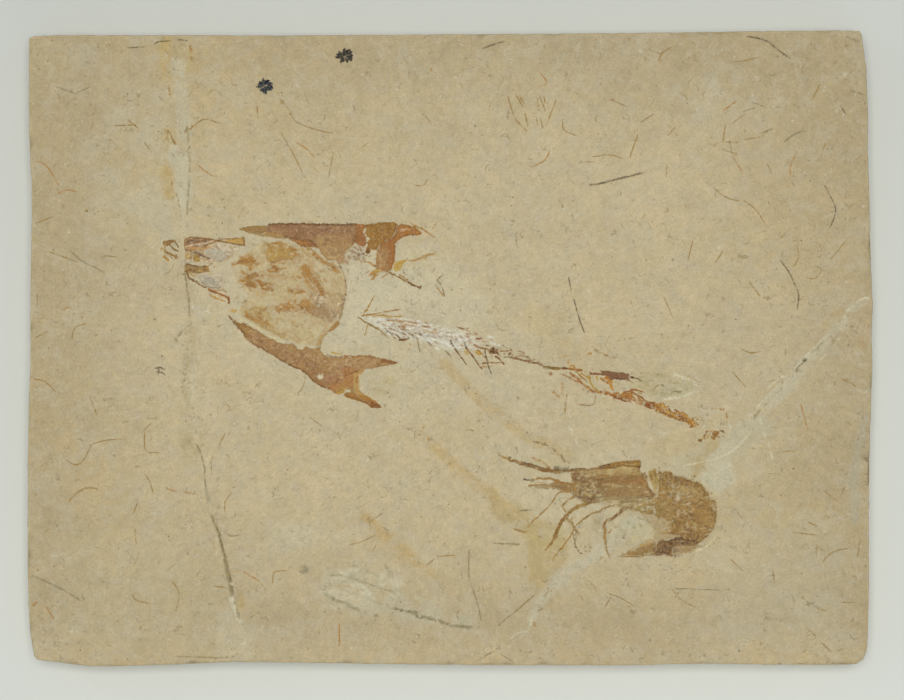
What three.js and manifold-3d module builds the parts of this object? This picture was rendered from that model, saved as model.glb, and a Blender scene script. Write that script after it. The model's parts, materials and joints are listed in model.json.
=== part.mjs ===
// A slab of pale bedded limestone that carries a curled fossil shrimp and a fossil fish.
// Units are millimetres and +Z is up. The slab lies on its back with the fossils facing up.
// The origin is the middle of the slab's underside, +X runs along its long side.

import * as THREE from 'three';
import { mergeVertices } from 'three/addons/utils/BufferGeometryUtils.js';
import Module from 'manifold-3d';

// ---------------------------------------------------------------- driving dimensions

const SLAB_LENGTH = 253;
const SLAB_WIDTH = 190;
const SLAB_THICKNESS = 15;

const EDGE_STEP = 10;          // length of one facet along the slab's broken edge
const EDGE_ROUGHNESS = 0.35;   // how far the edge wanders in and out between two beds
const ARRIS_WEAR = 0.7;        // worn corner between the upper face and the edge

const CRACK_DEPTH = 0.6;       // the healed cracks are shallow grooves
const TAIL_WIDTH = 0.45;       // width at which a stroke of bone or shell runs out
const SINK = 1;                // how far a fossil is made below the face before it is cut flat

const FISH_PLATE_HEIGHT = 0.9;
const FISH_BONE_HEIGHT = 0.5;
const FISH_EYE_HEIGHT = 0.6;
const SKULL_FILM_HEIGHT = 0.3;
const SKULL_BONE_HEIGHT = 0.7;

const CARAPACE_HEIGHT = 1.2;
const CARAPACE_CROWN = 1.6;
const TAIL_FAN_HEIGHT = 0.9;
const LEG_HEIGHT = 0.6;

const HALF_LENGTH = SLAB_LENGTH / 2;
const HALF_WIDTH = SLAB_WIDTH / 2;
const FACE = SLAB_THICKNESS;

// The beds of the slab from the underside up: top of the bed, how far its edge is set back,
// and where along the edge its waviness starts.
const BEDS = [
  { top: 2.4, setBack: 1.5, phase: 0.4 },
  { top: 6.0, setBack: 0.5, phase: 2.1 },
  { top: 9.4, setBack: 1.1, phase: 4.0 },
  { top: FACE, setBack: 0, phase: 0 },
];

// ---------------------------------------------------------------- materials

function material(color, roughness) {
  return new THREE.MeshStandardMaterial({ color, roughness, metalness: 0 });
}

const LIMESTONE = 0xb9ab86;
const SHELL_BROWN = 0x96703f;
const PLUM_BONE = 0x966a46;
const OCHRE_BONE = 0xaf7f3c;
const GREY_BONE = 0xb4ab9c;
const DARK_BONE = 0x7d4a1e;

// ---------------------------------------------------------------- solids

const wasm = await Module();
wasm.setup();

// A closed geometry becomes a solid that can be joined and cut.
function toSolid(geometry) {
  const bare = geometry.clone();
  bare.deleteAttribute('normal');
  bare.deleteAttribute('uv');
  const merged = mergeVertices(bare, 1e-5);
  return new wasm.Manifold(new wasm.Mesh({
    numProp: 3,
    vertProperties: new Float32Array(merged.attributes.position.array),
    triVerts: new Uint32Array(merged.index.array),
  }));
}

function toGeometry(solid) {
  const mesh = solid.getMesh();
  const geometry = new THREE.BufferGeometry();
  geometry.setAttribute('position', new THREE.BufferAttribute(mesh.vertProperties, 3));
  geometry.setIndex(new THREE.BufferAttribute(mesh.triVerts, 1));
  return geometry;
}

function joined(solids) {
  return solids.reduce((whole, next) => whole.add(next));
}

function shapeOf(points) {
  return new THREE.Shape(points.map(([x, y]) => new THREE.Vector2(x, y)));
}

// A flat form that rises from z = low to z = high, with its upper corner broken by a bevel.
function raised(points, low, high, bevel) {
  const geometry = new THREE.ExtrudeGeometry(shapeOf(points), {
    depth: high - low - 2 * bevel,
    bevelEnabled: bevel > 0,
    bevelThickness: bevel,
    bevelSize: bevel,
    bevelOffset: -bevel,
    bevelSegments: 1,
  });
  geometry.translate(0, 0, low + bevel);
  return toSolid(geometry);
}

// Everything below the slab's upper face, used to cut the fossils flat where they lie on it.
function belowFace() {
  const depth = 4 * SINK;
  const box = new THREE.BoxGeometry(SLAB_LENGTH, SLAB_WIDTH, depth);
  box.translate(0, 0, FACE - depth / 2);
  return toSolid(box);
}

const BELOW_FACE = belowFace();

// A patch of fossil of the given height with a closed outline.
function patch(points, height, bevel = 0.2) {
  return raised(points, FACE - SINK - bevel, FACE + height, bevel);
}

// The outline of a stroke of the given width along a smooth line through points.
function strokeOutline(points, startWidth, endWidth, stepsPerSpan = 2) {
  const curve = new THREE.SplineCurve(points.map(([x, y]) => new THREE.Vector2(x, y)));
  const steps = (points.length - 1) * stepsPerSpan;
  const left = [];
  const right = [];
  for (let i = 0; i <= steps; i += 1) {
    const along = i / steps;
    const middle = curve.getPoint(along);
    const heading = curve.getTangent(along);
    const half = THREE.MathUtils.lerp(startWidth, endWidth, along) / 2;
    left.push([middle.x - heading.y * half, middle.y + heading.x * half]);
    right.push([middle.x + heading.y * half, middle.y - heading.x * half]);
  }
  return left.concat(right.reverse()).reverse();
}

// A stroke of bone or shell, which narrows from its start to its end.
function stroke(points, startWidth, endWidth = TAIL_WIDTH, height = FISH_BONE_HEIGHT) {
  const bevel = Math.min(startWidth, endWidth) * 0.28;
  return patch(strokeOutline(points, startWidth, endWidth), height, bevel);
}

const group = new THREE.Group();

// Joins the forms of one fossil piece, cuts it flat on the slab and adds it to the group.
function addFossil(name, color, forms) {
  const solid = joined(forms).subtract(BELOW_FACE);
  const mesh = new THREE.Mesh(toGeometry(solid), material(color, 0.7));
  mesh.name = name;
  group.add(mesh);
}

// ---------------------------------------------------------------- slab

// Corners of the slab seen from above, anticlockwise from the lower left corner.
const SLAB_CORNERS = [
  [-124, -93.2], [-118, -94.4], [-108.4, -HALF_WIDTH], [-93.7, -94.9], [-75.3, -94.7],
  [-66.1, -94], [-64.6, -94.9], [-61.2, -94.8], [-59.8, -94], [-45, -94.1], [0, -94.7],
  [51, -94.9], [63, -94.9], [75, -93.8], [96, -94], [117, -94.4], [120.9, -HALF_WIDTH],
  [125.3, -93.6], [124.8, -75.8], [125.1, -45.8], [125.7, -15.8], [125.6, 6],
  [HALF_LENGTH, 12.8], [125.8, 24], [125.6, 53], [125.3, 71.6], [125.1, 85.7],
  [123.6, HALF_WIDTH], [111, 94.9], [75, 94.3], [45, 94], [3, 93.5], [-45, 93.5],
  [-63, 93.2], [-90, 93.5], [-117, 93.5], [-125.7, 93.2], [-125.1, 53.3], [-125.1, 44.3],
  [-125.4, 14.3], [-126, -15.8], [-HALF_LENGTH, -51.8], [-126.3, -75.8], [-125.7, -84.8],
];

// The slab's outline in short facets, each pushed inwards by the bed's own broken edge.
function bedOutline({ setBack, phase }) {
  const outline = [];
  let run = 0;
  SLAB_CORNERS.forEach(([x0, y0], i) => {
    const [x1, y1] = SLAB_CORNERS[(i + 1) % SLAB_CORNERS.length];
    const span = Math.hypot(x1 - x0, y1 - y0);
    const facets = Math.max(1, Math.round(span / EDGE_STEP));
    for (let k = 0; k < facets; k += 1) {
      const t = k / facets;
      const wander = Math.sin(0.21 * run + phase) + Math.sin(0.67 * run + 2 * phase);
      const push = setBack > 0 ? setBack + EDGE_ROUGHNESS * wander : 0;
      const inwards = 1 - push / Math.min(HALF_LENGTH, HALF_WIDTH);
      outline.push([(x0 + (x1 - x0) * t) * inwards, (y0 + (y1 - y0) * t) * inwards]);
      run += span / facets;
    }
  });
  return outline;
}

// The two healed cracks. Each stretch has its own widths; the second crack passes under the shrimp.
const CRACKS = [
  { widths: [0.8, 1], line: [[-81.6, 92], [-80.3, 54], [-80.4, 32.3], [-78.6, 18.5], [-76.2, -9.8]] },
  { widths: [1, 1.3], line: [[-76.2, -9.8], [-74, -34], [-69.3, -55.7], [-65.2, -74.5], [-63, -93]] },
  { widths: [1.2, 1], line: [[125, 11.6], [106.5, -3.8], [91.5, -21.2], [84, -29]] },
  { widths: [0.8, 1], line: [[29, -71], [20.9, -78.6], [9.6, -93]] },
];

function addSlab() {
  let bedLow = 0;
  const beds = BEDS.map((bed) => {
    const bevel = bed.top === FACE ? ARRIS_WEAR : 0;
    const solid = raised(bedOutline(bed), bedLow, bed.top, bevel);
    bedLow = bed.top;
    return solid;
  });
  const grooves = CRACKS.map(({ widths: [start, end], line }) => (
    raised(strokeOutline(line, start, end, 3), FACE - CRACK_DEPTH, FACE + SINK, 0)));
  const solid = joined(beds).subtract(joined(grooves));
  const mesh = new THREE.Mesh(toGeometry(solid), material(LIMESTONE, 0.9));
  mesh.name = 'slab';
  group.add(mesh);
}

// ---------------------------------------------------------------- shrimp

const CARAPACE = [
  [36.2, -37.8], [38, -36.6], [41, -36.2], [44.5, -35.5], [48, -34.7], [52, -34.1],
  [56.8, -33.8], [57.3, -35.2], [57, -36.8], [58.4, -38], [59.2, -40], [59.9, -42.2],
  [61.4, -44.2], [60.6, -46.2], [58, -47.6], [54, -48.6], [50, -47], [46, -46],
  [43, -46.8], [40.8, -46.6], [38.4, -45], [36.8, -43.4], [36.6, -41.4], [36.4, -39.6],
];
const BACK_BAND = [
  [43, -36.3], [48, -35], [52, -34.5], [56.5, -34.2], [56.8, -35.6], [52, -36.2], [44, -37.4],
];
const GILL_COVER = [
  [42, -40.4], [46, -38.8], [51, -38.3], [56.8, -38.4], [58.4, -40.4], [59.2, -43],
  [57, -44.2], [51, -44.4], [46, -45], [42.4, -43.6],
];

// The six rings of the tail, from the carapace round the curl. Each has its own height.
const TAIL_RINGS = [
  { height: 1.4, outline: [
    [59.4, -37], [61.4, -36.2], [62.4, -38.2], [62.7, -42], [63.6, -48], [62.8, -50.6],
    [58.8, -50], [56.4, -48], [60.4, -45.2], [60.6, -42.2], [59.6, -39.6]] },
  { height: 1.1, outline: [
    [62.6, -37.4], [66.6, -37.3], [67.2, -39.2], [66.8, -43], [66.6, -47.4], [65.4, -51.8],
    [62.2, -50.8], [62.4, -44]] },
  { height: 1.4, outline: [
    [66.8, -39.2], [69.6, -38.6], [71.8, -40], [71.4, -44], [69.2, -48.4], [66.6, -52.6],
    [64.8, -51.8], [66.2, -46]] },
  { height: 1.1, outline: [
    [71.4, -40], [74.4, -40.5], [77.7, -43.6], [75.2, -46.6], [71.4, -49.6], [67.6, -53.4],
    [66, -52.4], [69.2, -48]] },
  { height: 1.4, outline: [
    [77, -43.2], [79.7, -45.6], [80.1, -48.6], [80, -51.4], [75.4, -51.8], [71, -53],
    [67.4, -55], [65.8, -53.8], [71.2, -49.2]] },
  { height: 1.1, outline: [
    [80, -51], [79.2, -54], [77.4, -56.8], [74.6, -59], [71.4, -57.8], [68.6, -56.4],
    [64, -56.2], [63, -55.2], [66.2, -54], [71.6, -52.6]] },
];
const TAIL_FAN = [
  [75, -58.4], [73.6, -59.7], [66.9, -60.1], [66.5, -61.6], [68.8, -62.2], [66.2, -62.9],
  [61.4, -62.7], [57, -63], [52, -62.9], [50.3, -62.6], [54.4, -60.8], [57.2, -59.6],
  [58.8, -58.2], [61.8, -58.4], [63.8, -57.4], [67.8, -56.4], [71, -56.8],
];

// Feelers and legs: widths at the root and at the tip, and the line from root to tip.
const LIMBS = {
  upper_feeler: [1.2, 0.6, [
    [40, -36.9], [36, -36.9], [32.4, -37], [29.6, -36.8], [26.8, -36.2], [24, -35.2], [21.2, -34.6],
    [18, -33.7], [14.8, -32.4]]],
  middle_feeler: [1.5, 0.5, [
    [38, -41.6], [34.4, -41], [31.2, -39.9], [28, -39.4], [25.4, -39.5], [22.4, -39.5]]],
  lower_feeler: [1.4, 1, [
    [38, -42.2], [34, -42.1], [31, -41.7], [28, -41.6], [24.6, -41.5], [23.6, -41.4]]],
  whip: [0.6, 0.5, [
    [38, -43.6], [34.6, -43.2], [32.2, -44], [30.9, -46], [29.2, -48.1], [26.6, -50.5],
    [23.8, -53.2]]],
  claw_leg: [0.7, 0.6, [
    [38.2, -44.2], [35.8, -45.6], [33.6, -47.3], [34.2, -48.4], [34.8, -50.4]]],
  thick_leg: [1.1, 0.6, [
    [42, -46.2], [39.6, -47.4], [37, -48.5], [34.9, -50.4], [33.4, -52.2], [32.2, -54.8],
    [31, -57], [29.8, -59.4], [28.4, -60.8]]],
  thick_leg_shin: [1.6, 1.2, [[35, -50.2], [33.5, -52.4], [32.4, -54.6], [31.5, -56.8]]],
  thick_leg_fork: [1, 0.7, [[34.8, -51], [36, -52.6], [37, -54.2], [38.3, -55.8]]],
  long_leg: [0.7, 0.5, [
    [50.4, -46.4], [47, -47.9], [43.8, -49.4], [41, -50.8], [38.4, -52.8], [37, -54.6],
    [35.4, -57.6], [33, -60.6], [30.7, -64]]],
  thin_leg: [0.5, 0.4, [[36.6, -55], [37.2, -57.6], [37.6, -59.8], [38.6, -61.4], [39.6, -61.7]]],
  hind_leg: [1.2, 0.6, [
    [53.4, -47.6], [51.6, -49], [49.2, -50.8], [46.9, -52], [46.1, -54], [46.4, -56.6],
    [46.8, -59.4], [47.9, -63]]],
};

function addShrimp() {
  const rings = TAIL_RINGS.map(({ height, outline }) => patch(outline, height, 0.35));
  const limbs = Object.values(LIMBS).map(([root, tip, line]) => stroke(line, root, tip, LEG_HEIGHT));
  addFossil('shrimp', SHELL_BROWN, [
    patch(CARAPACE, CARAPACE_HEIGHT, 0.4),
    patch(BACK_BAND, CARAPACE_CROWN, 0.3),
    patch(GILL_COVER, CARAPACE_CROWN, 0.4),
    patch(TAIL_FAN, TAIL_FAN_HEIGHT, 0.3),
    ...rings,
    ...limbs,
  ]);
}

// ---------------------------------------------------------------- fish: snout, eyes and jaws

const SNOUT_TIP_NOSE = [
  [-86.2, 31.9], [-84.4, 32.4], [-82.6, 32.4], [-82.2, 31.6], [-83.6, 30.8], [-85.2, 30.3],
  [-86.2, 30.9],
];
const SNOUT_TIP_LINES = [
  [[-84.4, 31.4], [-82.8, 29.7], [-81.9, 29]],
  [[-85.8, 29.4], [-84, 28.2], [-82, 27]],
  [[-84.6, 31], [-84.9, 28.9], [-85.6, 27.2]],
];
const SNOUT_MASS = [
  [-79.9, 32], [-79, 32.8], [-76, 33.2], [-72, 32.7], [-70, 31.9], [-72.2, 30.9], [-74, 29.9],
  [-77, 29.7], [-78.4, 28.6], [-79.8, 29.2],
];
const SNOUT_BAR = [[-74, 32.2], [-70, 32.1], [-66, 32.1], [-61.8, 31.9]];
const SNOUT_DROP = [[-78, 29.6], [-77, 27.4], [-75.6, 26.4], [-74.4, 26.8]];
const UPPER_EYE = [
  [-73.6, 29.1], [-72.4, 29.6], [-71, 29.7], [-69, 29.2], [-67.5, 28.4], [-66.9, 27.6],
  [-67.7, 26.5], [-69, 25.7], [-70, 25.8], [-71.4, 26.9], [-73.2, 28.1],
];
const JAW_PLATE = [
  [-79.7, 24.5], [-79.2, 25.2], [-76.5, 24.5], [-73.2, 24.4], [-72.3, 23.4], [-72.3, 22.8],
  [-75, 22.5], [-78, 22.5], [-79.6, 22.9],
];
const JAW_LINE = [[-78.4, 23], [-78.2, 21], [-76.8, 20], [-75.4, 19]];
const LOWER_EYE = [
  [-75.5, 21.5], [-74.5, 21.9], [-72.5, 21.8], [-70.8, 20.9], [-69.4, 20.2], [-68.9, 19],
  [-68.5, 18.2], [-69.5, 17.8], [-71.5, 17.9], [-73.5, 18.4], [-74.7, 19.9],
];
const CHIN_BAR = [[-72, 16.9], [-70.6, 16.5], [-69, 15.8], [-67.3, 15.2], [-66.4, 14.2]];
const CHIN_BAR_LOWER = [[-71.8, 15.4], [-70, 14.9], [-68.6, 15.4]];

function addFishFront() {
  addFossil('fish_snout_tip', DARK_BONE, [
    patch(SNOUT_TIP_NOSE, FISH_PLATE_HEIGHT),
    ...SNOUT_TIP_LINES.map((line) => stroke(line, 0.6)),
  ]);
  addFossil('fish_snout', PLUM_BONE, [
    patch(SNOUT_MASS, FISH_PLATE_HEIGHT),
    stroke(SNOUT_BAR, 1.3, 2.2, SKULL_BONE_HEIGHT),
    stroke(SNOUT_DROP, 1, 0.8),
  ]);
  addFossil('fish_upper_eye', GREY_BONE, [patch(UPPER_EYE, FISH_EYE_HEIGHT, 0.3)]);
  addFossil('fish_jaw_plate', DARK_BONE, [patch(JAW_PLATE, SKULL_BONE_HEIGHT), stroke(JAW_LINE, 0.6)]);
  addFossil('fish_lower_eye', GREY_BONE, [patch(LOWER_EYE, FISH_EYE_HEIGHT, 0.3)]);
  addFossil('fish_chin_bone', DARK_BONE, [stroke(CHIN_BAR, 0.8, 0.6), stroke(CHIN_BAR_LOWER, 0.6)]);
}

// ---------------------------------------------------------------- fish: skull

// The thin crushed skull, and the bones that stand up on it.
const SKULL_FILM = [
  [-66, 25.4], [-63, 26.6], [-60.6, 28.6], [-57, 31.6], [-53, 31.9], [-47.4, 31.3], [-44.6, 29.7],
  [-40.2, 29.2], [-38.4, 27.2], [-36.4, 25.6], [-34, 25.6], [-32.2, 23], [-31.3, 20],
  [-31.1, 18.2], [-31.5, 15], [-32.6, 10], [-33.6, 7.5], [-36.6, 5], [-38.6, 2.4], [-39, 0.4],
  [-42, 0.6], [-45.6, 1], [-48.4, 2.2], [-52, 3.4], [-57, 5.6], [-61.4, 8.4], [-63.4, 9.8],
  [-62.6, 13], [-60.4, 16], [-64, 19.6], [-65, 22.6],
];
const SKULL_BONES = {
  nose_bone: [
    [-65.6, 25.3], [-63, 26], [-61.2, 27.7], [-59.6, 27.7], [-58, 25.9], [-59.4, 23.8],
    [-61.5, 24.5]],
  brow_bone: [
    [-63, 22.5], [-58, 22.6], [-56.2, 20.8], [-54.2, 19.4], [-54.2, 17.3], [-57.4, 18],
    [-59.8, 17.8], [-62.9, 19.6]],
  roof_bone: [
    [-56.2, 31.4], [-53, 31.1], [-50.5, 31.1], [-46, 29.8], [-46.2, 27], [-48.7, 26.1],
    [-51.6, 25.2], [-53, 23], [-54.6, 23.4], [-55.4, 27]],
  rear_bone: [
    [-44.6, 24], [-42.6, 23.4], [-40, 19.6], [-37.8, 16.2], [-39.2, 15.6], [-42.4, 18.2],
    [-43.8, 21]],
  rear_ridge: [
    [-42.2, 29], [-40.4, 27.6], [-36, 24.6], [-33.9, 22.6], [-34.8, 22], [-38.2, 24.6],
    [-42.4, 27.8]],
  cheek_bone: [
    [-44.5, 14.6], [-42.4, 14.4], [-41, 10.4], [-45.2, 12.6], [-46.5, 11.3], [-51.3, 10],
    [-52.2, 11], [-49.5, 12.9], [-46.4, 12.6]],
  lower_bone: [
    [-62, 11], [-58.5, 12.5], [-54.8, 12], [-53, 9.4], [-52.4, 6], [-48.8, 3.4], [-50.4, 3],
    [-54, 4.8], [-60, 8.4]],
};

function addFishSkull() {
  const bones = Object.values(SKULL_BONES).map((outline) => patch(outline, SKULL_BONE_HEIGHT, 0.2));
  addFossil('fish_skull', OCHRE_BONE, [patch(SKULL_FILM, SKULL_FILM_HEIGHT, 0.15), ...bones]);
}

// ---------------------------------------------------------------- fish: side plates and spines

const UPPER_PLATE = [
  [-63.4, 35.4], [-60.5, 36.3], [-55, 36.6], [-54.3, 37.2], [-28, 37.3], [-27.9, 31.2],
  [-31, 29.8], [-32, 27.7], [-34, 26.6], [-37, 26.4], [-38.9, 28.6], [-39.8, 29.9],
  [-44.4, 30.4], [-46, 31.4], [-48, 32.4], [-52.4, 32.6], [-57.2, 33.2], [-59.3, 34.2],
];
const UPPER_PLATE_END = [
  [-28.2, 37.2], [-16.6, 37.3], [-16.8, 35], [-17.4, 33.5], [-19.6, 31.8], [-21.9, 29.7],
  [-23.6, 29.4], [-24.4, 28], [-25.4, 28.4], [-25.4, 30.4], [-28.2, 31.2],
];
const UPPER_SPINE = [
  [-15.2, 36.8], [-12, 36.4], [-8.6, 34.8], [-9.3, 33.7], [-12, 33.7], [-14.5, 32.8],
  [-16, 31.5], [-16.5, 29], [-16.6, 25.4], [-13.2, 26.2], [-15, 23.2], [-18.5, 22.8],
  [-22.3, 24.5], [-22, 28.5], [-19.8, 31.2], [-17.2, 32.8], [-16.2, 34.2],
];
const LOWER_PLATE = [
  [-66.4, 9.5], [-64.8, 8], [-61.5, 6.9], [-57, 4.4], [-53, 2.5], [-49, 0.8], [-46, -0.4],
  [-42, -0.2], [-38.9, -0.6], [-36.6, -2.8], [-31.6, -2.6], [-24, -2.3], [-18.6, -3.7],
  [-15.4, -4.6], [-20.6, -5.8], [-27.4, -7.3], [-25.2, -8.2], [-27.1, -12.9], [-20.4, -17.9],
  [-24, -17.9], [-31.6, -14.4], [-35.2, -13.2], [-39.4, -11.4], [-43.8, -7.3], [-49, -4.6],
  [-54.8, -1.2], [-60, 1.4], [-62.2, 4.4], [-64.4, 6.8],
];
const LOWER_PLATE_KEEL = [
  [-60, 4.6], [-52, 0.8], [-44, -2.2], [-38, -5.4], [-34, -8], [-29, -12.6], [-22.4, -17.2],
];
const FIN_RAY = [[-22.2, 23.4], [-19, 22.4], [-15.3, 21.1], [-12, 19.4], [-9, 17.8]];

function addFishPlates() {
  addFossil('fish_upper_plate', PLUM_BONE, [
    patch(UPPER_PLATE, FISH_PLATE_HEIGHT),
    patch(UPPER_PLATE_END, SKULL_BONE_HEIGHT),
  ]);
  addFossil('fish_upper_spine', OCHRE_BONE, [patch(UPPER_SPINE, FISH_PLATE_HEIGHT)]);
  addFossil('fish_lower_plate', PLUM_BONE, [
    patch(LOWER_PLATE, FISH_PLATE_HEIGHT),
    stroke(LOWER_PLATE_KEEL, 1.4, 1.2, FISH_PLATE_HEIGHT + 0.3),
  ]);
}

// ---------------------------------------------------------------- fish: backbone and tail

// Each named bone is one or more strokes: start width, end width and line.
const BONES = {
  fish_fin_ray: [[0.6, 0.5, FIN_RAY]],
  fish_neck_bones: [
    [0.5, 0.5, [[-26.8, 9.3], [-24, 9.9], [-18, 10.9], [-14.9, 11.5]]],
    [0.5, 0.5, [[-25, 9.1], [-24.9, 11.2], [-24.1, 12.9], [-22.7, 15.3]]],
    [0.6, 0.6, [[-22.4, 10.7], [-21.2, 9.7], [-19, 9.5], [-17, 9.2], [-14.8, 9.4]]],
    [0.6, 0.5, [[-26.2, 10], [-26, 7.9], [-23.6, 6.5], [-21.8, 5.6], [-20, 4.6], [-18.6, 3]]],
  ],
  fish_back_bones: [
    [0.6, 0.6, [[-18.8, 8.2], [-16, 8], [-13, 7.8], [-9, 7.6]]],
    [0.6, 0.6, [[-17, 8], [-15, 6.4], [-12, 6.6], [-10, 6.4]]],
    [0.6, 0.6, [[-15.6, 6.8], [-15.4, 4.8], [-13, 3.6], [-9.3, 2.4]]],
  ],
  fish_front_rib: [[0.5, 0.5, [[0.1, 1.9], [0.9, 0.4], [2.6, -2], [4.8, -5]]]],
  fish_second_rib: [[0.5, 0.5, [[4.4, 1.2], [5, -0.3], [7.3, -3.3], [9.6, -6.5]]]],
  fish_middle_vertebrae: [
    [0.6, 0.6, [[7.2, 0.8], [8.2, 0.2], [9.8, -0.4], [12.2, -1]]],
    [1.8, 1.2, [[11.8, -0.9], [13.4, -1.1]]],
    [0.5, 0.5, [[13, -1.4], [14.8, -3.3], [16, -5]]],
    [0.5, 0.5, [[13.2, -1], [15, -1.1], [17, -1.1], [18.2, -0.8]]],
    [0.6, 0.5, [[12.4, -1.4], [11.4, -4.4], [9.8, -4.7]]],
    [0.5, 0.5, [[11, -4.5], [13, -4.5], [15.6, -4.6]]],
  ],
  fish_backbone: [
    [0.8, 0.8, [[19, -3.2], [22.4, -4], [26.5, -4.9], [31, -6.3], [35, -6.3], [39.4, -6.9]]],
    [0.8, 1, [[39, -6.9], [41.6, -7.4], [44, -7.9], [47.4, -8.5]]],
    [0.6, 0.6, [[36.2, -6.8], [38.4, -9], [39.9, -10.8], [41.9, -12.3]]],
    [0.6, 0.6, [[41, -7.4], [41.9, -9.6], [43, -11.8], [44.8, -13.2]]],
    [0.6, 0.5, [[41.9, -13.1], [45.2, -13.4], [48.4, -14.5], [52.6, -16]]],
    [1.2, 1, [[47.6, -8.6], [48.2, -10.6], [48.7, -12.4]]],
    [0.6, 0.5, [[53.4, -8.9], [55.2, -9.1], [57, -9.8]]],
  ],
};
const TAIL_PLATE = [
  [45.2, -6.9], [49.5, -7.3], [53.9, -7.9], [54.1, -8.8], [54.4, -10.3], [51, -9.7],
  [47.4, -9.7], [45.4, -8.2],
];
const TAIL_RAYS = [
  [49.8, -13.3], [53.4, -13.2], [55.2, -12.6], [58.3, -13.4], [55.6, -13.7], [58.2, -15.7],
  [54.6, -14.8], [57.2, -16.7], [52, -15.2],
];
const TAIL_STEM = [
  [59, -15.9], [61.2, -16.3], [64.2, -16.5], [65.7, -17.7], [67.2, -18.8], [70.8, -19.7],
  [71.6, -21], [73.2, -21.6], [74.6, -23], [73.2, -23.9], [72, -24.1], [70.2, -22.4],
  [66.4, -21.1], [63.9, -19.9], [61.7, -19.2], [61.4, -18.4], [60, -18.4], [58.4, -17.4],
];
const TAIL_BITS = {
  fish_tail_end_front: [
    [74.5, -27.6], [75.2, -27.2], [76.1, -26.8], [76.2, -25.8], [77, -25.2], [77.4, -25.9],
    [77, -27], [75.7, -28], [74.8, -28.2]],
  fish_tail_end_rear: [
    [78.6, -26.9], [79, -25.4], [80.4, -24.9], [82, -24.9], [82.3, -25.6], [80.8, -26],
    [79.8, -27.2], [79, -27.5]],
};

function addFishBackbone() {
  Object.entries(BONES).forEach(([name, strokes]) => {
    const forms = strokes.map(([start, end, line]) => stroke(line, start, end));
    if (name === 'fish_backbone') forms.push(patch(TAIL_PLATE, SKULL_BONE_HEIGHT));
    addFossil(name, DARK_BONE, forms);
  });
  addFossil('fish_tail_rays', OCHRE_BONE, [patch(TAIL_RAYS, FISH_BONE_HEIGHT, 0.15)]);
  addFossil('fish_tail_stem', OCHRE_BONE, [patch(TAIL_STEM, SKULL_BONE_HEIGHT)]);
  Object.entries(TAIL_BITS).forEach(([name, outline]) => {
    addFossil(name, OCHRE_BONE, [patch(outline, FISH_BONE_HEIGHT, 0.15)]);
  });
}

addSlab();
addShrimp();
addFishFront();
addFishSkull();
addFishPlates();
addFishBackbone();

export default group;
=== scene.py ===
"""Looks of the limestone slab with its fossil shrimp and its fossil fish.

Places and widths in this script are millimetres in the CAD part's frame: x runs along the slab,
y across it, and z out of the face that carries the fossils. The bump, the loose grains, the floor,
the lights and the camera are in metres. The colours that are painted are screen colours, 0 to 255,
and those in the materials are plain values, 0 to 1.
"""

import json
import math
import random

import bpy
import numpy as np
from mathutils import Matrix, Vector
from mathutils.geometry import delaunay_2d_cdt


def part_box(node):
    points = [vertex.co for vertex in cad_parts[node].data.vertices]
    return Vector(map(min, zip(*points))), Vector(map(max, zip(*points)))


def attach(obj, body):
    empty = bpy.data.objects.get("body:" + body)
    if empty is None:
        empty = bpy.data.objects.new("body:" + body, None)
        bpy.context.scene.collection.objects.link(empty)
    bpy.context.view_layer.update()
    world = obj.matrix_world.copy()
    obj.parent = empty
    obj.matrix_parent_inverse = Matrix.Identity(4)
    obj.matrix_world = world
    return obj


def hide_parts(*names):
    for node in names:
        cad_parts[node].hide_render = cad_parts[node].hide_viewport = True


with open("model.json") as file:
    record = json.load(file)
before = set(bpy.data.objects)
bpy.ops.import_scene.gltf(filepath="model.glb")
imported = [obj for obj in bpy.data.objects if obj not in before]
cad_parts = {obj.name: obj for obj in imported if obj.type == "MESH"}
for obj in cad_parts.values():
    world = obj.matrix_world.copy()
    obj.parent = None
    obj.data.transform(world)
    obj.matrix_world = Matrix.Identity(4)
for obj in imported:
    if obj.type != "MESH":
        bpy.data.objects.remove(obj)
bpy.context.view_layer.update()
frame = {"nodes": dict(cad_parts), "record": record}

MM = 0.001
FACE = 15.0  # height of the slab's face
HALF_LENGTH = 126  # of the slab, rounded
HALF_WIDTH = 95
ALL = slice(None)  # all points of a face
LIT = 0.90  # a white card on the face shows this bright
RELIEF = 0.34  # how high the fossils stand, as a share of the heights named with each shape
SKIRT = 0.03  # height of the thin skirt round each fossil
SKIRT_REACH = 0.4  # how far the skirt goes out from the film before it dips into the stone
SUNK = -0.3  # a fossil's surface dips this far into the stone where it has no film
BARE = 0.04  # less film than this counts as bare stone
WORN = 0.06  # film that is worn right off stands this high
BARE_STONE = (195, 178, 141)
BARE_FILM = (160, 130, 88)
SIDE_STONE = (194, 174, 134)
UNDER_STONE = (178, 164, 128)
CLEAN_RIM = (206, 196, 164)
FILM_LUMPS = (0.14, 0.22)  # how softly lumps of noise begin: below and above their level
WEAR_LUMPS = (0.12, 0.2)
STONE_LUMPS = (0.35, 0.45)
FILM_HUE = np.array((0.97, 0.95, 0.88))  # the stone shows through the film and would cool its colours


# ---------------------------------------------------------------- colours and chance


def lin(colour):
    """The reflectance that shows as the given screen colour under this script's light."""
    c = np.asarray(colour, float) / 255
    return np.where(c <= 0.04045, c / 12.92, ((c + 0.055) / 1.055) ** 2.4) / LIT


def pts(text):
    """A list of places written as 'x,y x,y x,y'."""
    return [tuple(float(n) for n in pair.split(",")) for pair in text.split()]


def ramp(low, high, value):
    t = np.clip((value - low) / (high - low), 0, 1)
    return t * t * (3 - 2 * t)


def within(depth, soft):
    """1 inside a shape and 0 outside it, with a soft edge between."""
    return ramp(-soft / 2, soft / 2, depth)


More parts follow.
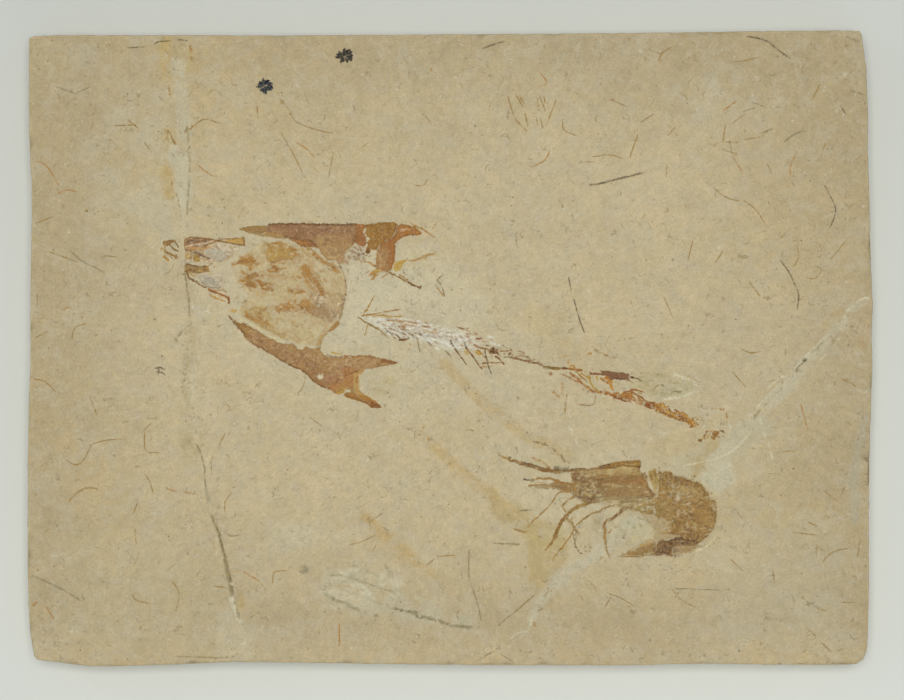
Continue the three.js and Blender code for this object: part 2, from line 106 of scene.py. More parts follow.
def above(noise, level, edge):
    """1 where a noise stands above a level and 0 below it; edge says how softly one becomes the other."""
    return ramp(level - edge[0], level + edge[1], noise)


def mix(layer, i, share, colour):
    """Takes the colours of points i towards one colour, each by its share."""
    layer[i] += share[:, None] * (lin(colour) - layer[i])


def shaded(colour, shade):
    """One colour for many points, lighter or darker by the shade of each."""
    return np.tile(lin(colour), (len(shade), 1)) * shade[:, None]


def chance(i, j, seed):
    """A fixed random number from 0 to 1 for each pair of whole numbers."""
    n = i.astype(np.uint32) * np.uint32(374761393) + j.astype(np.uint32) * np.uint32(668265263)
    n = n + np.uint32((seed * 144269504 + 12345) % 4294967296)
    n = (n ^ (n >> np.uint32(13))) * np.uint32(1274126177)
    n = (n ^ (n >> np.uint32(15))) * np.uint32(2246822519)
    return ((n ^ (n >> np.uint32(16))) & np.uint32(65535)).astype(float) / 65535


def lumps(x, y, size, seed):
    """Smooth random values from -1 to 1 with lumps of about the given size."""
    u = x / size + 517.3
    v = y / size + 733.9
    i = np.floor(u)
    j = np.floor(v)
    fu = ramp(0, 1, u - i)
    fv = ramp(0, 1, v - j)
    i = i.astype(np.int64)
    j = j.astype(np.int64)
    low = chance(i, j, seed) * (1 - fu) + chance(i + 1, j, seed) * fu
    high = chance(i, j + 1, seed) * (1 - fu) + chance(i + 1, j + 1, seed) * fu
    return 2 * (low * (1 - fv) + high * fv) - 1


def clouds(x, y, size, seed, layers=3):
    total = 0
    share = 0
    for k in range(layers):
        total = total + lumps(x, y, size / 2**k, seed + 31 * k) * 0.62**k
        share += 0.62**k
    return total / share * 1.3


# ---------------------------------------------------------------- shapes


def curve(a, b, c, d, t):
    """The value at share t of the way from b to c, on a smooth curve; a lies before b, and d after c."""
    square = 2 * a - 5 * b + 4 * c - d
    cube = 3 * b - 3 * c + d - a
    return b + 0.5 * t * (c - a + t * (square + t * cube))


def bend(path, steps=4):
    """The same path drawn as a smooth curve through its places."""
    if len(path) < 3:
        return path
    ends = [path[0]] + path + [path[-1]]
    found = []
    for a, b, c, d in zip(ends, ends[1:], ends[2:], ends[3:]):
        for k in range(steps):
            t = k / steps
            found.append(tuple(curve(*values, t) for values in zip(a, b, c, d)))
    return found + [path[-1]]


def line_depth(x, y, path, start, end):
    """How deep points lie inside a stroke whose width goes from start to end; negative outside."""
    spans = [math.dist(a, b) for a, b in zip(path, path[1:])]
    whole = max(sum(spans), 1e-6)
    best = np.full(len(x), -99.0)
    run = 0.0
    for (ax, ay), (bx, by), span in zip(path, path[1:], spans):
        t = ((x - ax) * (bx - ax) + (y - ay) * (by - ay)) / max(span * span, 1e-9)
        t = np.clip(t, 0, 1)
        away = np.hypot(x - ax - t * (bx - ax), y - ay - t * (by - ay))
        half = (start + (end - start) * (run + t * span) / whole) / 2
        best = np.maximum(best, half - away)
        run += span
    return best


def area_depth(x, y, corners):
    """How deep points lie inside a closed outline; negative outside."""
    inside = np.zeros(len(x), bool)
    away = np.full(len(x), 1e9)
    for (ax, ay), (bx, by) in zip(corners, corners[1:] + corners[:1]):
        span = (bx - ax) ** 2 + (by - ay) ** 2
        t = np.clip(((x - ax) * (bx - ax) + (y - ay) * (by - ay)) / max(span, 1e-9), 0, 1)
        away = np.minimum(away, np.hypot(x - ax - t * (bx - ax), y - ay - t * (by - ay)))
        if ay != by:
            crossed = (ay > y) != (by > y)
            inside ^= crossed & (x < ax + (y - ay) / (by - ay) * (bx - ax))
    return np.where(inside, away, -away)


# ---------------------------------------------------------------- painting


class Face:
    """Points on the slab's face: the stone's tone, the mineral film over it and how high that film stands."""

    height = 0.5
    grip = 0.5

    def __init__(self, x, y, wobble=0.0, seed=1):
        self.x = x
        self.y = y
        self.wx = x + wobble * clouds(x, y, 1.1, seed)
        self.wy = y + wobble * clouds(x, y, 1.1, seed + 7)
        self.tone = np.tile(lin(BARE_STONE), (len(x), 1))
        self.film = np.tile(lin(BARE_FILM), (len(x), 1))
        self.cover = np.zeros(len(x))
        self.lift = np.full(len(x), SUNK)
        self.ragged = wobble * clouds(x, y, 0.55, seed + 3, 2)
        self.seed = seed * 101

    def reach(self, places, margin):
        xs = [p[0] for p in places]
        ys = [p[1] for p in places]
        near = (self.wx > min(xs) - margin) & (self.wx < max(xs) + margin)
        near &= (self.wy > min(ys) - margin) & (self.wy < max(ys) + margin)
        return np.nonzero(near)[0]

    def lay(self, i, depth, colour, height, cover, soft):
        """Lays film over points i, which lie the given depth inside its shape."""
        depth = depth + self.ragged[i]
        a = within(depth, soft) * cover
        bare = self.cover[i] < BARE
        mix(self.film, i, np.where(bare, np.maximum(a, ramp(-0.65, -0.2, depth)), 0.85 * a), colour)
        self.cover[i] = np.maximum(self.cover[i], a)
        if height is None:
            height = self.height
        if height > 0:
            # A thin skirt round the shape lies just on the stone, so the film can fade out on it.
            t = np.clip(depth / (0.25 + 0.5 * height), 0, 1)
            rise = np.where(depth > 0, SKIRT + RELIEF * height * (1 - (1 - t) ** 2), SKIRT)
            fall = np.maximum(SKIRT + 2 * (depth + SKIRT_REACH), SUNK)
            rise = np.where(depth < -SKIRT_REACH, fall, rise)
            self.lift[i] = np.maximum(self.lift[i], rise)

    def area(self, corners, colour, height=None, cover=1.0, soft=None):
        corners = pts(corners)
        i = self.reach(corners, 0.8)
        if len(i):
            depth = area_depth(self.wx[i], self.wy[i], corners)
            self.lay(i, depth, colour, height, cover, soft or self.grip)

    def line(self, path, width, colour, end=None, height=None, cover=1.0, soft=None):
        path = pts(path)
        end = width if end is None else end
        i = self.reach(path, 0.8 + max(width, end) / 2)
        if len(i):
            depth = line_depth(self.wx[i], self.wy[i], path, width, end)
            self.lay(i, depth, colour, height, cover, soft or self.grip)

    def hair(self, path, width, colour, cover):
        """A fine stain along a bent path: thin at both ends and fainter in places."""
        path = bend(pts(path))
        i = self.reach(path, 0.6 + width / 2)
        if len(i):
            depth = line_depth(self.x[i], self.y[i], path, width, width) + 0.04
            self.seed += 7
            faint = 1.0 + 0.4 * lumps(self.x[i], self.y[i], 0.8, self.seed)
            ends = np.minimum(np.hypot(self.x[i] - path[0][0], self.y[i] - path[0][1]),
                              np.hypot(self.x[i] - path[-1][0], self.y[i] - path[-1][1]))
            depth = depth - 0.35 * width * ramp(0.9, 0, ends)
            self.lay(i, depth, colour, 0, cover * np.clip(faint, 0.4, 1.1), 0.3)

    def dot(self, place, size, colour, height=None, cover=1.0, soft=None):
        """An oval spot; size is its width, or its width and height."""
        ((x, y),) = pts(place)
        wide, tall = size if isinstance(size, tuple) else (size, size)
        i = self.reach([(x - wide / 2, y - tall / 2), (x + wide / 2, y + tall / 2)], 0.8)
        if len(i):
            round_off = np.hypot((self.wx[i] - x) / wide, (self.wy[i] - y) / tall)
            depth = (0.5 - round_off) * min(wide, tall)
            self.lay(i, depth, colour, height, cover, soft or self.grip)

    def crumbs(self, path, spread, count, size, colour, cover, height=0, aim=None):
        """Small scraps of one colour strewn along a path; they all point one way if an aim is given."""
        self.seed += 17
        draw = random.Random(self.seed)
        path = pts(path)
        if not len(self.reach(path, 2 * spread + 2 * size)):
            return
        spans = [math.dist(a, b) + 0.01 for a, b in zip(path, path[1:])]
        for _ in range(count):
            k = draw.choices(range(len(spans)), spans)[0]
            t = draw.random()
            (ax, ay), (bx, by) = path[k : k + 2]
            x = ax + (bx - ax) * t + draw.gauss(0, spread / 2)
            y = ay + (by - ay) * t + draw.gauss(0, spread / 2)
            turn = draw.uniform(0, math.pi) if aim is None else math.radians(aim + draw.uniform(-14, 14))
            far = size * draw.uniform(0.3, 1.8)
            scrap = [(x, y), (x + far * math.cos(turn), y + far * math.sin(turn))]
            wide = size * draw.uniform(0.35, 0.8)
            strong = cover * draw.uniform(0.4, 1)
            i = self.reach(scrap, 0.5 + wide / 2)
            if len(i):
                depth = line_depth(self.wx[i], self.wy[i], scrap, wide, wide / 2)
                self.lay(i, depth, colour, height, strong, 0.3)

    def noise(self, i, size, turn=0, stretch=1, layers=3):
        """A fresh noise at points i, drawn out into streaks that run at `turn` degrees."""
        self.seed += 13
        c = math.cos(math.radians(turn))
        s = math.sin(math.radians(turn))
        along = self.x[i] * c + self.y[i] * s
        across = self.y[i] * c - self.x[i] * s
        return clouds(along / stretch, across, size, self.seed, layers)

    def tint(self, corners, colour, amount, soft, size=None, level=0.0, turn=0, stretch=1):
        """Colours the film inside an outline, whole or (with a size) in lumps."""
        corners = pts(corners)
        i = self.reach(corners, soft)
        if not len(i):
            return
        a = within(area_depth(self.wx[i], self.wy[i], corners), soft) * amount
        if size:
            a = a * above(self.noise(i, size, turn, stretch), level, FILM_LUMPS)
        mix(self.film, i, a, colour)

    def spokes(self, corners, middle, colour, amount, size, stretch, level):
        """Colours the film inside an outline in streaks that run out from a middle point."""
        corners = pts(corners)
        i = self.reach(corners, 0.5)
        if not len(i):
            return
        self.seed += 13
        ((mx, my),) = pts(middle)
        angle = np.arctan2(self.wy[i] - my, self.wx[i] - mx)
        far = np.hypot(self.wx[i] - mx, self.wy[i] - my)
        streak = clouds(angle * 9, far / stretch, size, self.seed)
        a = within(area_depth(self.wx[i], self.wy[i], corners), 0.5) * amount
        mix(self.film, i, a * above(streak, level, FILM_LUMPS), colour)

    def wear(self, corners, amount, soft, size, level, turn=0, stretch=1):
        """Wears the film off in lumps, so the stone shows."""
        corners = pts(corners)
        i = self.reach(corners, soft)
        if not len(i):
            return
        a = within(area_depth(self.wx[i], self.wy[i], corners), soft) * amount
        a = a * above(self.noise(i, size, turn, stretch), level, WEAR_LUMPS)
        self.cover[i] *= 1 - a
        lift = self.lift[i]
        self.lift[i] = np.where(lift > WORN, lift - a * (lift - WORN), lift)

    def wash(self, corners, colour, amount, soft, size=None, level=-0.1, turn=0, stretch=1):
        """Colours the stone itself inside an outline."""
        corners = pts(corners)
        i = self.reach(corners, soft)
        if not len(i):
            return
        depth = area_depth(self.x[i], self.y[i], corners) + 0.3 * soft * self.noise(i, soft + 1)
        a = within(depth, soft) * amount
        if size:
            a = a * above(self.noise(i, size, turn, stretch), level, STONE_LUMPS)
        mix(self.tone, i, a, colour)

    def band(self, path, width, colour, amount, soft, end=None, size=None, level=-0.1):
        """Colours the stone itself along a line."""
        path = pts(path)
        end = width if end is None else end
        i = self.reach(path, soft + max(width, end) / 2)
        if not len(i):
            return
        depth = line_depth(self.x[i], self.y[i], path, width, end) + 0.3 * soft * self.noise(i, soft + 1)
        a = within(depth, soft) * amount
        if size:
            a = a * above(self.noise(i, size), level, STONE_LUMPS)
        mix(self.tone, i, a, colour)

    def roughen(self, size, amount):
        """Gives the raised film lumps of the given size."""
        i = np.nonzero(self.lift > SKIRT + 0.01)[0]
        self.lift[i] += RELIEF * amount * self.noise(i, size) * ramp(0.03, 0.22, self.lift[i])


# ---------------------------------------------------------------- the stone

PALE_STONE = (197, 186, 154)
# painted shade: the stone's colour at the edges of the face, where the light falls off
SHADED_EDGE_STONE = (179, 161, 125)
OCHRE_STONE = (188, 167, 122)
ASH_STONE = (182, 174, 148)
CHALK = (210, 205, 184)
FILLER = (194, 186, 159)
TRENCH = (142, 130, 99)

FIRST_CRACK = pts(
    "-81.6,93.4 -81.3,82 -81,74.3 -80.1,53.3 -80.4,32.3 -78.6,18.5 -77.4,6.8 -76.2,-9.8 -74.4,-24.8"
    " -73.8,-36.8 -72,-48.8 -69.3,-55.7 -68,-61.6 -66.6,-68.6 -65.2,-74.5 -63.6,-81.8 -63,-94.8"
)
SECOND_CRACK_TOP = pts("126.6,12.8 117,6.8 106.5,-3.8 99,-12.8 91.5,-21.2 86,-25")
SECOND_CRACK_FOOT = pts("30,-70 24.6,-74.6 20.9,-78.6 15,-84.8 9,-94.8")

OCHRE_HAIR = (152, 122, 66)
ORANGE_HAIR = (170, 122, 56)
GREY_HAIR = (138, 128, 98)
DARK_HAIR = (104, 94, 72)
FEATHER_HAIR = (170, 124, 62)

# Plant hairs and scratches on the stone: colour, width and where they run.
HAIRS = {
    ORANGE_HAIR: [
        (0.6, "-124.2,56 -121.8,55 -119.9,53 -117.6,48.9"), (0.45, "-118,46.1 -114.8,47.3 -112.5,46.8"),
        (0.5, "29.9,58.8 28.2,56 24.6,54.2"), (0.45, "105.2,-16.9 107.3,-24.6"),
        (0.5, "-61.7,-67.4 -57.5,-69.9"), (0.5, "-121.2,-77.7 -118.9,-81.4"),
        (0.6, "-126,-77.9 -123.8,-76.4"), (0.6, "-79.7,-43.4 -75.8,-44.1"),
        (0.5, "-84.5,-42.5 -82.2,-43.2"), (0.6, "-33.2,-83.2 -33.2,-89.2"),
        (0.45, "-46,61.4 -43.8,60.2 -41.4,57.9"), (0.4, "-75.6,54.7 -73.8,53.2 -71.5,51.6 -69.6,51.3"),
        (0.4, "85.4,56.3 87.8,52.4"), (0.45, "104.1,58.5 102.2,54.8 102.2,51.5"), (0.5, "82,71 85.7,73.8"),
        (0.4, "26.4,83 28.7,80.4 28.7,79 26.9,78.3"), (0.5, "-4.2,18.5 -1.8,15.2"),
    ],
    OCHRE_HAIR: [
        (0.5, "-124.5,37.2 -119.9,39"), (0.45, "-120.3,28.7 -116.2,27.3 -112,25.7"),
        (0.4, "-104.5,26.9 -102.9,27.5 -99.6,27"), (0.4, "-123.8,16 -123.8,11.9"),
        (0.4, "-124.2,3 -120.8,4.8"), (0.5, "-109.3,7.1 -112.5,5.9 -113.4,2.7"),
        (0.45, "79.1,47.9 81.6,45.8 84,44.6 86.8,44"), (0.45, "88.2,44 91,42.1 92.9,39.8 94.3,37.4"),
        (0.5, "118.3,31.4 114.3,26.6"), (0.4, "101.7,35.3 99.4,32.9"),
        (0.4, "107.1,21 108.9,20.6 110.1,21.2 111.5,23.4 109.7,24.3"),
        (0.4, "104.1,30.5 104.6,27.2 103.1,24.3"), (0.4, "81.6,28.5 80.3,26.4"),
        (0.4, "72.8,31.8 71.4,26.3"), (0.5, "89.6,20 92.9,15.5"), (0.4, "64.2,15 66.9,8.9"),
        (0.5, "-107.9,-15.2 -106.1,-19.8"), (0.4, "-125.1,-9.5 -121.7,-10.1 -118.7,-12.9"),
        (0.4, "-98.7,-27.5 -102.9,-27.8 -107.5,-29 -107.9,-29.9 -110.2,-34.1 -112.5,-35.2 -115.3,-33.6"),
        (0.5, "-89.8,-22.8 -91.8,-24.8"), (0.4, "-91.6,-25.3 -91.6,-29.9 -90,-31.5 -87.3,-31.5"),
        (0.6, "-114.3,-46 -112,-43.7 -108.9,-42.1 -105.6,-42.5"),
        (0.5, "-91.4,-38.2 -90,-40.5 -89.1,-43.7"), (0.4, "-93.7,-46.4 -95.1,-50.1"),
        (0.4, "-67.5,-25.8 -69.3,-29.4"), (0.5, "-65.7,-43.7 -67.5,-46.4 -67.5,-49.2"),
        (0.4, "-94.6,-54.3 -94.2,-58.4"), (0.5, "-95.1,-74.5 -94.2,-75.8 -90.3,-76.8"),
        (0.5, "-83.6,-69.6 -81.5,-73.1 -81.5,-76.3 -82.4,-79.1"), (0.45, "-70.7,-71.7 -67.5,-71.9"),
        (0.4, "-53.2,-70.4 -52.9,-67.6 -51.6,-67.1 -49,-66.9"), (0.45, "-20.4,-49.7 -24,-52.4"),
        (0.4, "-23.1,-56.6 -26.8,-58.4 -30,-59.1"), (0.4, "-22.2,-59.3 -23.1,-61"),
        (0.45, "-3.3,-62.6 1.2,-62.3"), (0.4, "-7,-65.3 -4.8,-63.5"),
        (0.4, "47.5,-73.8 51.2,-75.2 54.9,-77.3"), (0.4, "48.4,-74.7 46.1,-78.6"),
        (0.4, "66.5,-72.3 69,-75.4 73.2,-77.9"), (0.4, "96.8,-67 97.3,-70.2"),
        (0.5, "105.9,-75.2 107.6,-76.8"), (0.45, "109.7,-77.9 112.5,-79"), (0.5, "107.3,-84.5 109.7,-86.6"),
        (0.5, "111.5,-88.7 114.3,-91.2"), (0.4, "117.6,-76.5 121.6,-76.5"),
        (0.45, "119.5,-60.2 114.8,-61.4 111.8,-64.2"), (0.4, "123,-58.1 122.1,-62.8"),
        (0.4, "110.1,-59.9 111.8,-60.9"), (0.45, "107.3,-52.3 109.7,-53.4"),
        (0.4, "103.1,-55.5 110.1,-56.3"), (0.4, "84.2,-63.5 87.8,-67"),
        (0.45, "87.5,-.5 90,-1.5 92.9,-1.3"), (0.4, "100.6,-.8 100.6,-2.4"),
        (0.5, "117.4,-9.5 120.2,-10.6 121.8,-11.8"), (0.4, "118.3,-42.1 117.2,-44.4"),
        (0.4, "112,-42.8 116.4,-46.3"), (0.4, "84.5,-7.1 88.7,-11.8"), (0.4, "-36.4,51 -35.1,58.4"),
        (0.4, "-7.5,69.5 -5.7,67.5"), (0.5, "-100.5,66.5 -94.2,66.8"), (0.5, "-91.8,61.7 -89.6,58.7"),
        (0.5, "-84.6,65.3 -82.2,61"), (0.4, "-79.5,64.4 -73.9,68.4 -69.2,67.2"),
        (0.5, "62.7,86 63.6,88.2 66.3,90"), (0.4, "59.7,89.4 63.4,87.9"), (0.4, "48,74.4 53,72.3"),
        (0.4, "57.2,67.5 60.3,69.6"), (0.45, "56.3,63.6 54,57.5"), (0.4, "67.2,65.7 65.4,63.6"),
        (0.5, "40.2,55.7 42.9,55.7"), (0.4, "42.9,57.2 48,57.8 51.6,56.7"),
        (0.4, "85.4,85.7 88.4,86 92.4,87"), (0.45, "87.3,69.2 84.9,67.4"), (0.4, "81.9,61.8 85.8,61.5"),
        (0.4, "88.4,62.3 92.9,63.2"), (0.4, "82.1,59.4 85.7,58"), (0.45, "112.7,61.4 111.3,57.6"),
        (0.4, "110.9,79 108.8,74.6"), (0.4, "65.1,54.8 64.8,51.2"), (0.4, "33.8,68 34.2,65.3 37.7,63.6"),
        (0.45, "17.4,75.2 19.5,68.9 22.7,65.3"), (0.45, "31.7,73.9 28.9,66.7"),
        (0.5, "19.6,76 20.6,74.4 21.8,72.2"), (0.5, "20.8,75.4 22.2,73.4"), (0.5, "26.2,75.4 26.4,72.4"),
        (0.5, "26.9,75.4 28.6,71"), (0.5, "28.2,75.2 28.6,73.2"), (0.5, "25.8,69.4 26.3,66.8"),
        (0.45, "27.2,68.6 27.6,66.6"), (0.45, "22.4,70.4 23.4,66.4"), (0.4, "-58,73 -57.6,68.9"),
        (0.4, "-96.5,68.2 -93.6,65.8"), (0.4, "95.2,55.2 96.3,52.4"),
        (0.4, "-50.2,63.5 -47.4,58.8 -44.2,52.4"),
        (0.4, "-50.9,74.3 -48.3,71.4 -46.5,68 -41.4,65.7 -36,64.4"), (0.4, "82.6,66.8 81.9,61.8"),
        (0.35, "40.4,-16.9 39,-17.2 41.3,-17.4 42.6,-17.2 43.4,-16.4 43.6,-14.4"),
        (0.4, "38,-16.9 39,-17.2"), (0.5, "35,-14 34.5,-19.6"), (0.4, "-43.5,-9.5 -44.2,-12 -45.6,-13.6"),
    ],
    GREY_HAIR: [
        (0.5, "-114.3,29.4 -112,27.2 -109.8,25.5 -106.8,24.2 -103.8,22.4"),
        (0.7, "-125.1,-68.5 -119.9,-70.8 -115.3,-73.1 -111.1,-75.8"), (0.5, "-118,78.2 -112.5,76.2"),
        (0.4, "-112.5,76.2 -108,78.2"), (0.45, "90.5,73.7 94.7,72"), (0.4, "92,72 88.4,71"),
        (0.45, "93.8,64.4 96.6,65.6"), (0.6, "100.4,61.8 103.6,64.1 107.1,65"), (0.6, "120.4,77 123.7,76"),
        (0.5, "119.5,93.1 122.7,91.7"), (0.4, "95.2,-10.4 98,-9.7"),
        (0.5, "-66.9,-55.9 -65.6,-56.6 -63.3,-56.3"),
        (0.5, "5.7,-60.7 5.7,-68.9 6.9,-72.6 8.4,-77.3 9.3,-81.8"), (0.4, "3.2,-67 3.6,-68.9"),
        (0.5, "13.1,-58.7 20.9,-59"), (0.5, "19,-54.3 22.7,-55.4"), (0.4, "15.3,-92 19.5,-94.7"),
        (0.45, "67.7,-72.3 81,-72.8"), (0.5, "21,-49 24.5,-48.7"),
        (0.5, "-4,20.3 -2.6,18.5 -1.8,16.2 -1.6,15.3"), (0.5, "-2.4,21.5 -4.2,20.1"),
        (0.4, "83.8,62.1 84.6,58.4"), (0.4, "-42,-21 -38.6,-23.4"), (0.5, "42.4,-45.6 43.2,-46.9"),
        (0.4, "-10,3.4 -9,-1.4"),
    ],
    DARK_HAIR: [
        (0.8, "42.6,48.8 45,49.2 50.5,50.6 57.9,52.4"), (0.7, "89.4,93.3 94.7,92.1 98.4,89.3 102,86.7"),
        (0.55, "99.2,26 101.5,23 103.1,19.7 104.6,15.9 104.1,11.3"),
        (0.5, "112.5,48.4 114.8,44 115.7,40.7 114.1,36"), (0.6, "10.1,89.8 13,90.9 16,91.7"),
        (0.5, "-96.3,89.9 -91.8,90.2"), (0.5, "-88.9,91 -87.3,91.7 -84,92"), (0.5, "-81,92.3 -78.9,92.1"),
        (0.5, "10.4,-.6 11.2,-4.6 12.4,-8"), (0.5, "117.2,72.6 118.6,70"),
        (0.55, "37.2,14.4 38.6,9.2 40.2,4.6"), (0.5, "35.6,21.2 36.2,17.8"),
        (0.6, "-88.4,-6.2 -86.9,-6 -85.7,-6.6"), (0.55, "-88,-7.3 -86.7,-7.4 -85.4,-8.2"),
        (0.5, "-87.3,-5.8 -87.5,-8"),
    ],
    FEATHER_HAIR: [
        (0.6, "-11.1,36.8 -8.6,35.7 -6.9,34.6 -4.9,33.3"),
        (0.5, "-12.9,26.2 -10.4,25.9 -9.6,26.7 -7.4,27.7 -5.2,28.1"),
        (1.0, "-21.1,23.1 -22.8,22.6 -24.3,21.5"), (0.9, "-22.1,21.8 -23.6,20.3"),
        (0.5, "-25.3,22.3 -24.1,23"), (0.5, "-18.6,22.3 -20.3,21"),
        (0.8, "-24.6,25.7 -22.6,24.5 -21.1,23.7"),
    ],
}

# Small round marks on the stone: place, size and colour.
SPOTS = [
    ("-109,41", 0.9, (140, 108, 52)), ("-5.7,83.4", 0.8, ORANGE_HAIR), ("7.5,66.5", 0.7, DARK_HAIR),
    ("66.8,26.3", 0.8, GREY_HAIR), ("86.8,-91", 0.7, DARK_HAIR), ("124.8,-65.6", 0.8, DARK_HAIR),
    ("103.1,-36.3", 0.7, DARK_HAIR), ("106.4,-3.8", 1.4, (92, 82, 60)), ("104.1,-7", 0.8, DARK_HAIR),
    ("-88.5,8.4", 0.6, DARK_HAIR), ("-86.4,-2.6", 0.7, DARK_HAIR), ("17.5,-50.4", (1.1, 0.6), GREY_HAIR),
    ("73.4,-38.6", 0.65, (64, 60, 52)), ("53,-32.7", 0.5, GREY_HAIR), ("54.2,-33", 0.5, GREY_HAIR),
    ("-8,-24", 0.8, (178, 134, 78)), ("-6.4,-27.6", 0.9, (176, 132, 76)),
    ("-9.2,-26.2", 0.6, (170, 128, 72)), ("-31.2,65.9", 0.6, GREY_HAIR), ("14.6,-31.9", 0.6, GREY_HAIR),
    ("38.7,-53.9", 0.9, (140, 142, 138)),
]

# Crumbled marks: where, spread, how many scraps, their size and colour.
SCRAPS = [
    ("-65.4,-71.2 -65.3,-71", 0.5, 9, 0.6, CHALK), ("-72.6,9.4 -72.2,12.6", 0.5, 16, 0.7, CHALK),
    ("64,-26.4 63.9,-26.2", 0.4, 7, 0.5, CHALK), ("60.2,-27.6 60,-27.4", 0.4, 6, 0.5, CHALK),
    ("-18,-20.8 -13.4,-20.4", 0.8, 20, 0.6, CHALK), ("91.4,80.7 92.4,81.3", 0.3, 8, 0.6, CHALK),
    ("90,75 91.4,76.2", 0.6, 10, 0.5, CHALK), ("118.2,81 118.6,82.4", 0.5, 12, 0.6, CHALK),
    ("121.8,78 121.4,74.4", 0.6, 16, 0.6, (196, 190, 164)), ("112.2,76.8 113,76.6", 0.3, 6, 0.5, CHALK),
    ("102.2,67.8 103,67.6", 0.3, 7, 0.5, CHALK), ("124.8,68.2 125.2,67.8", 0.4, 8, 0.5, CHALK),
    ("-114.6,34.6 -114,34.8", 0.5, 9, 0.5, CHALK), ("-114.2,-85.6 -113,-85", 0.6, 12, 0.6, CHALK),
    ("-123.2,-78.2 -122.2,-80.6 -122.8,-83", 1.1, 30, 0.36, DARK_HAIR),
    ("-122,-84.2 -121.4,-87 -122.4,-89.8", 1.0, 30, 0.42, DARK_HAIR),
    ("-120.4,-84.4 -118.8,-88.6 -117.2,-91.2", 0.8, 26, 0.42, (122, 108, 72)),
    ("-117.8,-76.6 -117.4,-76.4", 0.4, 8, 0.4, DARK_HAIR), ("-104,-80.4 -102,-80.4", 0.8, 7, 0.5, CHALK),
    ("-76,-71 -74.6,-70.4", 0.6, 8, 0.5, CHALK),
]


def stray_hairs(count, seed):
    """Short faint plant hairs all over the face: path, width, colour and cover."""
    draw = random.Random(seed)
    found = []
    for _ in range(count):
        x = draw.uniform(-123, 123)
        y = draw.uniform(-91, 91)
        turn = draw.uniform(0, 2 * math.pi)
        curl = draw.uniform(-0.9, 0.9)
        step = draw.choice((0.5, 0.7, 0.9, 1.2, 1.6))
        corners = [f"{x:.2f},{y:.2f}"]
        for _ in range(draw.choice((1, 2, 2, 3))):
            x += step * math.cos(turn)
            y += step * math.sin(turn)
            turn += curl
            corners.append(f"{x:.2f},{y:.2f}")
        colour = draw.choice((OCHRE_HAIR, OCHRE_HAIR, GREY_HAIR, (158, 140, 100), (146, 116, 62)))
        found.append((" ".join(corners), draw.uniform(0.28, 0.46), colour, draw.uniform(0.25, 0.75)))
    return found


STRAYS = stray_hairs(560, 11)


def dendrite(face, place, size, colour, seed):
    """A star of stubby mineral rays round a grey middle."""
    ((x, y),) = pts(place)
    draw = random.Random(seed)
    face.dot(place, (0.66 * size, 0.52 * size), (104, 102, 92), 0, 0.62, 1.2)
    for k in range(13):
        turn = 0.483 * k + draw.uniform(-0.22, 0.22)
        near = size * draw.uniform(0.06, 0.2)
        far = size * draw.uniform(0.34, 0.54)
        corners = [f"{x + r * math.cos(turn + b):.2f},{y + 0.85 * r * math.sin(turn + b):.2f}"
                   for r, b in ((near, 0), ((near + far) / 2, 0.12), (far, draw.uniform(-0.2, 0.2)))]
        face.hair(" ".join(corners), draw.uniform(0.7, 1.15), colour, 1.5)


